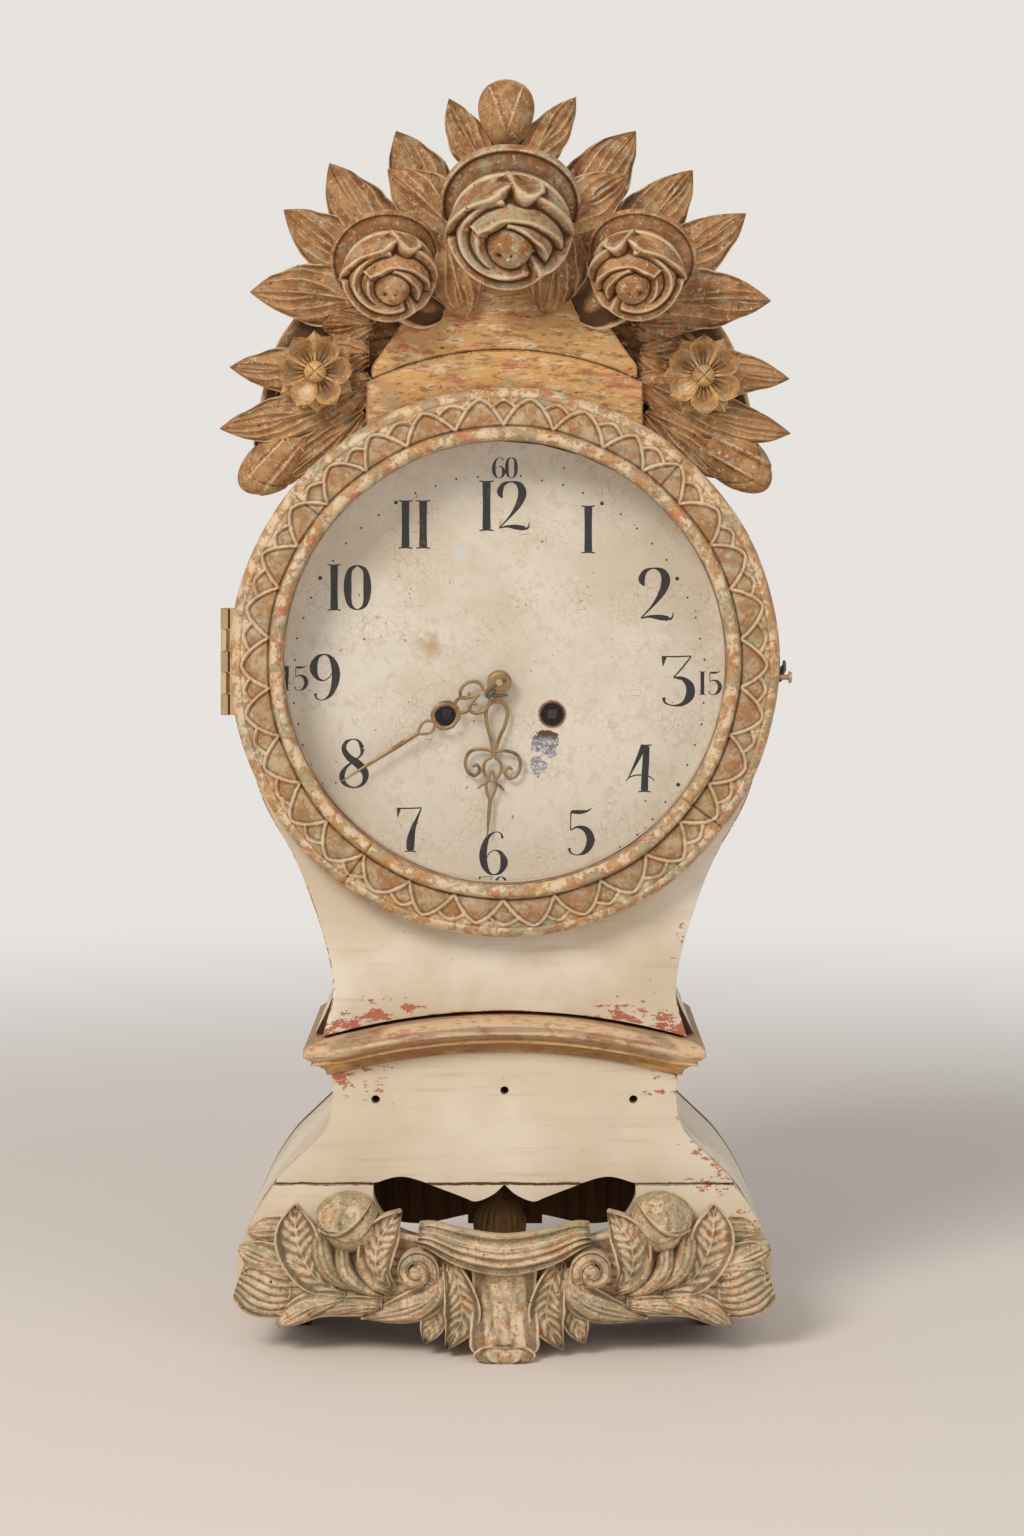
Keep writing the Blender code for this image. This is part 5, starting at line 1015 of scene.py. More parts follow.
class CLOCK_OT_bezel(bpy.types.Operator):
    """Make the carved bezel, its glass and the bead behind the glass"""

    bl_idname = "clock.bezel"
    bl_label = "Bezel door"
    lobes = 30
    band = (0.1312, 0.1472)
    cracks = (41.4, 127.0, 216.2, 308.5)

    def execute(self, context):
        low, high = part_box("bezel")
        clear_selection()
        bpy.ops.mesh.primitive_grid_add(x_subdivisions=1170, y_subdivisions=82, size=1.0, calc_uvs=False)
        piece = bpy.context.object
        places = read_places(piece)
        angle = math.tau * (places[:, 0] + 0.5)
        swing = (places[:, 1] + 0.5) % 1.0
        radius, rise = self.section(swing, low[1], high[1])
        relief, fillet = self.carving(angle, radius)
        relief = np.where(rise > 0.004, relief, 0.0) - self.joints(angle) * (rise > 0.002)
        wobble = 0.0003 * np.sin(5 * angle + 1.0) + 0.0002 * np.sin(13 * angle)
        write_places(piece, HEAD[0] + (radius + wobble) * np.sin(angle), high[1] - rise - relief,
                     HEAD[1] + (radius + wobble) * np.cos(angle))
        layer = piece.data.attributes.new("fillet", "FLOAT", "POINT")
        layer.data.foreach_set("value", np.where(rise > 0.004, fillet, 0.0).astype(np.float32))
        edit_all(piece, MERGE)
        settle_carving([piece], "bezel_carved", "door", material("bezel_paint"), ("bezel",))
        repaint("door_glass", "door_glass")
        self.bead()
        return {"FINISHED"}

    def bead(self):
        """Bead that holds the glass from behind."""
        low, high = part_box("glazing_bead")
        wide = 0.0038
        outer = (high[0] - low[0]) / 2 - 0.0001
        y = (low[1] + high[1]) / 2
        piece = join([turned_ring(HEAD, outer - wide / 2, wide / 2, y, (high[1] - low[1]) / 2, 200, 0.6)],
                     "glazing_bead_turned")
        face_outwards(piece)
        settle(piece, "door", material("bare_wood"), ("glazing_bead",))

    def section(self, swing, front, back):
        """Radius and height of the turned section: rim, carved band, groove, inner bead and flat back."""
        full = back - front
        rows = (
            (0.1530, 0.0), (0.1530, full * 0.30), (0.1527, full * 0.50), (0.1516, full * 0.64),
            (0.1500, full * 0.72), (0.1482, full * 0.76), (0.1472, full * 0.76), (0.1440, full * 0.80),
            (0.1400, full * 0.84), (0.1360, full * 0.86), (0.1320, full * 0.86), (0.1310, full * 0.80),
            (0.1304, full * 0.80), (0.1300, full * 0.90), (0.1286, full * 0.99), (0.1266, full),
            (0.1246, full * 0.98), (0.1232, full * 0.88), (0.1228, full * 0.72), (0.1228, full * 0.40),
        )
        rows = np.array(rows)
        lengths = np.concatenate(((0.0,), np.cumsum(np.hypot(*np.diff(rows, axis=0).T))))
        front_share = 0.93
        inner, outer = 0.1274, 0.1530
        stops = (0.0, lengths[6], lengths[10], lengths[-1])
        along = np.interp(swing / front_share, (0.0, 0.20, 0.72, 1.0), stops)
        radius = np.interp(along, lengths, rows[:, 0])
        rise = np.interp(along, lengths, rows[:, 1])
        behind = swing > front_share
        share = (swing - front_share) / (1 - front_share)
        radius = np.where(behind, inner + (outer - inner) * share, radius)
        rise = np.where(behind, 0.0, rise)
        return radius, rise

    def carving(self, angle, radius):
        """Relief of the band, pointed arches with a second row behind, and a mark for their paint.

        The mark is 1 on the fillets and -0.5 in the fields.
        """
        inner, outer = self.band
        up = (radius - inner) / (outer - inner)
        inside = (up > -0.02) & (up < 1.02)
        place = angle * self.lobes / math.tau
        place = place + 0.03 * np.sin(angle * 11.0) + 0.02 * np.sin(angle * 23.0 + 1.0)
        front = np.abs(place % 1.0 - 0.5) * 2
        rear = np.abs((place + 0.5) % 1.0 - 0.5) * 2
        uneven = 1 + 0.05 * np.sin(2.4 * np.floor(place) + 0.5)
        arch = 0.96 * uneven * (1 - front**1.5) ** 0.85 - 0.05
        hind = 0.88 * (1 - rear**1.6) ** 0.85
        pitch = math.tau * (inner + outer) / 2 / self.lobes
        steep = 1.22 * front**0.5 * (outer - inner) / pitch * 2 / np.maximum(1 - front**1.5, 0.03) ** 0.15
        fillet = bump_at((up - arch) / np.hypot(1.0, steep), 0.044)
        field = np.clip((arch - up) * 9, 0.0, 1.0)
        behind = (1 - field) * np.clip((hind - up) * 9, 0.0, 1.0)
        hind_steep = 1.22 * rear**0.5 * (outer - inner) / pitch * 2
        hind_fillet = bump_at((up - hind) / np.hypot(1.0, hind_steep), 0.042)
        hind_fillet = hind_fillet * np.clip((up - arch) * 8 - 0.2, 0.0, 1.0)
        swell = field * bump_at(front - 0.12, 0.42) * np.clip((arch - up) * 2.2, 0.0, 1.0)
        sunk = np.maximum(field, behind)
        relief = 0.0016 * fillet + 0.0011 * hind_fillet - 0.0012 * sunk + 0.0011 * swell - 0.0006
        lines = np.maximum(fillet, 0.65 * hind_fillet) - 0.5 * sunk * (1 - fillet) * (1 - hind_fillet)
        return np.where(inside, relief, 0.0), np.where(inside, lines, 0.0)

    def joints(self, angle):
        """Open joints between the segments that the bezel is built from."""
        depth = np.zeros_like(angle)
        for degrees in self.cracks:
            apart = (angle - math.radians(degrees) + math.pi) % math.tau - math.pi
            depth += 0.0016 * bump_at(apart, 0.0036)
        return depth


def repaint(node, paint):
    """Give a CAD node that stays in view its finish."""
    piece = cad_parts[node]
    if not piece.material_slots:
        piece.data.materials.append(material(paint))
    for slot in piece.material_slots:
        slot.material = material(paint)


# Numerals as brush strokes of (x, z, half width), one unit high
GLYPHS = {
    "0": (((0.29, 0.985, 0.014), (0.12, 0.86, 0.055), (0.075, 0.50, 0.088), (0.12, 0.14, 0.055),
           (0.29, 0.015, 0.014), (0.46, 0.14, 0.055), (0.505, 0.50, 0.088), (0.46, 0.86, 0.055),
           (0.29, 0.985, 0.014)),),
    "1": (((0.15, 0.02, 0.085), (0.15, 0.35, 0.078), (0.15, 0.65, 0.078), (0.15, 0.98, 0.085)),
          ((0.0, 1.0, 0.012), (0.15, 0.98, 0.020), (0.30, 1.0, 0.012)),
          ((0.0, 0.0, 0.012), (0.15, 0.02, 0.020), (0.30, 0.0, 0.012))),
    "2": (((0.10, 0.66, 0.020), (0.05, 0.78, 0.062), (0.12, 0.93, 0.040), (0.28, 0.985, 0.014),
           (0.44, 0.92, 0.060), (0.50, 0.75, 0.085), (0.42, 0.52, 0.060), (0.24, 0.27, 0.022),
           (0.03, 0.05, 0.012)),
          ((0.03, 0.05, 0.012), (0.20, 0.085, 0.024), (0.38, 0.070, 0.050), (0.56, 0.045, 0.045)),
          ((0.56, 0.03, 0.030), (0.62, 0.07, 0.016), (0.64, 0.17, 0.008))),
    "3": (((0.02, 0.975, 0.012), (0.30, 0.975, 0.014), (0.60, 0.985, 0.012)),
          ((0.06, 0.985, 0.055), (0.045, 0.90, 0.034), (0.03, 0.78, 0.006)),
          ((0.59, 0.98, 0.014), (0.42, 0.76, 0.016), (0.24, 0.56, 0.014)),
          ((0.24, 0.56, 0.014), (0.42, 0.54, 0.040), (0.56, 0.40, 0.080), (0.56, 0.20, 0.085),
           (0.42, 0.04, 0.040), (0.22, 0.01, 0.014), (0.07, 0.07, 0.020), (0.05, 0.17, 0.038))),
    "4": (((0.44, 0.98, 0.070), (0.43, 0.65, 0.072), (0.41, 0.35, 0.074), (0.40, 0.02, 0.078)),
          ((0.38, 0.98, 0.060), (0.27, 0.72, 0.044), (0.15, 0.48, 0.024), (0.06, 0.30, 0.010)),
          ((0.01, 0.22, 0.010), (0.08, 0.31, 0.013), (0.26, 0.36, 0.014), (0.48, 0.34, 0.014),
           (0.62, 0.24, 0.010)),
          ((0.26, 0.0, 0.012), (0.40, 0.02, 0.018), (0.54, 0.0, 0.012)),
          ((0.32, 1.0, 0.012), (0.44, 0.985, 0.018), (0.56, 1.0, 0.012))),
    "5": (((0.10, 0.955, 0.034), (0.28, 0.945, 0.046), (0.44, 0.965, 0.026), (0.56, 1.03, 0.006)),
          ((0.10, 0.96, 0.016), (0.095, 0.76, 0.013), (0.09, 0.54, 0.013)),
          ((0.09, 0.55, 0.012), (0.26, 0.62, 0.028), (0.45, 0.54, 0.072), (0.53, 0.33, 0.088),
           (0.44, 0.11, 0.062), (0.27, 0.01, 0.015), (0.10, 0.05, 0.018), (0.06, 0.16, 0.034))),
    "6": (((0.50, 0.84, 0.034), (0.47, 0.95, 0.016), (0.33, 0.985, 0.012), (0.16, 0.85, 0.046),
           (0.065, 0.55, 0.085), (0.08, 0.27, 0.082), (0.18, 0.07, 0.040), (0.31, 0.012, 0.014),
           (0.46, 0.08, 0.045), (0.54, 0.29, 0.086), (0.47, 0.50, 0.045), (0.33, 0.57, 0.014),
           (0.20, 0.50, 0.012), (0.15, 0.40, 0.008)),),
    "7": (((0.02, 0.972, 0.014), (0.30, 0.972, 0.016), (0.57, 0.985, 0.014)),
          ((0.06, 0.985, 0.052), (0.045, 0.90, 0.032), (0.03, 0.77, 0.006)),
          ((0.56, 0.975, 0.014), (0.46, 0.74, 0.030), (0.37, 0.50, 0.060), (0.32, 0.26, 0.090),
           (0.31, 0.03, 0.085)),
          ((0.18, 0.0, 0.012), (0.31, 0.02, 0.018), (0.44, 0.0, 0.012))),
    "8": (((0.47, 0.80, 0.050), (0.40, 0.94, 0.026), (0.28, 0.985, 0.012), (0.14, 0.92, 0.036),
           (0.10, 0.78, 0.052), (0.20, 0.62, 0.066), (0.40, 0.47, 0.082), (0.53, 0.29, 0.070),
           (0.48, 0.09, 0.036), (0.30, 0.012, 0.014), (0.11, 0.09, 0.040), (0.06, 0.26, 0.056),
           (0.15, 0.43, 0.030), (0.34, 0.57, 0.016), (0.45, 0.68, 0.026), (0.47, 0.80, 0.050)),),
}
GLYPHS["9"] = tuple(tuple((0.60 - x, 1.0 - z, half) for x, z, half in line) for line in GLYPHS["6"])

# Each number on the dial, its place from the middle of the dial, and its height as a share of the setting
HOURS = (
    ("12", 0.0028, 0.0990, 1.0), ("1", 0.0502, 0.0857, 0.95), ("2", 0.0885, 0.0491, 1.08),
    ("3", 0.1000, 0.0004, 1.02), ("4", 0.0795, -0.0491, 0.95), ("5", 0.0451, -0.0852, 0.92),
    ("6", -0.0039, -0.0970, 0.88), ("7", -0.0508, -0.0835, 0.90), ("8", -0.0829, -0.0462, 1.0),
    ("9", -0.0993, 0.0023, 0.94), ("10", -0.0857, 0.0530, 0.92), ("11", -0.0479, 0.0885, 0.96),
)
MINUTES = (("60", 0.0028, 0.1205, 0.95), ("15", 0.1187, -0.0010, 1.05), ("30", -0.0039, -0.1165, 1.05),
           ("45", -0.1170, 0.0017, 1.1))


class CLOCK_OT_numerals(bpy.types.Operator):
    """Paint the hour numerals, the minute numbers and the dots on the dial"""

    bl_idname = "clock.numerals"
    bl_label = "Dial and numerals"

    def execute(self, context):
        repaint("dial", "dial_paint")
        setting = sizes()
        skin = DIAL_FRONT - setting.paint * 0.4
        lines = []
        for numbers, height in ((HOURS, setting.numeral), (MINUTES, setting.minute_number)):
            for text, across, up, share in numbers:
                place = (DIAL[0] + across, DIAL[1] + up)
                lines += self.written(text, place, height * share, skin)
        self.settle_paint(lines, "dial_numerals")
        dots = []
        for minute in range(60):
            if minute % 15 == 0:
                continue
            angle = math.tau * minute / 60
            reach = setting.dot_ring + 0.0004 * math.sin(minute * 2.3)
            spot = (DIAL[0] + reach * math.sin(angle), DIAL[1] + reach * math.cos(angle))
            radius = 0.00115 if minute % 5 == 0 else 0.00062
            dots.append(self.dot(spot, radius, skin, setting.paint))
        self.settle_paint(dots, "dial_minute_dots")
        return {"FINISHED"}

    def settle_paint(self, pieces, name):
        """Join the strokes and let them ride on the case."""
        piece = join(pieces, name)
        face_outwards(piece)
        settle(piece, "case", material("numeral_ink"))

    def written(self, text, place, height, y):
        """Strokes of a number, centred on a place."""
        gap = 0.07
        widths = [max(x for line in GLYPHS[sign] for x, _, _ in line) for sign in text]
        start = -(sum(widths) + gap * (len(text) - 1)) / 2
        lines = []
        for sign, width in zip(text, widths):
            for line in GLYPHS[sign]:
                points = [(place[0] + (start + x) * height, place[1] + (z - 0.5) * height, half * height)
                          for x, z, half in line]
                lines.append(stroke(points, y, sizes().paint, 8 * len(line), 6))
            start += width + gap
        return lines

    def dot(self, place, radius, y, thick):
        """One dot of paint."""
        clear_selection()
        bpy.ops.mesh.primitive_uv_sphere_add(segments=10, ring_count=4, radius=1.0, calc_uvs=False)
        piece = bpy.context.object
        spots = read_places(piece)
        write_places(piece, place[0] + spots[:, 0] * radius, y + spots[:, 2] * thick / 2,
                     place[1] + spots[:, 1] * radius)
        return piece


# Bars of the hands as (distance from the hub, distance aside, half width)
HOUR_BARS = (
    ((0.0, 0.0, 0.0034), (0.006, 0.0, 0.0032), (0.010, 0.0, 0.0022), (0.0125, 0.0, 0.0016)),
    ((0.0105, 0.0014, 0.0011), (0.0140, 0.0053, 0.0011), (0.0190, 0.0060, 0.0011), (0.0255, 0.0047, 0.0010),
     (0.0320, 0.0024, 0.0010), (0.0390, 0.0006, 0.0009)),
    ((0.0365, 0.0, 0.0010), (0.0395, 0.0, 0.0019), (0.0425, 0.0, 0.0010)),
    ((0.0395, 0.0, 0.0008), (0.0385, 0.0070, 0.0009), (0.0405, 0.0135, 0.0010), (0.0465, 0.0155, 0.0010),
     (0.0520, 0.0135, 0.0010), (0.0535, 0.0095, 0.0010), (0.0505, 0.0070, 0.0009), (0.0475, 0.0090, 0.0009),
     (0.0490, 0.0112, 0.0007)),
    ((0.0425, 0.0005, 0.0008), (0.0450, 0.0042, 0.0009), (0.0505, 0.0048, 0.0009), (0.0550, 0.0020, 0.0009),
     (0.0570, 0.0012, 0.0008)),
    ((0.0500, 0.0, 0.0008), (0.0560, 0.0026, 0.0009), (0.0610, 0.0024, 0.0008), (0.0665, 0.0004, 0.0008)),
    ((0.0570, 0.0020, 0.0007), (0.0585, 0.0050, 0.0008), (0.0610, 0.0075, 0.0004)),
    ((0.0650, 0.0, 0.0011), (0.0720, 0.0, 0.0011), (0.0800, 0.0, 0.0008), (0.0880, 0.0, 0.0003)),
)
MINUTE_BARS = (
    ((0.0, 0.0, 0.0032), (0.006, 0.0, 0.0026), (0.010, 0.0, 0.0014)),
    ((0.0095, 0.0, 0.0009), (0.0100, 0.0060, 0.0010), (0.0150, 0.0092, 0.0010), (0.0205, 0.0078, 0.0010),
     (0.0225, 0.0040, 0.0009), (0.0195, 0.0020, 0.0009), (0.0172, 0.0042, 0.0008)),
    ((0.0130, 0.0, 0.0008), (0.0180, 0.0012, 0.0009), (0.0235, 0.0042, 0.0009), (0.0275, 0.0030, 0.0009),
     (0.0290, 0.0006, 0.0009)),
    ((0.0285, 0.0, 0.0011), (0.0300, 0.0040, 0.0011), (0.0355, 0.0068, 0.0012), (0.0410, 0.0048, 0.0011),
     (0.0430, 0.0, 0.0011)),
    ((0.0425, 0.0, 0.0009), (0.0455, 0.0030, 0.0008), (0.0490, 0.0032, 0.0008), (0.0540, 0.0004, 0.0008)),
    ((0.0530, 0.0, 0.0013), (0.0640, 0.0, 0.0014), (0.0850, 0.0, 0.0010), (0.1050, 0.0, 0.0003)),
)


class CLOCK_OT_hands(bpy.types.Operator):
    """Make the pierced hands, the collet and the taper pin"""

    bl_idname = "clock.hands"
    bl_label = "Hands"

    def execute(self, context):
        for node, body, angle, bars in (("hour_hand", "hour", 184.4, HOUR_BARS),
                                        ("minute_hand", "minute", 237.8, MINUTE_BARS)):
            low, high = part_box(node)
            y = (low[1] + high[1]) / 2
            pieces = []
            for bar in bars:
                sides = (1, -1) if any(abs(aside) > CLOSE for _, aside, _ in bar) else (1,)
                for side in sides:
                    points = self.turned(bar, side, math.radians(angle))
                    pieces.append(stroke(points, y, sizes().hand, 36, 10))
            radius = 0.0062 if node == "hour_hand" else 0.0050
            pieces.append(turned_ring(DIAL, radius * 0.75, radius * 0.25, y, sizes().hand / 2))
            piece = join(pieces, node + "_pierced")
            face_outwards(piece)
            settle(piece, body, material("hand_metal"), (node,))
        self.collet()
        self.taper_pin()
        return {"FINISHED"}

    def turned(self, bar, side, angle):
        """Points of a bar on the dial, for a hand at this angle from twelve."""
        sine, cosine = math.sin(angle), math.cos(angle)
        points = []
        for along, aside, half in bar:
            x = DIAL[0] + along * sine + side * aside * cosine
            z = DIAL[1] + along * cosine - side * aside * sine
            points.append((x, z, half))
        return points

    def collet(self):
        """Domed washer in front of the hands, with a groove round it."""
        low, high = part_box("hand_collet")
        piece, turn, share = blank("hand_collet_domed", 48, 24)
        radius = (high[0] - low[0]) / 2
        angle = math.tau * turn
        reach = np.clip(np.where(share < 0.6, share / 0.6, (1 - share) / 0.4), 0.0, 1.0)
        thick = high[1] - low[1]
        rise = np.where(share < 0.6, thick * (1 - 0.55 * reach**4), 0.0)
        rise -= np.where(share < 0.6, thick * 0.25 * bump_at(reach - 0.78, 0.06), 0.0)
        write_places(piece, DIAL[0] + radius * reach * np.sin(angle), high[1] - rise,
                     DIAL[1] + radius * reach * np.cos(angle))
        face_outwards(piece)
        settle(piece, "minute", material("hand_metal"), ("hand_collet",))

    def taper_pin(self):
        """Bent wire pin through the centre arbor."""
        low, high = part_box("hand_pin")
        y = (low[1] + high[1]) / 2
        wire = 0.0007
        pieces = [
            stroke(((0.0040, 0.0010, wire), (0.0, 0.0, wire), (-0.0050, -0.0040, wire),
                    (-0.0072, -0.0072, wire), (-0.0060, -0.0080, wire),
                    (-0.0020, -0.0042, wire)), 0.0, wire * 2, 40, 8),
            stroke(((-0.0072, -0.0072, wire), (-0.0010, -0.0076, wire), (0.0050, -0.0070, wire)), 0.0,
                   wire * 2, 24, 8),
        ]
        piece = join(pieces, "hand_pin_bent")
        spots = read_places(piece)
        write_places(piece, DIAL[0] + spots[:, 0], y + spots[:, 1], DIAL[1] + spots[:, 2])
        face_outwards(piece)
        settle(piece, "minute", material("iron_metal"), ("hand_pin",))


class CLOCK_OT_crest_boards(bpy.types.Operator):
    """Make the arch band and the pediment of the crest"""

    bl_idname = "clock.crest_boards"
    bl_label = "Crest boards"

    def execute(self, context):
        for node in ("crest_arch_band", "crest_pediment"):
            piece = board(node, node + "_painted", 0.0011)
            piece.data.materials[0] = material("crest_boards")
            piece.data.materials[1] = material("leaf_paint")
            settle(piece, "case", None, (node,))
        return {"FINISHED"}


# Leaves of the crest from the lowest to the highest: root on the left side, tip on the left, tip on the
# right, half width and depth of the leaf's back behind the case front
WING_LEAVES = (
    ((-0.0880, 0.5345), (-0.1604, 0.5174), (0.1610, 0.5146), 0.0135, 0.0130),
    ((-0.0880, 0.5500), (-0.1548, 0.5521), (0.1604, 0.5454), 0.0135, 0.0150),
    ((-0.0700, 0.5860), (-0.1436, 0.5946), (0.1503, 0.5896), 0.0180, 0.0160),
    ((-0.0660, 0.5960), (-0.1246, 0.6411), (0.1363, 0.6389), 0.0180, 0.0175),
    ((-0.0560, 0.6100), (-0.0988, 0.6674), (0.1061, 0.6635), 0.0185, 0.0190),
    ((-0.0330, 0.6230), (-0.0613, 0.6859), (0.0742, 0.6859), 0.0190, 0.0200),
)
SPRAY_LEAVES = (
    ((-0.0060, 0.6560), (-0.0311, 0.7021), (0.0400, 0.7030), 0.0120, 0.0040),
    ((-0.0200, 0.6180), (-0.0652, 0.6618), (0.0690, 0.6580), 0.0185, -0.0010),
    ((-0.0330, 0.6300), (-0.0205, 0.5790), (0.0227, 0.5800), 0.0190, -0.0014),
)


def crest_leaf(number, root, tip, half, back, thick):
    """One leaf of the crest, a little bowed."""
    root, tip = np.array(root), np.array(tip)
    along = tip - root
    aside = np.array((-along[1], along[0])) * 0.035 * math.sin(number * 1.7)
    spine = (root, root + along * 0.33 + aside, root + along * 0.67 + aside, tip)
    halves = tuple(half * share for share in (0.62, 0.88, 1.0, 0.92, 0.56, 0.02))
    relief = leaf_relief(thick, sizes().stroke_cut, 2.9 + 0.3 * math.sin(number), 3.0, 0.37 * number)
    return carved(spine, halves, relief, FRONT + back, 96, 72, 0.0012 * math.sin(number * 2.1), 0.05, 4)


def pod(centre, half_long, half_short, half_deep, tilt, y, seams, around=110, along=90, blunt=0.0):
    """Carved bud: an ovoid whose long axis is tilted, with raised seams where its petals wrap."""
    piece, turn, share = blank("pod", around, along)
    angle = math.pi * share
    swell = np.sin(angle) * (1 + blunt * np.cos(angle))
    spin = math.tau * turn
    across, out = swell * np.cos(spin), swell * np.sin(spin)
    length_share = -np.cos(angle)
    lift = 1 + seams(across, length_share, out)
    along_axis = half_long * length_share
    across_axis = half_short * across * lift
    cosine, sine = math.cos(tilt), math.sin(tilt)
    write_places(piece, centre[0] + along_axis * cosine - across_axis * sine, y - half_deep * out * lift,
                 centre[1] + along_axis * sine + across_axis * cosine)
    return piece


def no_seams(across, along, out):
    """Plain skin."""
    return np.zeros_like(along)


def bud_seams(across, along, out):
    """Two petals of the top bud that meet in a V over a third one."""
    line = np.abs(across) - 0.42 * (along + 0.62)
    shown = (along > -0.66) * (out > 0)
    ridge = bump_at(line - 0.02, 0.03) * shown
    inner = np.clip(-line * 14, 0.0, 1.0) * shown
    return 0.055 * ridge - 0.045 * inner


def roll_seams(across, along, out):
    """Wrapped leaves of the bud at the foot of a wing."""
    first = across - 0.35 - 0.35 * along
    second = across + 0.30 - 0.25 * along
    third = along - 0.62 + 0.5 * across**2
    step = 0.09 * np.clip(first * 14, 0.0, 1.0) - 0.08 * np.clip(-second * 14, 0.0, 1.0)
    ridges = bump_at(first - 0.05, 0.04) + bump_at(second - 0.05, 0.04) - bump_at(third, 0.04)
    return (step + 0.05 * ridges) * (out > -0.3)


class CLOCK_OT_crest_leaves(bpy.types.Operator):
    """Carve the leaf fans, the rolled buds and the centre spray of the crest"""

    bl_idname = "clock.crest_leaves"
    bl_label = "Crest leaves"

    def execute(self, context):
        for side, sign in (("left", -1), ("right", 1)):
            pieces = [self.backing(sign)]
            for number, (root, left, right, half, back) in enumerate(WING_LEAVES):
                tip = left if sign < 0 else right
                base = (root[0] * -sign, root[1])
                pieces.append(crest_leaf(number + 3 * sign, base, tip, half, back, 0.0105))
            pieces += self.foot_leaves(sign)
            pieces.append(pod((sign * 0.1290, 0.5000), 0.0255, 0.0150, 0.0125,
                              math.radians(-90.0 + sign * 52.0), FRONT + 0.0150, roll_seams))
            settle_carving(pieces, "crest_wing_carved_" + side, "case",
                           material("leaf_paint"), ("crest_wing_" + side,), 0.0006)
        pieces = []
        for sign in (-1, 1):
            for number, (root, left, right, half, back) in enumerate(SPRAY_LEAVES):
                tip = left if sign < 0 else right
                base = (root[0] * -sign, root[1])
                pieces.append(crest_leaf(number + 8 + 3 * sign, base, tip, half, back, 0.0088))
        pieces.append(pod((0.0010, 0.6925), 0.0195, 0.0155, 0.0140, math.pi / 2, FRONT - 0.0040, bud_seams,
                          blunt=-0.20))
        pieces += [self.stem(), self.bridge()]
        settle_carving(pieces, "crest_spray_carved", "case", material("leaf_paint"),
                       ("crest_center_spray",), 0.0006)
        return {"FINISHED"}

    def backing(self, sign):
        """Rough board behind the leaves of one side, standing on the head."""
        centre = np.array(HEAD)
        spine = []
        for degrees in (13.0, 22.0, 31.0, 40.0, 49.0):
            angle = math.radians(degrees)
            reach = 0.1735 + 0.022 * max(1 - abs(degrees - 25.0) / 24.0, 0.0)
            spine.append(centre + reach * np.array((sign * math.sin(angle), math.cos(angle))))
        halves = (0.0210, 0.0400, 0.0360, 0.0240, 0.0130)

        def height(side, share):
            grain = 0.0004 * np.sin(40 * side + 9 * share)
            return 0.0100 + grain

        return carved(spine, halves, height, FRONT + 0.0285, 40, 40)

    def foot_leaves(self, sign):
        """Short grooved leaves that fill the wing between its fan and the head."""
        rows = (
            ((0.0790, 0.5265), (0.1230, 0.4890), 0.0125, 0.0120),
            ((0.0760, 0.5600), (0.1080, 0.5560), 0.0120, 0.0125),
            ((0.0740, 0.5760), (0.1030, 0.5745), 0.0110, 0.0130),
            ((0.0740, 0.5440), (0.1080, 0.5290), 0.0120, 0.0120),
        )
        pieces = []
        for number, (root, tip, half, back) in enumerate(rows):
            start, end = (sign * root[0], root[1]), (sign * tip[0], tip[1])
            pieces.append(crest_leaf(number + 20, start, end, half, back, 0.0100))
        return pieces

    def bridge(self):
        """Rough board behind the roses that closes the crest between the wings."""
        spine = ((-0.0640, 0.6080), (-0.0320, 0.6230), (0.0, 0.6280), (0.0320, 0.6230), (0.0700, 0.6080))
        halves = (0.0140, 0.0240, 0.0260, 0.0240, 0.0140)
        return carved(spine, halves, strand_relief(0.0085, 0.0), FRONT + 0.0090, 32, 32)

    def stem(self):
        """Block behind the centre rose that carries the spray."""
        spine = ((0.0, 0.5960), (0.0, 0.6250), (0.0, 0.6500), (0.0, 0.6760))
        halves = (0.0180, 0.0290, 0.0270, 0.0090)
        return carved(spine, halves, strand_relief(0.0105, 0.0), GLUE_FACE, 32, 24)


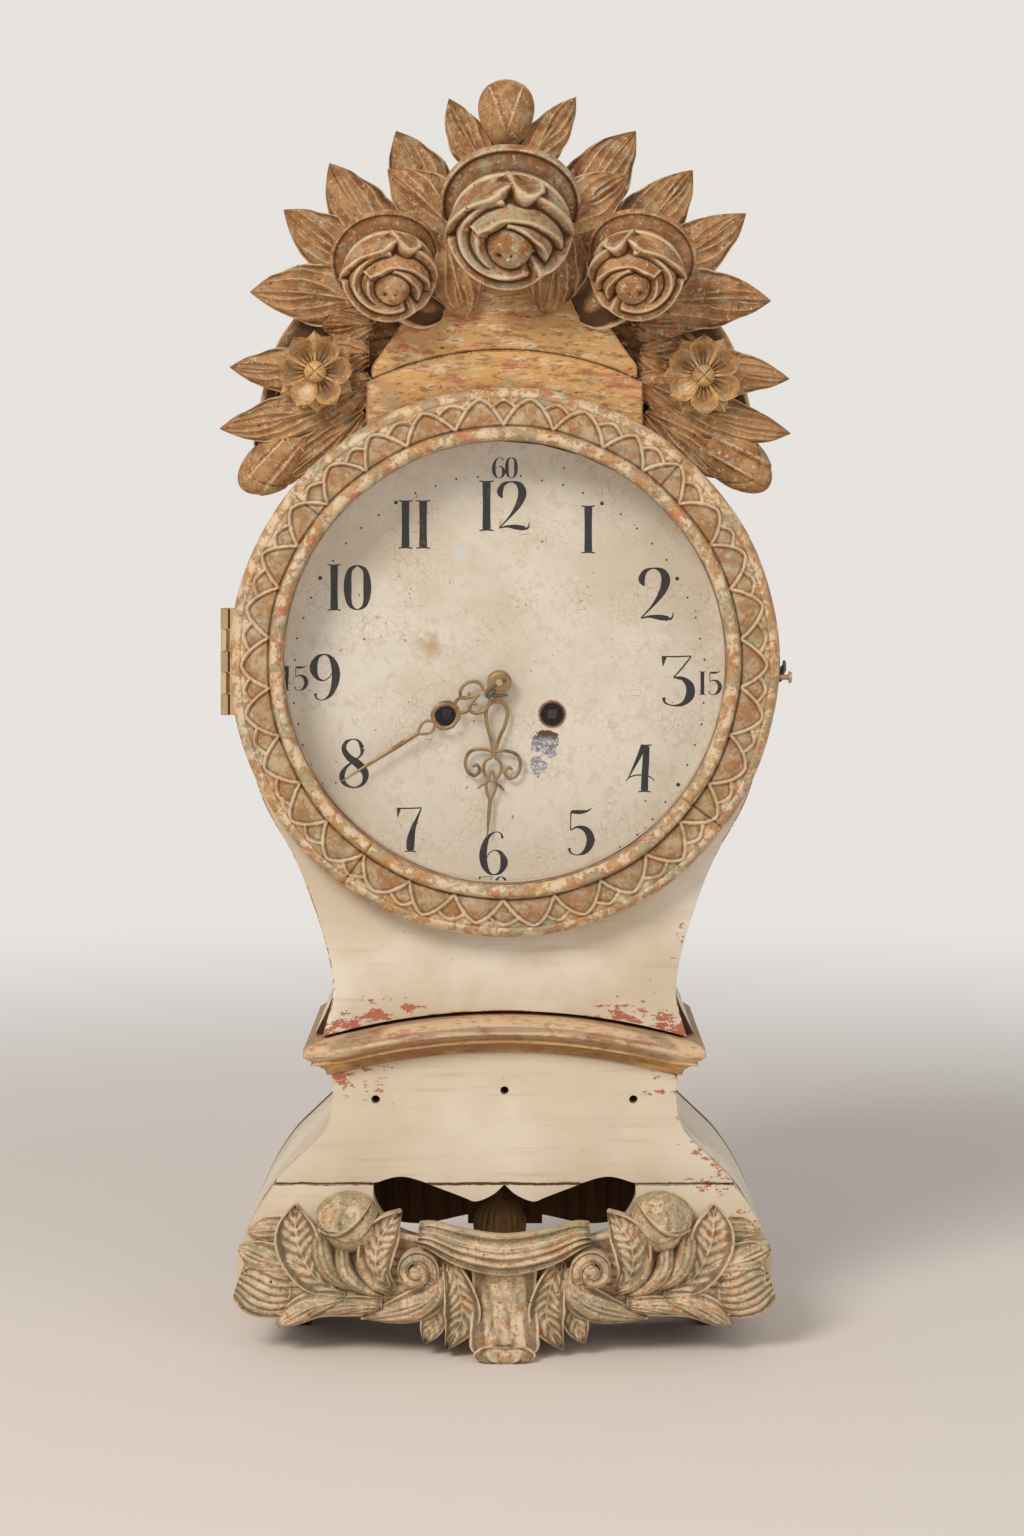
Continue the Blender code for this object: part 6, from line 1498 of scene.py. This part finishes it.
class Flower:
    """Ball of a rose in its own frame: a centre, a radius and an axis that looks down and aside."""

    def __init__(self, centre, radius, droop, aside, hand=1):
        self.centre = Vector(centre)
        self.radius = radius
        self.hand = hand
        turn = Matrix.Rotation(droop, 3, "X")
        swing = Matrix.Rotation(aside, 3, "Z")
        self.frame = np.array(swing @ turn)

    def write(self, piece, across, up, out):
        """Places given across, up and out along the axis, in the clock's frame."""
        local = np.column_stack((across, -out, up)) @ self.frame.T
        write_places(piece, self.centre.x + local[:, 0], self.centre.y + local[:, 1],
                     self.centre.z + local[:, 2])

    def body(self):
        """Ball of the rose, carved in steps: each petal is a layer with a rolled lip over the next one."""
        piece, turn, share = blank("rose_body", 220, 170)
        front = 0.88
        slope = np.where(share < front, share / front * math.radians(112.0),
                         math.radians(112.0) + (share - front) / (1 - front) * math.radians(68.0))
        angle = math.tau * turn
        around = np.degrees(angle) if self.hand > 0 else 180.0 - np.degrees(angle)
        skin = self.bud(slope, np.radians(around))
        for ball, start, end, lips in ROSE_PETALS:
            layer = self.petal(slope, around, ball, (start + end) / 2, (end - start) / 2, lips)
            skin = np.maximum(skin, layer)
        tuck = np.clip((slope - math.radians(90.0)) / math.radians(32.0), 0.0, 1.0)
        skin = skin * (1 - 0.34 * tuck)
        self.write(piece, skin * np.sin(slope) * np.cos(angle), skin * np.sin(slope) * np.sin(angle),
                   skin * np.cos(slope))
        return piece

    def petal(self, slope, around, ball, middle, half, lips):
        """Radius of one petal's layer. Its lip lies at these angles from the axis, along its way round."""
        roll = sizes().petal * self.radius / ROSE_RADIUS / 2
        apart = (around - middle + 180.0) % 360.0 - 180.0
        lip = np.radians(blend(lips, np.clip((apart + half) / (2 * half), 0.0, 1.0)))
        radius = ball * self.radius
        inside = (slope - lip) * radius
        aside = np.radians(half - np.abs(apart)) * radius * np.maximum(np.sin(slope), 0.2)
        behind = np.minimum(inside, aside)
        rounding = roll * (1 - np.sqrt(1 - np.clip(1 - behind / roll, 0.0, 1.0) ** 2))
        wall = roll - 3.2 * behind
        hollow = 0.26 * np.clip(inside, 0.0, 0.36 * self.radius)
        return radius - np.where(behind > 0, rounding + hollow, wall)

    def bud(self, slope, angle):
        """Radius of the closed bud in the middle, with a twisted fold and a pit."""
        fold = np.abs(np.sin(0.5 * (angle - 3.0 * slope - 0.5)))
        near = np.clip(1 - slope / 0.55, 0.0, 1.0)
        pit = bump_at(np.hypot(slope * np.cos(angle) + 0.22, slope * np.sin(angle) + 0.06), 0.09)
        dome = 0.80 - 0.62 * slope**2 + 0.08 * near * (fold**2 - 0.5) - 0.12 * pit
        return self.radius * np.maximum(dome, 0.58)

    def brim(self):
        """Dished collar behind the ball, with a thick rim."""
        piece, turn, share = blank("brim", 110, 60)
        rows = np.array((
            (0.0, 0.0), (0.60, -0.02), (0.84, -0.05), (0.82, -0.16), (0.78, -0.28), (0.79, -0.38),
            (0.85, -0.44), (0.93, -0.47), (0.985, -0.465), (1.01, -0.49), (1.02, -0.54), (0.99, -0.62),
            (0.86, -0.72), (0.60, -0.80), (0.0, -0.82),
        )) * self.radius
        angle = math.tau * turn
        reach = np.maximum(blend(rows[:, 0], share), 0.0) * (1 + 0.010 * np.sin(3 * angle + 0.7))
        self.write(piece, reach * np.cos(angle), reach * np.sin(angle), blend(rows[:, 1], share))
        return piece


# Radius of the centre rose, which the petal thickness is set for
ROSE_RADIUS = 0.0385
# Petals of a rose from the outside inwards: size of the ball, start and end round the axis in degrees,
# and the angles of the lip from the axis
ROSE_PETALS = (
    (0.945, 88.0, 190.0, (71.0, 60.0, 60.0, 64.0, 68.0, 76.0, 84.0)),
    (0.930, -6.0, 76.0, (84.0, 75.0, 69.0, 66.0, 65.0, 67.0)),
    (0.975, 57.0, 94.0, (72.0, 62.0, 60.0, 66.0, 84.0)),
    (0.935, 184.0, 322.0, (74.0, 60.0, 52.0, 48.0, 44.0, 40.0, 38.0)),
    (0.920, 318.0, 364.0, (38.0, 60.0, 76.0, 84.0, 92.0)),
    (0.860, 98.0, 305.0, (57.0, 58.0, 58.0, 59.0, 54.0, 42.0, 33.0, 28.0, 25.0, 24.0)),
    (0.825, -22.0, 152.0, (74.0, 58.0, 46.0, 41.0, 38.0, 38.0, 36.0, 40.0)),
    (0.765, -52.0, 95.0, (50.0, 48.0, 39.0, 31.0, 29.0, 30.0, 33.0)),
    (0.755, 150.0, 290.0, (42.0, 38.0, 35.0, 32.0, 31.0, 31.0)),
)


class CLOCK_OT_roses(bpy.types.Operator):
    """Carve the three roses of the crest"""

    bl_idname = "clock.roses"
    bl_label = "Roses"

    def execute(self, context):
        rows = (
            ("center", (0.0032, FRONT - 0.0300, 0.6276), ROSE_RADIUS, 40.0, 0.0, 1),
            ("left", (-0.0640, FRONT - 0.0240, 0.6025), 0.0299, 38.0, 13.0, 1),
            ("right", (0.0735, FRONT - 0.0240, 0.6030), 0.0299, 38.0, -15.0, -1),
        )
        for side, centre, radius, droop, aside, hand in rows:
            flower = Flower(centre, radius, math.radians(droop), math.radians(aside), hand)
            pieces = [flower.body(), flower.brim(), self.calyx(centre, radius)]
            if side != "center":
                pieces.append(self.sepal(centre, hand))
            paint = material("rose_paint" if side == "center" else "side_rose")
            # Forty relief passes widen the painted shade and grime in the hollows between the petals
            settle_carving(pieces, "crest_rose_carved_" + side, "case", paint,
                           ("crest_rose_" + side,), 0.0006, 40)
        return {"FINISHED"}

    def sepal(self, centre, hand):
        """Round lobe of the calyx that shows beside a side rose, towards the middle."""
        turn = math.radians(-24.0)
        reach = 0.0365 if hand > 0 else 0.0395
        root = np.array((centre[0], centre[2]))
        along = np.array((hand * math.cos(turn), math.sin(turn))) * reach
        spine = (root, root + along * 0.4, root + along * 0.75, root + along)
        halves = (0.0160, 0.0205, 0.0215, 0.0190, 0.0120)

        def height(side, share):
            lip = bump_at(np.abs(side) - 0.93, 0.08) + bump_at(share - 0.97, 0.03)
            return 0.0085 + 0.0012 * lip + 0.0004 * np.sin(8 * side + 6 * share)

        return carved(spine, halves, height, FRONT + 0.0060, 48, 40)

    def calyx(self, centre, radius):
        """Lobed cup behind a rose that joins it to the leaves."""
        piece, turn, share = blank("calyx", 72, 24)
        angle = math.tau * turn
        rows = np.array(((0.0, 0.0), (0.55, 0.0), (0.66, 0.3), (0.72, 0.55), (0.66, 0.9), (0.40, 1.0),
                         (0.0, 1.0)))
        reach = blend(rows[:, 0], share) * radius * (1 + 0.05 * np.cos(5 * angle + 0.6) * (share > 0.2))
        depth = blend(rows[:, 1], share)
        front, back = centre[1] + radius * 0.25, FRONT + 0.0060
        write_places(piece, centre[0] + reach * np.cos(angle), back + (front - back) * depth,
                     centre[2] + reach * np.sin(angle) - radius * 0.06)
        return piece


class CLOCK_OT_small_flowers(bpy.types.Operator):
    """Carve the two small flowers and their pegs"""

    bl_idname = "clock.small_flowers"
    bl_label = "Small flowers"

    def execute(self, context):
        rows = (("left", (-0.1055, 0.5487), 0.0222, 2.0), ("right", (0.1111, 0.5465), 0.0228, 31.0))
        for side, place, radius, roll in rows:
            pieces = []
            for number in range(6):
                turn = math.radians(60.0 * number + roll)
                pieces.append(self.leaflet(place, radius, turn + math.radians(30.0), False))
                pieces.append(self.leaflet(place, radius, turn, True))
            settle_carving(pieces, "crest_flower_carved_" + side, "case",
                           material("flower_paint"), ("crest_flower_" + side,), 0.0010, 30)
            self.button(side, place)
        return {"FINISHED"}

    def leaflet(self, place, radius, turn, petal):
        """Cupped petal with fine grooves, or the pointed sepal between two petals."""
        piece, round_turn, share = blank("leaflet", 40, 32)
        section = math.tau * round_turn
        side = np.cos(section)
        top = np.sin(section) > 0
        if petal:
            half = blend((0.10, 0.19, 0.28, 0.33, 0.32, 0.20, 0.0), share) * radius
            reach = radius * (0.16 + 0.84 * share)
            base = 0.0050 - 0.0030 * np.sin(math.pi * np.minimum(1.25 * share, 1.0)) + 0.0075 * share**2
            cup = 0.0060 * side**2 * np.sin(math.pi * np.clip(0.10 + 0.80 * share, 0.0, 1.0))
            groove = 0.0008 * np.cos(math.tau * 2.5 * side) * np.clip(1.00 - 1.8 * share, 0.0, 1.0)
            thick = 0.0013
        else:
            half = blend((0.12, 0.24, 0.30, 0.22, 0.0), share) * radius
            reach = radius * (0.14 + 0.92 * share)
            base = 0.0012 + 0.0030 * share
            cup = -0.0022 * np.abs(side)
            groove = 0.0
            thick = 0.0022
        rise = base + cup + np.where(top, thick * np.abs(np.sin(section)) ** 0.5 + groove, 0.0)
        aside = half * side
        write_places(piece, place[0] + reach * math.cos(turn) - aside * math.sin(turn), FRONT - rise,
                     place[1] + reach * math.sin(turn) + aside * math.cos(turn))
        return piece

    def button(self, side, place):
        """Domed end of the peg with a saw cut across it and another one over that."""
        node = "crest_flower_peg_" + side
        low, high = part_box(node)
        piece, turn, share = blank("flower_button", 64, 40)
        angle = math.tau * turn
        slope = math.pi * share
        x, z = np.sin(slope) * np.cos(angle), np.sin(slope) * np.sin(angle)
        front = np.cos(slope) > 0
        cut = np.maximum(bump_at(x + z, 0.09), bump_at(x - z, 0.09)) * front
        top = np.maximum(np.cos(slope), 0.0) ** 0.8
        rise = np.where(front, 0.30 + 0.70 * top - 0.10 * cut, 0.30 * (1 + np.cos(slope)))
        radius = (high[0] - low[0]) / 2
        write_places(piece, place[0] + radius * x, high[1] + 0.0030 - (high[1] + 0.0030 - low[1]) * rise,
                     place[1] + radius * z)
        settle_carving([piece], node + "_carved", "case", material("flower_paint"), (node,))


def apron_side():
    """Carved members of the left half of the apron."""
    back = GLUE_FACE
    cut = sizes().stroke_cut

    def leaf_member(spine, halves, thick, relief=lipped_relief, wander=0.0, **more):
        return carved(spine, halves, relief(thick, cut * 0.55, wander=wander, **more), back, 56, 60)

    def fan(side, share):
        ridge = (0.5 + 0.5 * np.cos(math.tau * (3.6 * side + 0.25 * np.sin(5 * share)))) ** 2
        body = 0.0125 * np.sqrt(np.maximum(1 - 0.85 * side**2, 0.0)) * blend((0.75, 1.0, 0.9, 0.5), share)
        return body - 0.0010 * ridge

    def backing(side, share):
        return 0.0075 + 0.0004 * np.sin(30 * side + 12 * share)

    pieces = [
        carved(((-0.1460, 0.0440), (-0.1200, 0.0440), (-0.0900, 0.0460), (-0.0600, 0.0460),
                (-0.0300, 0.0440)),
               (0.0120, 0.0225, 0.0235, 0.0230, 0.0170), backing, back, 32, 40),
        # Fan at the outer end, and the leaves behind the tongue
        carved(((-0.1190, 0.0345), (-0.1290, 0.0360), (-0.1400, 0.0390), (-0.1485, 0.0420)),
               (0.0130, 0.0160, 0.0165, 0.0110), fan, back, 64, 40),
        leaf_member(((-0.1120, 0.0500), (-0.1330, 0.0540), (-0.1490, 0.0600)),
                    (0.0080, 0.0098, 0.0085, 0.0010), 0.0115, leaf_relief),
        leaf_member(((-0.1090, 0.0640), (-0.1260, 0.0700), (-0.1440, 0.0680)),
                    (0.0090, 0.0088, 0.0070, 0.0010), 0.0070, leaf_relief, 0.3),
        # Long leaves along the foot
        leaf_member(((-0.0880, 0.0330), (-0.1085, 0.0285), (-0.1275, 0.0165)),
                    (0.0040, 0.0072, 0.0070, 0.0008), 0.0150, leaf_relief, 0.2),
        leaf_member(((-0.0680, 0.0290), (-0.0860, 0.0290), (-0.1035, 0.0245)),
                    (0.0040, 0.0052, 0.0046, 0.0006), 0.0165, leaf_relief, 0.5),
        # Tongue
        leaf_member(((-0.0900, 0.0350), (-0.1060, 0.0450), (-0.1140, 0.0600), (-0.1165, 0.0735),
                     (-0.1165, 0.0843)),
                    (0.0030, 0.0090, 0.0125, 0.0105, 0.0006), 0.0140, wander=0.2, veins=10.0),
        # Strands below the peony
        carved(((-0.1030, 0.0720), (-0.1010, 0.0560), (-0.0950, 0.0450), (-0.0800, 0.0350)),
               (0.0060, 0.0078, 0.0062, 0.0016), strand_relief(0.0165, 0.0008), back, 40, 44),
        carved(((-0.0905, 0.0650), (-0.0890, 0.0500), (-0.0800, 0.0395), (-0.0660, 0.0330)),
               (0.0050, 0.0058, 0.0050, 0.0014), strand_relief(0.0180, 0.0009, 1.5), back, 40, 44),
        carved(((-0.0805, 0.0610), (-0.0785, 0.0490), (-0.0720, 0.0410), (-0.0610, 0.0350)),
               (0.0044, 0.0046, 0.0040, 0.0012), strand_relief(0.0175, 0.0007, 1.0), back, 32, 40),
        # Inner leaf
        leaf_member(((-0.0620, 0.0370), (-0.0705, 0.0470), (-0.0710, 0.0610), (-0.0655, 0.0715),
                     (-0.0575, 0.0805)),
                    (0.0030, 0.0080, 0.0105, 0.0088, 0.0006), 0.0160, wander=0.6, veins=9.0),
        # Tail of the volute, and the leaves beside the foot
        leaf_member(((-0.0390, 0.0500), (-0.0390, 0.0370), (-0.0540, 0.0275), (-0.0800, 0.0215)),
                    (0.0070, 0.0090, 0.0085, 0.0008), 0.0190, leaf_relief, 0.1),
        leaf_member(((-0.0345, 0.0420), (-0.0390, 0.0220), (-0.0445, 0.0075)),
                    (0.0050, 0.0075, 0.0064, 0.0006), 0.0135, wander=0.4, veins=7.0),
        leaf_member(((-0.0310, 0.0540), (-0.0250, 0.0370), (-0.0240, 0.0215), (-0.0328, 0.0045)),
                    (0.0036, 0.0088, 0.0098, 0.0006), 0.0180, wander=0.1, veins=9.0),
    ]
    pieces += peony((-0.0865, 0.0740), 0.0172, back)
    pieces += volute((-0.0493, 0.0495), back)
    return pieces


def peony(place, radius, back):
    """Ball of the apron's flower with two petals wrapped round it."""

    def wraps(across, along, out):
        first = along + 0.10 + 0.75 * across - 0.55 * across**2
        second = along + 0.55 - 0.9 * across**2
        third = across - 0.25 + 0.8 * (along - 0.2) ** 2
        lip = 0.10 * np.clip(first * 9, 0.0, 1.0) + 0.09 * np.clip(second * 9, 0.0, 1.0)
        lip = lip + 0.06 * np.clip(third * 9, 0.0, 1.0) * (along > -0.1)
        return (lip + 0.03 * bump_at(first - 0.10, 0.07) - 0.12) * (out > -0.2)

    return [pod(place, radius * 0.98, radius * 1.03, 0.0190, math.pi / 2, back - 0.0040, wraps)]


def volute(place, back):
    """Spiral scroll that runs into a round eye."""
    spine = []
    halves = []
    stations = 15
    for station in range(stations):
        share = station / (stations - 1)
        angle = math.radians(-40.0) + math.radians(500.0) * share
        reach = 0.0104 - 0.0070 * share**0.85
        spine.append((place[0] + reach * math.cos(angle), place[1] + reach * math.sin(angle)))
        halves.append(0.0037 - 0.0014 * share)

    def band(side, share):
        lip = bump_at(np.abs(side) - 0.82, 0.16)
        return 0.0175 + 0.0045 * share + 0.0013 * lip + 0.0010 * (1 - side**2)

    eye = pod(place, 0.0036, 0.0036, 0.0060, 0.0, back - 0.0200, no_seams, 32, 24)
    return [carved(spine, halves, band, back, 40, 150), eye]


class CLOCK_OT_apron(bpy.types.Operator):
    """Carve the apron: both sides and the cartouche with the foot"""

    bl_idname = "clock.apron"
    bl_label = "Apron"

    def execute(self, context):
        left = join(apron_side(), "apron_carved_left")
        right = mirrored_copy(left, "apron_carved_right")
        for side, piece in (("left", left), ("right", right)):
            settle_carving([piece], "apron_carved_" + side, "case", material("apron_paint"),
                           ("apron_" + side,))
        pieces = [self.band(), self.foot(), self.toe()]
        settle_carving(pieces, "apron_carved_center", "case", material("apron_paint"),
                       ("apron_center",))
        return {"FINISHED"}

    def band(self):
        """Hanging band of parallel mouldings between the volutes."""
        spine = ((-0.0480, 0.0690), (-0.0400, 0.0680), (-0.0220, 0.0612), (0.0, 0.0577), (0.0220, 0.0612),
                 (0.0400, 0.0680), (0.0480, 0.0690))
        halves = (0.0050, 0.0068, 0.0095, 0.0104, 0.0095, 0.0068, 0.0050)

        def height(side, share):
            steps = 0.0012 * np.cos(math.tau * 2.2 * side) + 0.0010 * bump_at(side + 0.25, 0.08)
            return 0.0190 - 0.0050 * np.clip(side, -1.0, 1.0) ** 2 + 0.0035 * side + steps

        return carved(spine, halves, height, GLUE_FACE, 64, 80)

    def foot(self):
        """Stem of the front foot, hollowed below the band and swelling to the toe."""
        spine = ((0.0, 0.0560), (0.0, 0.0420), (0.0, 0.0280), (0.0, 0.0140), (0.0, 0.0004))
        halves = (0.0190, 0.0184, 0.0178, 0.0176, 0.0180, 0.0188, 0.0192, 0.0186, 0.0100)

        def height(side, share):
            profile = blend((0.0125, 0.0125, 0.0140, 0.0200, 0.0200), share)
            gouges = 0.0003 * np.cos(math.tau * 4.0 * side) * bump_at(share - 0.66, 0.10)
            lines = 0.0003 * np.sin(math.tau * (2.3 * side + 1.7 * share))
            return profile * (1 - 0.10 * np.abs(side) ** 3) + gouges + lines

        return carved(spine, halves, height, GLUE_FACE, 56, 60)

    def toe(self):
        """Small fan on the toe of the foot."""
        spine = ((0.0, 0.0105), (0.0, 0.0070), (0.0, 0.0035), (0.0, 0.0002))
        halves = (0.0020, 0.0118, 0.0160, 0.0172, 0.0150, 0.0085)

        def height(side, share):
            reach = np.abs(side)
            lip = np.maximum(bump_at(reach - 0.86, 0.10), bump_at(share - 0.14, 0.07))
            inside = np.clip((0.62 - reach) * 9, 0.0, 1.0) * np.clip((share - 0.30) * 6, 0.0, 1.0)
            flutes = 0.0009 * np.abs(np.cos(math.tau * 1.2 * side)) * inside
            return 0.0228 + 0.0016 * lip + 0.0012 * inside + flutes

        return carved(spine, halves, height, GLUE_FACE, 80, 48)


class CLOCK_OT_pendulum(bpy.types.Operator):
    """Make the ribbed bob and finish the pendulum rod"""

    bl_idname = "clock.pendulum"
    bl_label = "Pendulum"
    ribs = 22

    def execute(self, context):
        low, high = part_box("pendulum_bob")
        piece, turn, share = blank("pendulum_bob_ribbed", self.ribs * 8, 56)
        angle = math.tau * turn
        profile = blend((0.0, 0.30, 0.66, 0.88, 0.98, 1.0, 0.97, 0.90, 0.0), share)
        rib = 1 - 0.055 * (1 - np.abs(np.cos(self.ribs / 2 * angle))) * bump_at(share - 0.5, 0.42)
        radius = (high[0] - low[0]) / 2
        middle_x, middle_y = (high[0] + low[0]) / 2, (high[1] + low[1]) / 2
        height = high[2] - (high[2] - low[2]) * np.clip(share * 1.04 - 0.02, 0.0, 1.0)
        write_places(piece, middle_x + radius * profile * rib * np.cos(angle),
                     middle_y + radius * profile * rib * np.sin(angle), height)
        settle_carving([piece], "pendulum_bob_ribbed", "pendulum", material("bob_metal"),
                       ("pendulum_bob",))
        repaint("pendulum_rod", "iron_metal")
        return {"FINISHED"}


class CLOCK_OT_metalwork(bpy.types.Operator):
    """Finish the hinge, the latch and the movement"""

    bl_idname = "clock.metalwork"
    bl_label = "Metalwork"
    finishes = {
        "brass_metal": ("movement_back_plate", "back_cock", "center_arbor", "hour_wheel",
                        "minute_wheel", "third_wheel", "escape_wheel"),
        "old_brass": ("hinge_case_leaf", "hinge_door_leaf", "latch_pin"),
        # Painted shade: near-black barrels and front plate make the winding holes read dark
        "black_iron": ("going_barrel", "strike_barrel", "movement_front_plate"),
        "bronze_metal": ("bell",),
        "iron_metal": ("hinge_pin", "latch_hook", "latch_screw", "anchor", "hammer", "bell_stand"),
        "bare_wood": ("seat_board",),
    }

    def execute(self, context):
        for paint, nodes in self.finishes.items():
            for node in nodes:
                repaint(node, paint)
        return {"FINISHED"}


class CLOCK_OT_stage(bpy.types.Operator):
    """Set the floor, the lamps, the room and the camera"""

    bl_idname = "clock.stage"
    bl_label = "Stage"

    def execute(self, context):
        self.floor()
        setting = context.scene.clock_stage
        self.lamp("key", (-1.35, -2.3, 2.2), setting.key, 1.2)
        self.lamp("fill", (1.8, -1.9, 1.2), setting.fill, 1.6)
        self.room(context.scene, setting.room)
        self.camera(context.scene)
        context.scene.view_settings.view_transform = "Standard"
        return {"FINISHED"}

    def floor(self):
        """Round pale floor that fades into the backdrop."""
        clear_selection()
        bpy.ops.mesh.primitive_circle_add(vertices=96, radius=6.0, fill_type="TRIFAN")
        piece = bpy.context.object
        piece.name = "floor"
        paint = Finish("floor_paint")
        x, y, _ = paint.axes()
        square = paint.plus(paint.times(x, x), paint.times(y, y))
        far = paint.ease(paint.sum("SQRT", square), 0.55, 1.9)
        mottle = paint.times(paint.noise(5.0), 0.12)
        base = paint.over(tint("floor"), tint("backdrop"), paint.plus(mottle, far))
        paint.done(base, 0.75)
        glow = paint.nodes.new("ShaderNodeEmission")
        glow.inputs["Color"].default_value = tint("backdrop")
        mix_shaders(paint.material.node_tree, far, paint.shader.outputs["BSDF"], glow.outputs["Emission"],
                    "Material Output")
        piece.data.materials.append(paint.material)

    def lamp(self, name, place, power, size):
        """Large soft lamp that looks at the clock."""
        clear_selection()
        bpy.ops.object.light_add(type="AREA", location=place)
        lamp = bpy.context.object
        lamp.name = name + "_lamp"
        lamp.data.energy = power
        lamp.data.shape = "DISK"
        lamp.data.size = size
        lamp.data.color = (1.0, 0.97, 0.93) if name == "key" else (0.95, 0.97, 1.0)
        aim = Vector((0.0, 0.0, 0.36)) - Vector(place)
        lamp.rotation_euler = aim.to_track_quat("-Z", "Y").to_euler()

    def room(self, scene, strength):
        """Even light from all sides, and the backdrop as the camera, glass and metal see it."""
        world = bpy.data.worlds.new("clock_room")
        world.use_nodes = True
        scene.world = world
        nodes, links = world.node_tree.nodes, world.node_tree.links
        light = nodes["Background"]
        light.inputs["Color"].default_value = (0.98, 0.985, 1.0, 1.0)
        light.inputs["Strength"].default_value = strength
        view = nodes.new("ShaderNodeBackground")
        view.inputs["Color"].default_value = tint("backdrop")
        path = nodes.new("ShaderNodeLightPath")
        seen = path.outputs["Is Camera Ray"]
        for ray in ("Is Glossy Ray", "Is Transmission Ray"):
            either = nodes.new("ShaderNodeMath")
            either.operation = "MAXIMUM"
            links.new(seen, either.inputs[0])
            links.new(path.outputs[ray], either.inputs[1])
            seen = either.outputs[0]
        mix_shaders(world.node_tree, seen, light.outputs["Background"], view.outputs["Background"],
                    "World Output")

    def camera(self, scene):
        """Level camera at the height of the numerals."""
        clear_selection()
        bpy.ops.object.camera_add(location=(0.0042, -1.7475, 0.463), rotation=(math.pi / 2, 0.0, 0.0))
        camera = bpy.context.object
        camera.data.lens = 71.16
        camera.data.sensor_width = 36.0
        camera.data.sensor_fit = "AUTO"
        camera.data.shift_y = -0.158
        camera.data.clip_start = 0.01
        scene.camera = camera


STEPS = (
    CLOCK_OT_case_boards,
    CLOCK_OT_mouldings,
    CLOCK_OT_bezel,
    CLOCK_OT_numerals,
    CLOCK_OT_hands,
    CLOCK_OT_crest_boards,
    CLOCK_OT_crest_leaves,
    CLOCK_OT_roses,
    CLOCK_OT_small_flowers,
    CLOCK_OT_apron,
    CLOCK_OT_pendulum,
    CLOCK_OT_metalwork,
    CLOCK_OT_stage,
)


class CLOCK_PT_panel(bpy.types.Panel):
    """List of the clock's pieces"""

    bl_idname = "CLOCK_PT_panel"
    bl_label = "Carved Table Clock"
    bl_space_type = "VIEW_3D"
    bl_region_type = "UI"
    bl_category = "Clock"

    def draw(self, context):
        for step in STEPS:
            self.layout.operator(step.bl_idname)


GROUPS = (("clock_paints", ClockPaints), ("clock_sizes", ClockSizes), ("clock_stage", ClockStage))


def register():
    """Add the settings, the operators and the panel."""
    for name, group in GROUPS:
        bpy.utils.register_class(group)
        setattr(bpy.types.Scene, name, bpy.props.PointerProperty(type=group))
    for step in (*STEPS, CLOCK_PT_panel):
        bpy.utils.register_class(step)


def unregister():
    """Remove the settings, the operators and the panel."""
    for step in (CLOCK_PT_panel, *reversed(STEPS)):
        bpy.utils.unregister_class(step)
    for name, group in GROUPS:
        delattr(bpy.types.Scene, name)
        bpy.utils.unregister_class(group)


def main():
    """Make every piece in order."""
    register()
    for step in STEPS:
        group, name = step.bl_idname.split(".")
        getattr(getattr(bpy.ops, group), name)()


if __name__ == "__main__":
    main()
